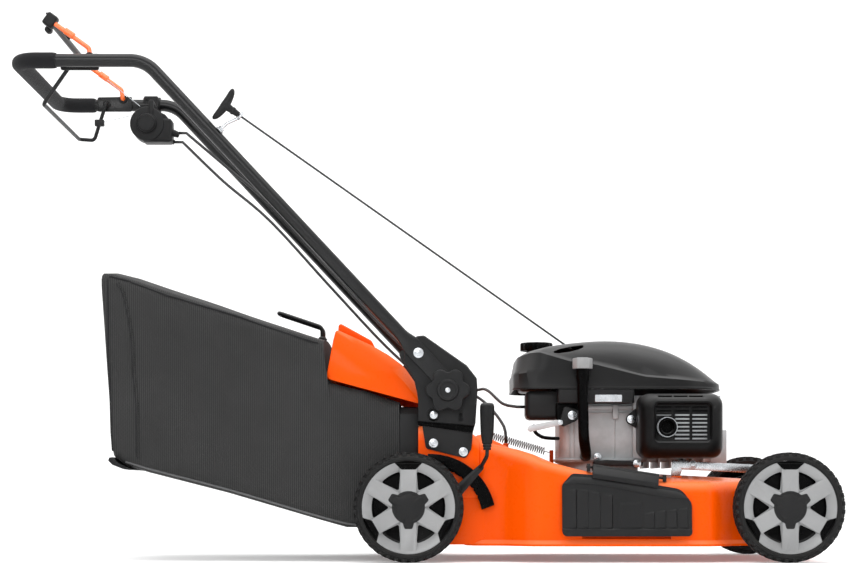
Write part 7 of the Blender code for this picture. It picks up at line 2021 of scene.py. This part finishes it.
def make_flap_hinge():
    """The flap's own barrel and web, bored for the pin that stays with the deck."""
    knuckle, bore = [[(radius * math.sin(a), radius * math.cos(a)) for a in full_circle(sides)]
                     for radius, sides in ((0.0068, 20), (0.0029, 16))]
    web = [(-0.002, -0.0045), (-0.0215, -0.0205), (-0.0235, -0.0120), (-0.0120, 0.0020), (-0.002, 0.0055)]
    barrel = soften(hinge_bar("barrel", 0.0115, 0.1400, knuckle), 0.0012, 2, 30)
    arm = soften(hinge_bar("web", 0.0125, 0.1390, web), 0.0012, 2, 30)
    cut(barrel, hinge_bar("pin_bore", -0.01, 0.17, bore))
    dress(joined("flap_barrel", [barrel, arm]), "plastic", "side_flap", ["side_flap"], sharp=36)


make_side_flap()
make_flap_hinge()
print("side flap ready")

# %% [markdown]
# ## Rear flap
# The sprung flap closes the chute when the bag is off. It is a pressed cover with deep cheeks and a
# wide roll between top and cheek, which catches the light as a pale band. A solid with rolled edges
# is hollowed by a smaller one, and a second rolled block stands on top as its grip.

# %% Rear flap
def profile_block(name, outline, half, width, segments, limit):
    return soften(plate(name, [outline], -half, half), width, segments, limit)


def shoulder(inward):
    """What is cut away above the cheeks, so that each leans in and the lean widens to the front."""
    line = [(-0.205, 0.466, 0.002), (-0.1696, 0.4411, 0.009), (-0.1354, 0.4198, 0.014), (-0.0926, 0.3912, 0.022),
            (-0.0641, 0.3713, 0.026), (-0.0386, 0.3456, 0.032), (-0.0142, 0.3157, 0.030), (0.030, 0.255, 0.030)]
    wedges = []
    for side in (-1, 1):
        rings = []
        for x, low, rise in line:
            high = low + rise + 0.040
            wedge = ((0.2001, low), (0.2001 - 0.75 * rise - 0.030, high), (0.2300, high), (0.2300, low))
            rings.append([(x, side * (y - inward), z) for y, z in wedge])
        wedges.append(loft("wedge", rings))
    return joined("wedges", wedges)


def make_rear_flap():
    top = [(0.014, 0.322), (-0.013, 0.3390), (-0.040, 0.3780), (-0.070, 0.4000), (-0.1015, 0.4180), (-0.171, 0.4490)]
    radii = [0.004, 0.010, 0.060, 0.080, 0.080, 0.006]
    outline = rounded([(-0.196, 0.325), (-0.012, 0.280), (0.012, 0.280)] + top + [(-0.1765, 0.4280)],
                      [0.002, 0.002, 0.004] + radii + [0.010], 8)
    flap = profile_block("rear_flap_piece", outline, 0.200, 0.0115, 6, 60)
    inner = rounded([(-0.190, 0.320), (-0.016, 0.270), (0.009, 0.270), (0.009, 0.322), (-0.015, 0.3345),
                     (-0.041, 0.3740), (-0.070, 0.3962), (-0.1015, 0.4140), (-0.168, 0.4435), (-0.1735, 0.428)],
                    [0, 0, 0, 0.004, 0.010, 0.060, 0.060, 0.060, 0.004, 0.008], 6)
    cut(flap, shoulder(0.0))
    hollow = profile_block("inner", inner, 0.1972, 0.0070, 4, 60)
    cut(hollow, shoulder(0.0032))
    cut(flap, hollow)
    under = plate("under", [[(-0.30, 0.3850), (-0.1925, 0.3560), (-0.186, 0.3528), (-0.178, 0.3505), (-0.012, 0.3055),
                             (0.03, 0.3055), (0.03, 0.20), (-0.30, 0.20)]], -0.3, 0.3)
    cut(flap, under)
    corner = [(-0.30, 0.3657), (-0.1883, 0.3657), (-0.1884, 0.3619), (-0.1875, 0.3582), (-0.1855, 0.3549),
              (-0.1826, 0.3524), (-0.1789, 0.3508), (-0.17, 0.20), (-0.30, 0.20)]
    cut(flap, plate("corner", [corner], -0.3, -0.187), plate("corner", [corner], 0.187, 0.3))
    soften(flap, 0.0007, 2, 50)
    hump = rounded([(-0.170, 0.4400), (-0.1680, 0.4660), (-0.1040, 0.4305), (-0.0975, 0.4180), (-0.1000, 0.4100)],
                   [0.002, 0.005, 0.010, 0.006, 0.002], 6)
    grip = profile_block("grip", hump, 0.150, 0.0060, 4, 50)
    pins = [rod("pin", (0.004, side * 0.197, 0.316), (0.004, side * 0.2190, 0.316), 0.0038, 24) for side in (-1, 1)]
    flap = joined("rear_flap_piece", [flap, grip] + pins)
    return dress(flap, "enamel", "rear_flap", ["rear_flap"], sharp=42)


make_rear_flap()
print("rear flap ready")

# %% [markdown]
# ## Grass bag
# The bag is coarse ribbed cloth over a light wire frame. It is a lofted shell whose sections follow
# its side view, taut along the frame's top corners and sagging between them. A few long, shallow
# dents and the pull of the seams keep it from looking like a box. Its seams are bound edges with a
# line of stitches, and a moulded rail stiffens the lower rear edge.

# %% Bag sections
BAG_HALF, BAG_CORNER = 0.210, 0.022
MOUTH_X, FRAME_TOP = -0.0126 - 0.036, 0.300
# Each station: the lower and the upper end of its line in the side view, half width, crown.
BAG_STATIONS = [
    ((MOUTH_X, 0.127), (MOUTH_X, FRAME_TOP + 0.0090), 0.1995, 0.0),
    ((-0.080, 0.095), (-0.120, 0.3320), 0.204, 0.0),
    ((-0.115, 0.066), (-0.1975, 0.3490), BAG_HALF, 0.0),
    ((-0.150, 0.066), (-0.1950, 0.4120), BAG_HALF, 0.005),
    ((-0.200, 0.080), (-0.1945, 0.4270), BAG_HALF, 0.012),
    ((-0.380, 0.133), (-0.4100, 0.4930), BAG_HALF, 0.018),
    ((-0.532, 0.172), (-0.5680, 0.5450), BAG_HALF, 0.018),
    ((-0.576, 0.185), (-0.6050, 0.5550), BAG_HALF - 0.003, 0.016),
    ((-0.598, 0.200), (-0.6225, 0.5565), BAG_HALF - 0.007, 0.013),
]


def bag_outline(low, high, half, crown):
    """A section between two points of the side view: even points round a rounded box, domed on top."""
    height = high[1] - low[1]
    ring = []
    for y, rise in even_ring(rounded_box(-half, half, 0, height, BAG_CORNER, 6), 132):
        share = rise / height
        lift = crown * share ** 3 * max(0.0, 1 - (y / half) ** 2)
        ring.append(Vector((low[0] + (high[0] - low[0]) * share, y, low[1] + rise + lift)))
    return ring


def even_ring(outline, count):
    """The same closed outline read at equal steps of its length."""
    closed = [Vector(p) for p in outline] + [Vector(outline[0])]
    lengths = [0.0]
    for a, b in zip(closed, closed[1:]):
        lengths.append(lengths[-1] + (b - a).length)
    made, k = [], 0
    for i in range(count):
        want = lengths[-1] * i / count
        while lengths[k + 1] < want:
            k += 1
        share = (want - lengths[k]) / max(1e-9, lengths[k + 1] - lengths[k])
        made.append(tuple(closed[k].lerp(closed[k + 1], share)))
    return made


def sag(point, half):
    """Moves a point of the cloth inwards: soft dents, deepest in the middle of each face."""
    x, y, z = point
    flank = ease((abs(y) - half * 0.9) / (half * 0.1))
    middle_x = max(0.0, math.sin(math.pi * min(1.0, max(0.0, (-x - 0.10) / 0.51))))
    low_z, high_z = 0.066 + max(0.0, -x - 0.15) * 0.285, 0.412 + max(0.0, -x - 0.20) * 0.345
    middle_z = max(0.0, math.sin(math.pi * min(1.0, max(0.0, (z - low_z) / max(0.05, high_z - low_z)))))
    waves = 0.5 + 0.5 * noise.noise(Vector((x * 5.0, y * 2.0, z * 4.0 - x * 3.0)))
    folds = 0.5 + 0.5 * noise.noise(Vector((x * 16.0 + z * 9.0, y * 4.0, z * 7.0)))
    depth = flank * middle_z * (0.0100 * middle_x * (0.5 + waves) + 0.0030 * folds)
    point.y -= math.copysign(depth, y)
    roof = (1 - flank) * ease((z - (high_z - 0.05)) / 0.05)
    point.z -= roof * (0.0050 * middle_x * waves + 0.0016 * folds)
    return point


def bag_skin(shrink):
    """Every section of the bag, with in-between sections for a smooth skin."""
    rings = []
    keys = [bag_outline(low, high, half, crown) for low, high, half, crown in BAG_STATIONS]
    halves = [station[2] for station in BAG_STATIONS]
    for k in range(len(keys) - 1):
        gap = max((keys[k + 1][i] - keys[k][i]).length for i in range(0, len(keys[k]), 11))
        steps = max(1, round(gap / 0.012))
        for s in range(steps):
            t = s / steps
            rings.append(([a.lerp(b, t) for a, b in zip(keys[k], keys[k + 1])],
                          halves[k] + (halves[k + 1] - halves[k]) * t))
    rings.append((keys[-1], halves[-1]))
    made = []
    for number, (ring, half) in enumerate(rings):
        fresh = [sag(point.copy(), half) if number else point.copy() for point in ring]
        if shrink:
            centre = sum(fresh, Vector()) / len(fresh)
            fresh = [point + (centre - point).normalized() * shrink for point in fresh]
        made.append(fresh)
    return made


print("bag stations", len(BAG_STATIONS))


# %% Bag cloth
def make_bag():
    """The cloth: outside, a crowned back, and a thin inside. Its weave runs along each face."""
    outside, inside = bag_skin(0), bag_skin(0.0022)
    last, back = outside[-1], inside[-1]
    centre = sum(last, Vector()) / len(last)
    for share, bulge in ((0.985, 0.0030), (0.93, 0.0050), (0.80, 0.0035), (0.60, -0.0010), (0.35, -0.0040),
                         (0.12, -0.0050)):
        outside.append([centre.lerp(point, share) + Vector((-bulge, 0, 0)) for point in last])
    for share in (0.5, 0.1):
        inside.append([centre.lerp(point, share) + Vector((0.0030, 0, 0)) for point in back])
    bm = bmesh.new()
    uv = bm.loops.layers.uv.new("UVMap")
    loops = [[bm.verts.new(point) for point in ring] for ring in inside[::-1] + outside]
    step = 1.20 / len(last)
    for k, (near, far) in enumerate(zip(loops, loops[1:])):
        for i, face in enumerate(band(bm, near, far)):
            flank = abs(face.calc_center_median().y) > 0.15
            for loop, u in zip(face.loops, (i, i + 1, i + 1, i)):
                x, y, z = loop.vert.co
                loop[uv].uv = (x, z if flank else u * step) if k < len(loops) - 7 else (y, z)
    bm.faces.new(loops[0][::-1])
    bm.faces.new(loops[-1])
    bag = from_bmesh("bag_cloth_piece", bm)
    dress(bag, "cloth", "bag", ["bag_fabric"], sharp=60)
    return bag


BAG = make_bag()
print("bag faces", len(BAG.data.polygons))


# %% Seams, rail and binding
def skin_point(x, y, z, out):
    """The nearest point of the bag's cloth, lifted off by a little."""
    _, place, normal, _ = BAG.closest_point_on_mesh(Vector((x, y, z)))
    return place + normal * out


def seam(name, picks, out=0.0008, width=0.0016, finish="webbing"):
    """A narrow bound ridge that follows the cloth."""
    route = [tuple(skin_point(*p, out)) for p in flowing(picks, 0.008)]
    ridge = sweep(name, route, width, 10)
    return dress(ridge, finish, "bag"), route


side_seam = [(-0.594, 0.543), (-0.579, 0.494), (-0.567, 0.418), (-0.558, 0.315), (-0.556, 0.200)]
for word, side in SIDES:
    _, route = seam("rear_seam_" + word, [(x, side * 0.24, z) for x, z in side_seam], 0.0002, 0.0012)
    stitched("rear_stitches_" + word, [tuple(skin_point(p[0] + 0.005, p[1], p[2], 0.0003)) for p in route])
    top_edge = [(-0.612, side * 0.212, 0.562), (-0.566, side * 0.216, 0.553), (-0.41, side * 0.216, 0.501),
                (-0.202, side * 0.216, 0.434)]
    seam("top_binding_" + word, top_edge, 0.0006, 0.0021)
    low_edge = [(-0.585, side * 0.214, 0.180), (-0.532, side * 0.216, 0.166), (-0.38, side * 0.216, 0.127),
                (-0.20, side * 0.216, 0.074), (-0.128, side * 0.212, 0.062)]
    seam("low_binding_" + word, low_edge, 0.0006, 0.0020, "piping")
back_edge = [(-0.612, y, z) for y, z in ((-0.196, 0.215), (-0.206, 0.24), (-0.206, 0.52), (-0.196, 0.545),
                                         (-0.10, 0.556), (0.10, 0.556), (0.196, 0.545), (0.206, 0.52), (0.206, 0.24),
                                         (0.196, 0.215))]
seam("back_binding", back_edge, 0.0006, 0.0020)


def make_bag_rail():
    """Moulded rail under the bag's rear edge, wrapped round both lower corners."""
    section = [(-0.6080, 0.2020), (-0.6100, 0.1960), (-0.6020, 0.1880), (-0.5800, 0.1795), (-0.5680, 0.1780),
               (-0.5640, 0.1795), (-0.5760, 0.1835), (-0.5930, 0.1930), (-0.6010, 0.2030)]
    middle_x, middle_z = -0.590, 0.190
    rings = []
    for y in (-0.2105, -0.2085, -0.19, 0.19, 0.2085, 0.2105):
        shrink = 0.7 if abs(y) > 0.21 else 1.0
        rings.append([(middle_x + (x - middle_x) * shrink, y, middle_z + (z - middle_z) * shrink - 0.0012)
                      for x, z in section])
    return dress(soften(loft("bag_rail", rings), 0.0010, 2, 40), "plastic", "bag")


make_bag_rail()
refined("bag_frame", "bag_frame_piece", "plastic", "bag", 0.0030, 3)
print("seams and rail ready")


# %% Carrying loop
def make_bag_handle():
    """A round bar bent to a narrow loop that reaches back over the bag's ridge."""
    near, far, half, foot = -0.2070, -0.2950, 0.022, 0.4440
    side = [(near, half, foot), (near, half, 0.4660), (far, half, 0.4956)]
    route = bent(side + [(x, -y, z) for x, y, z in side[::-1]], 0.012, 10)
    pieces = [sweep("bag_handle_piece", route, 0.0042, 24)]
    for y in (-half, half):
        socket = rod("foot", (near, y, foot - 0.0010), (near, y, foot + 0.0030), 0.0085, 28, 0.0065)
        pieces.append(soften(socket, 0.0010, 2))
    return dress(joined("bag_handle_piece", pieces), "satin_plastic", "bag", ["bag_handle"], sharp=45)


make_bag_handle()
print("bag ready")
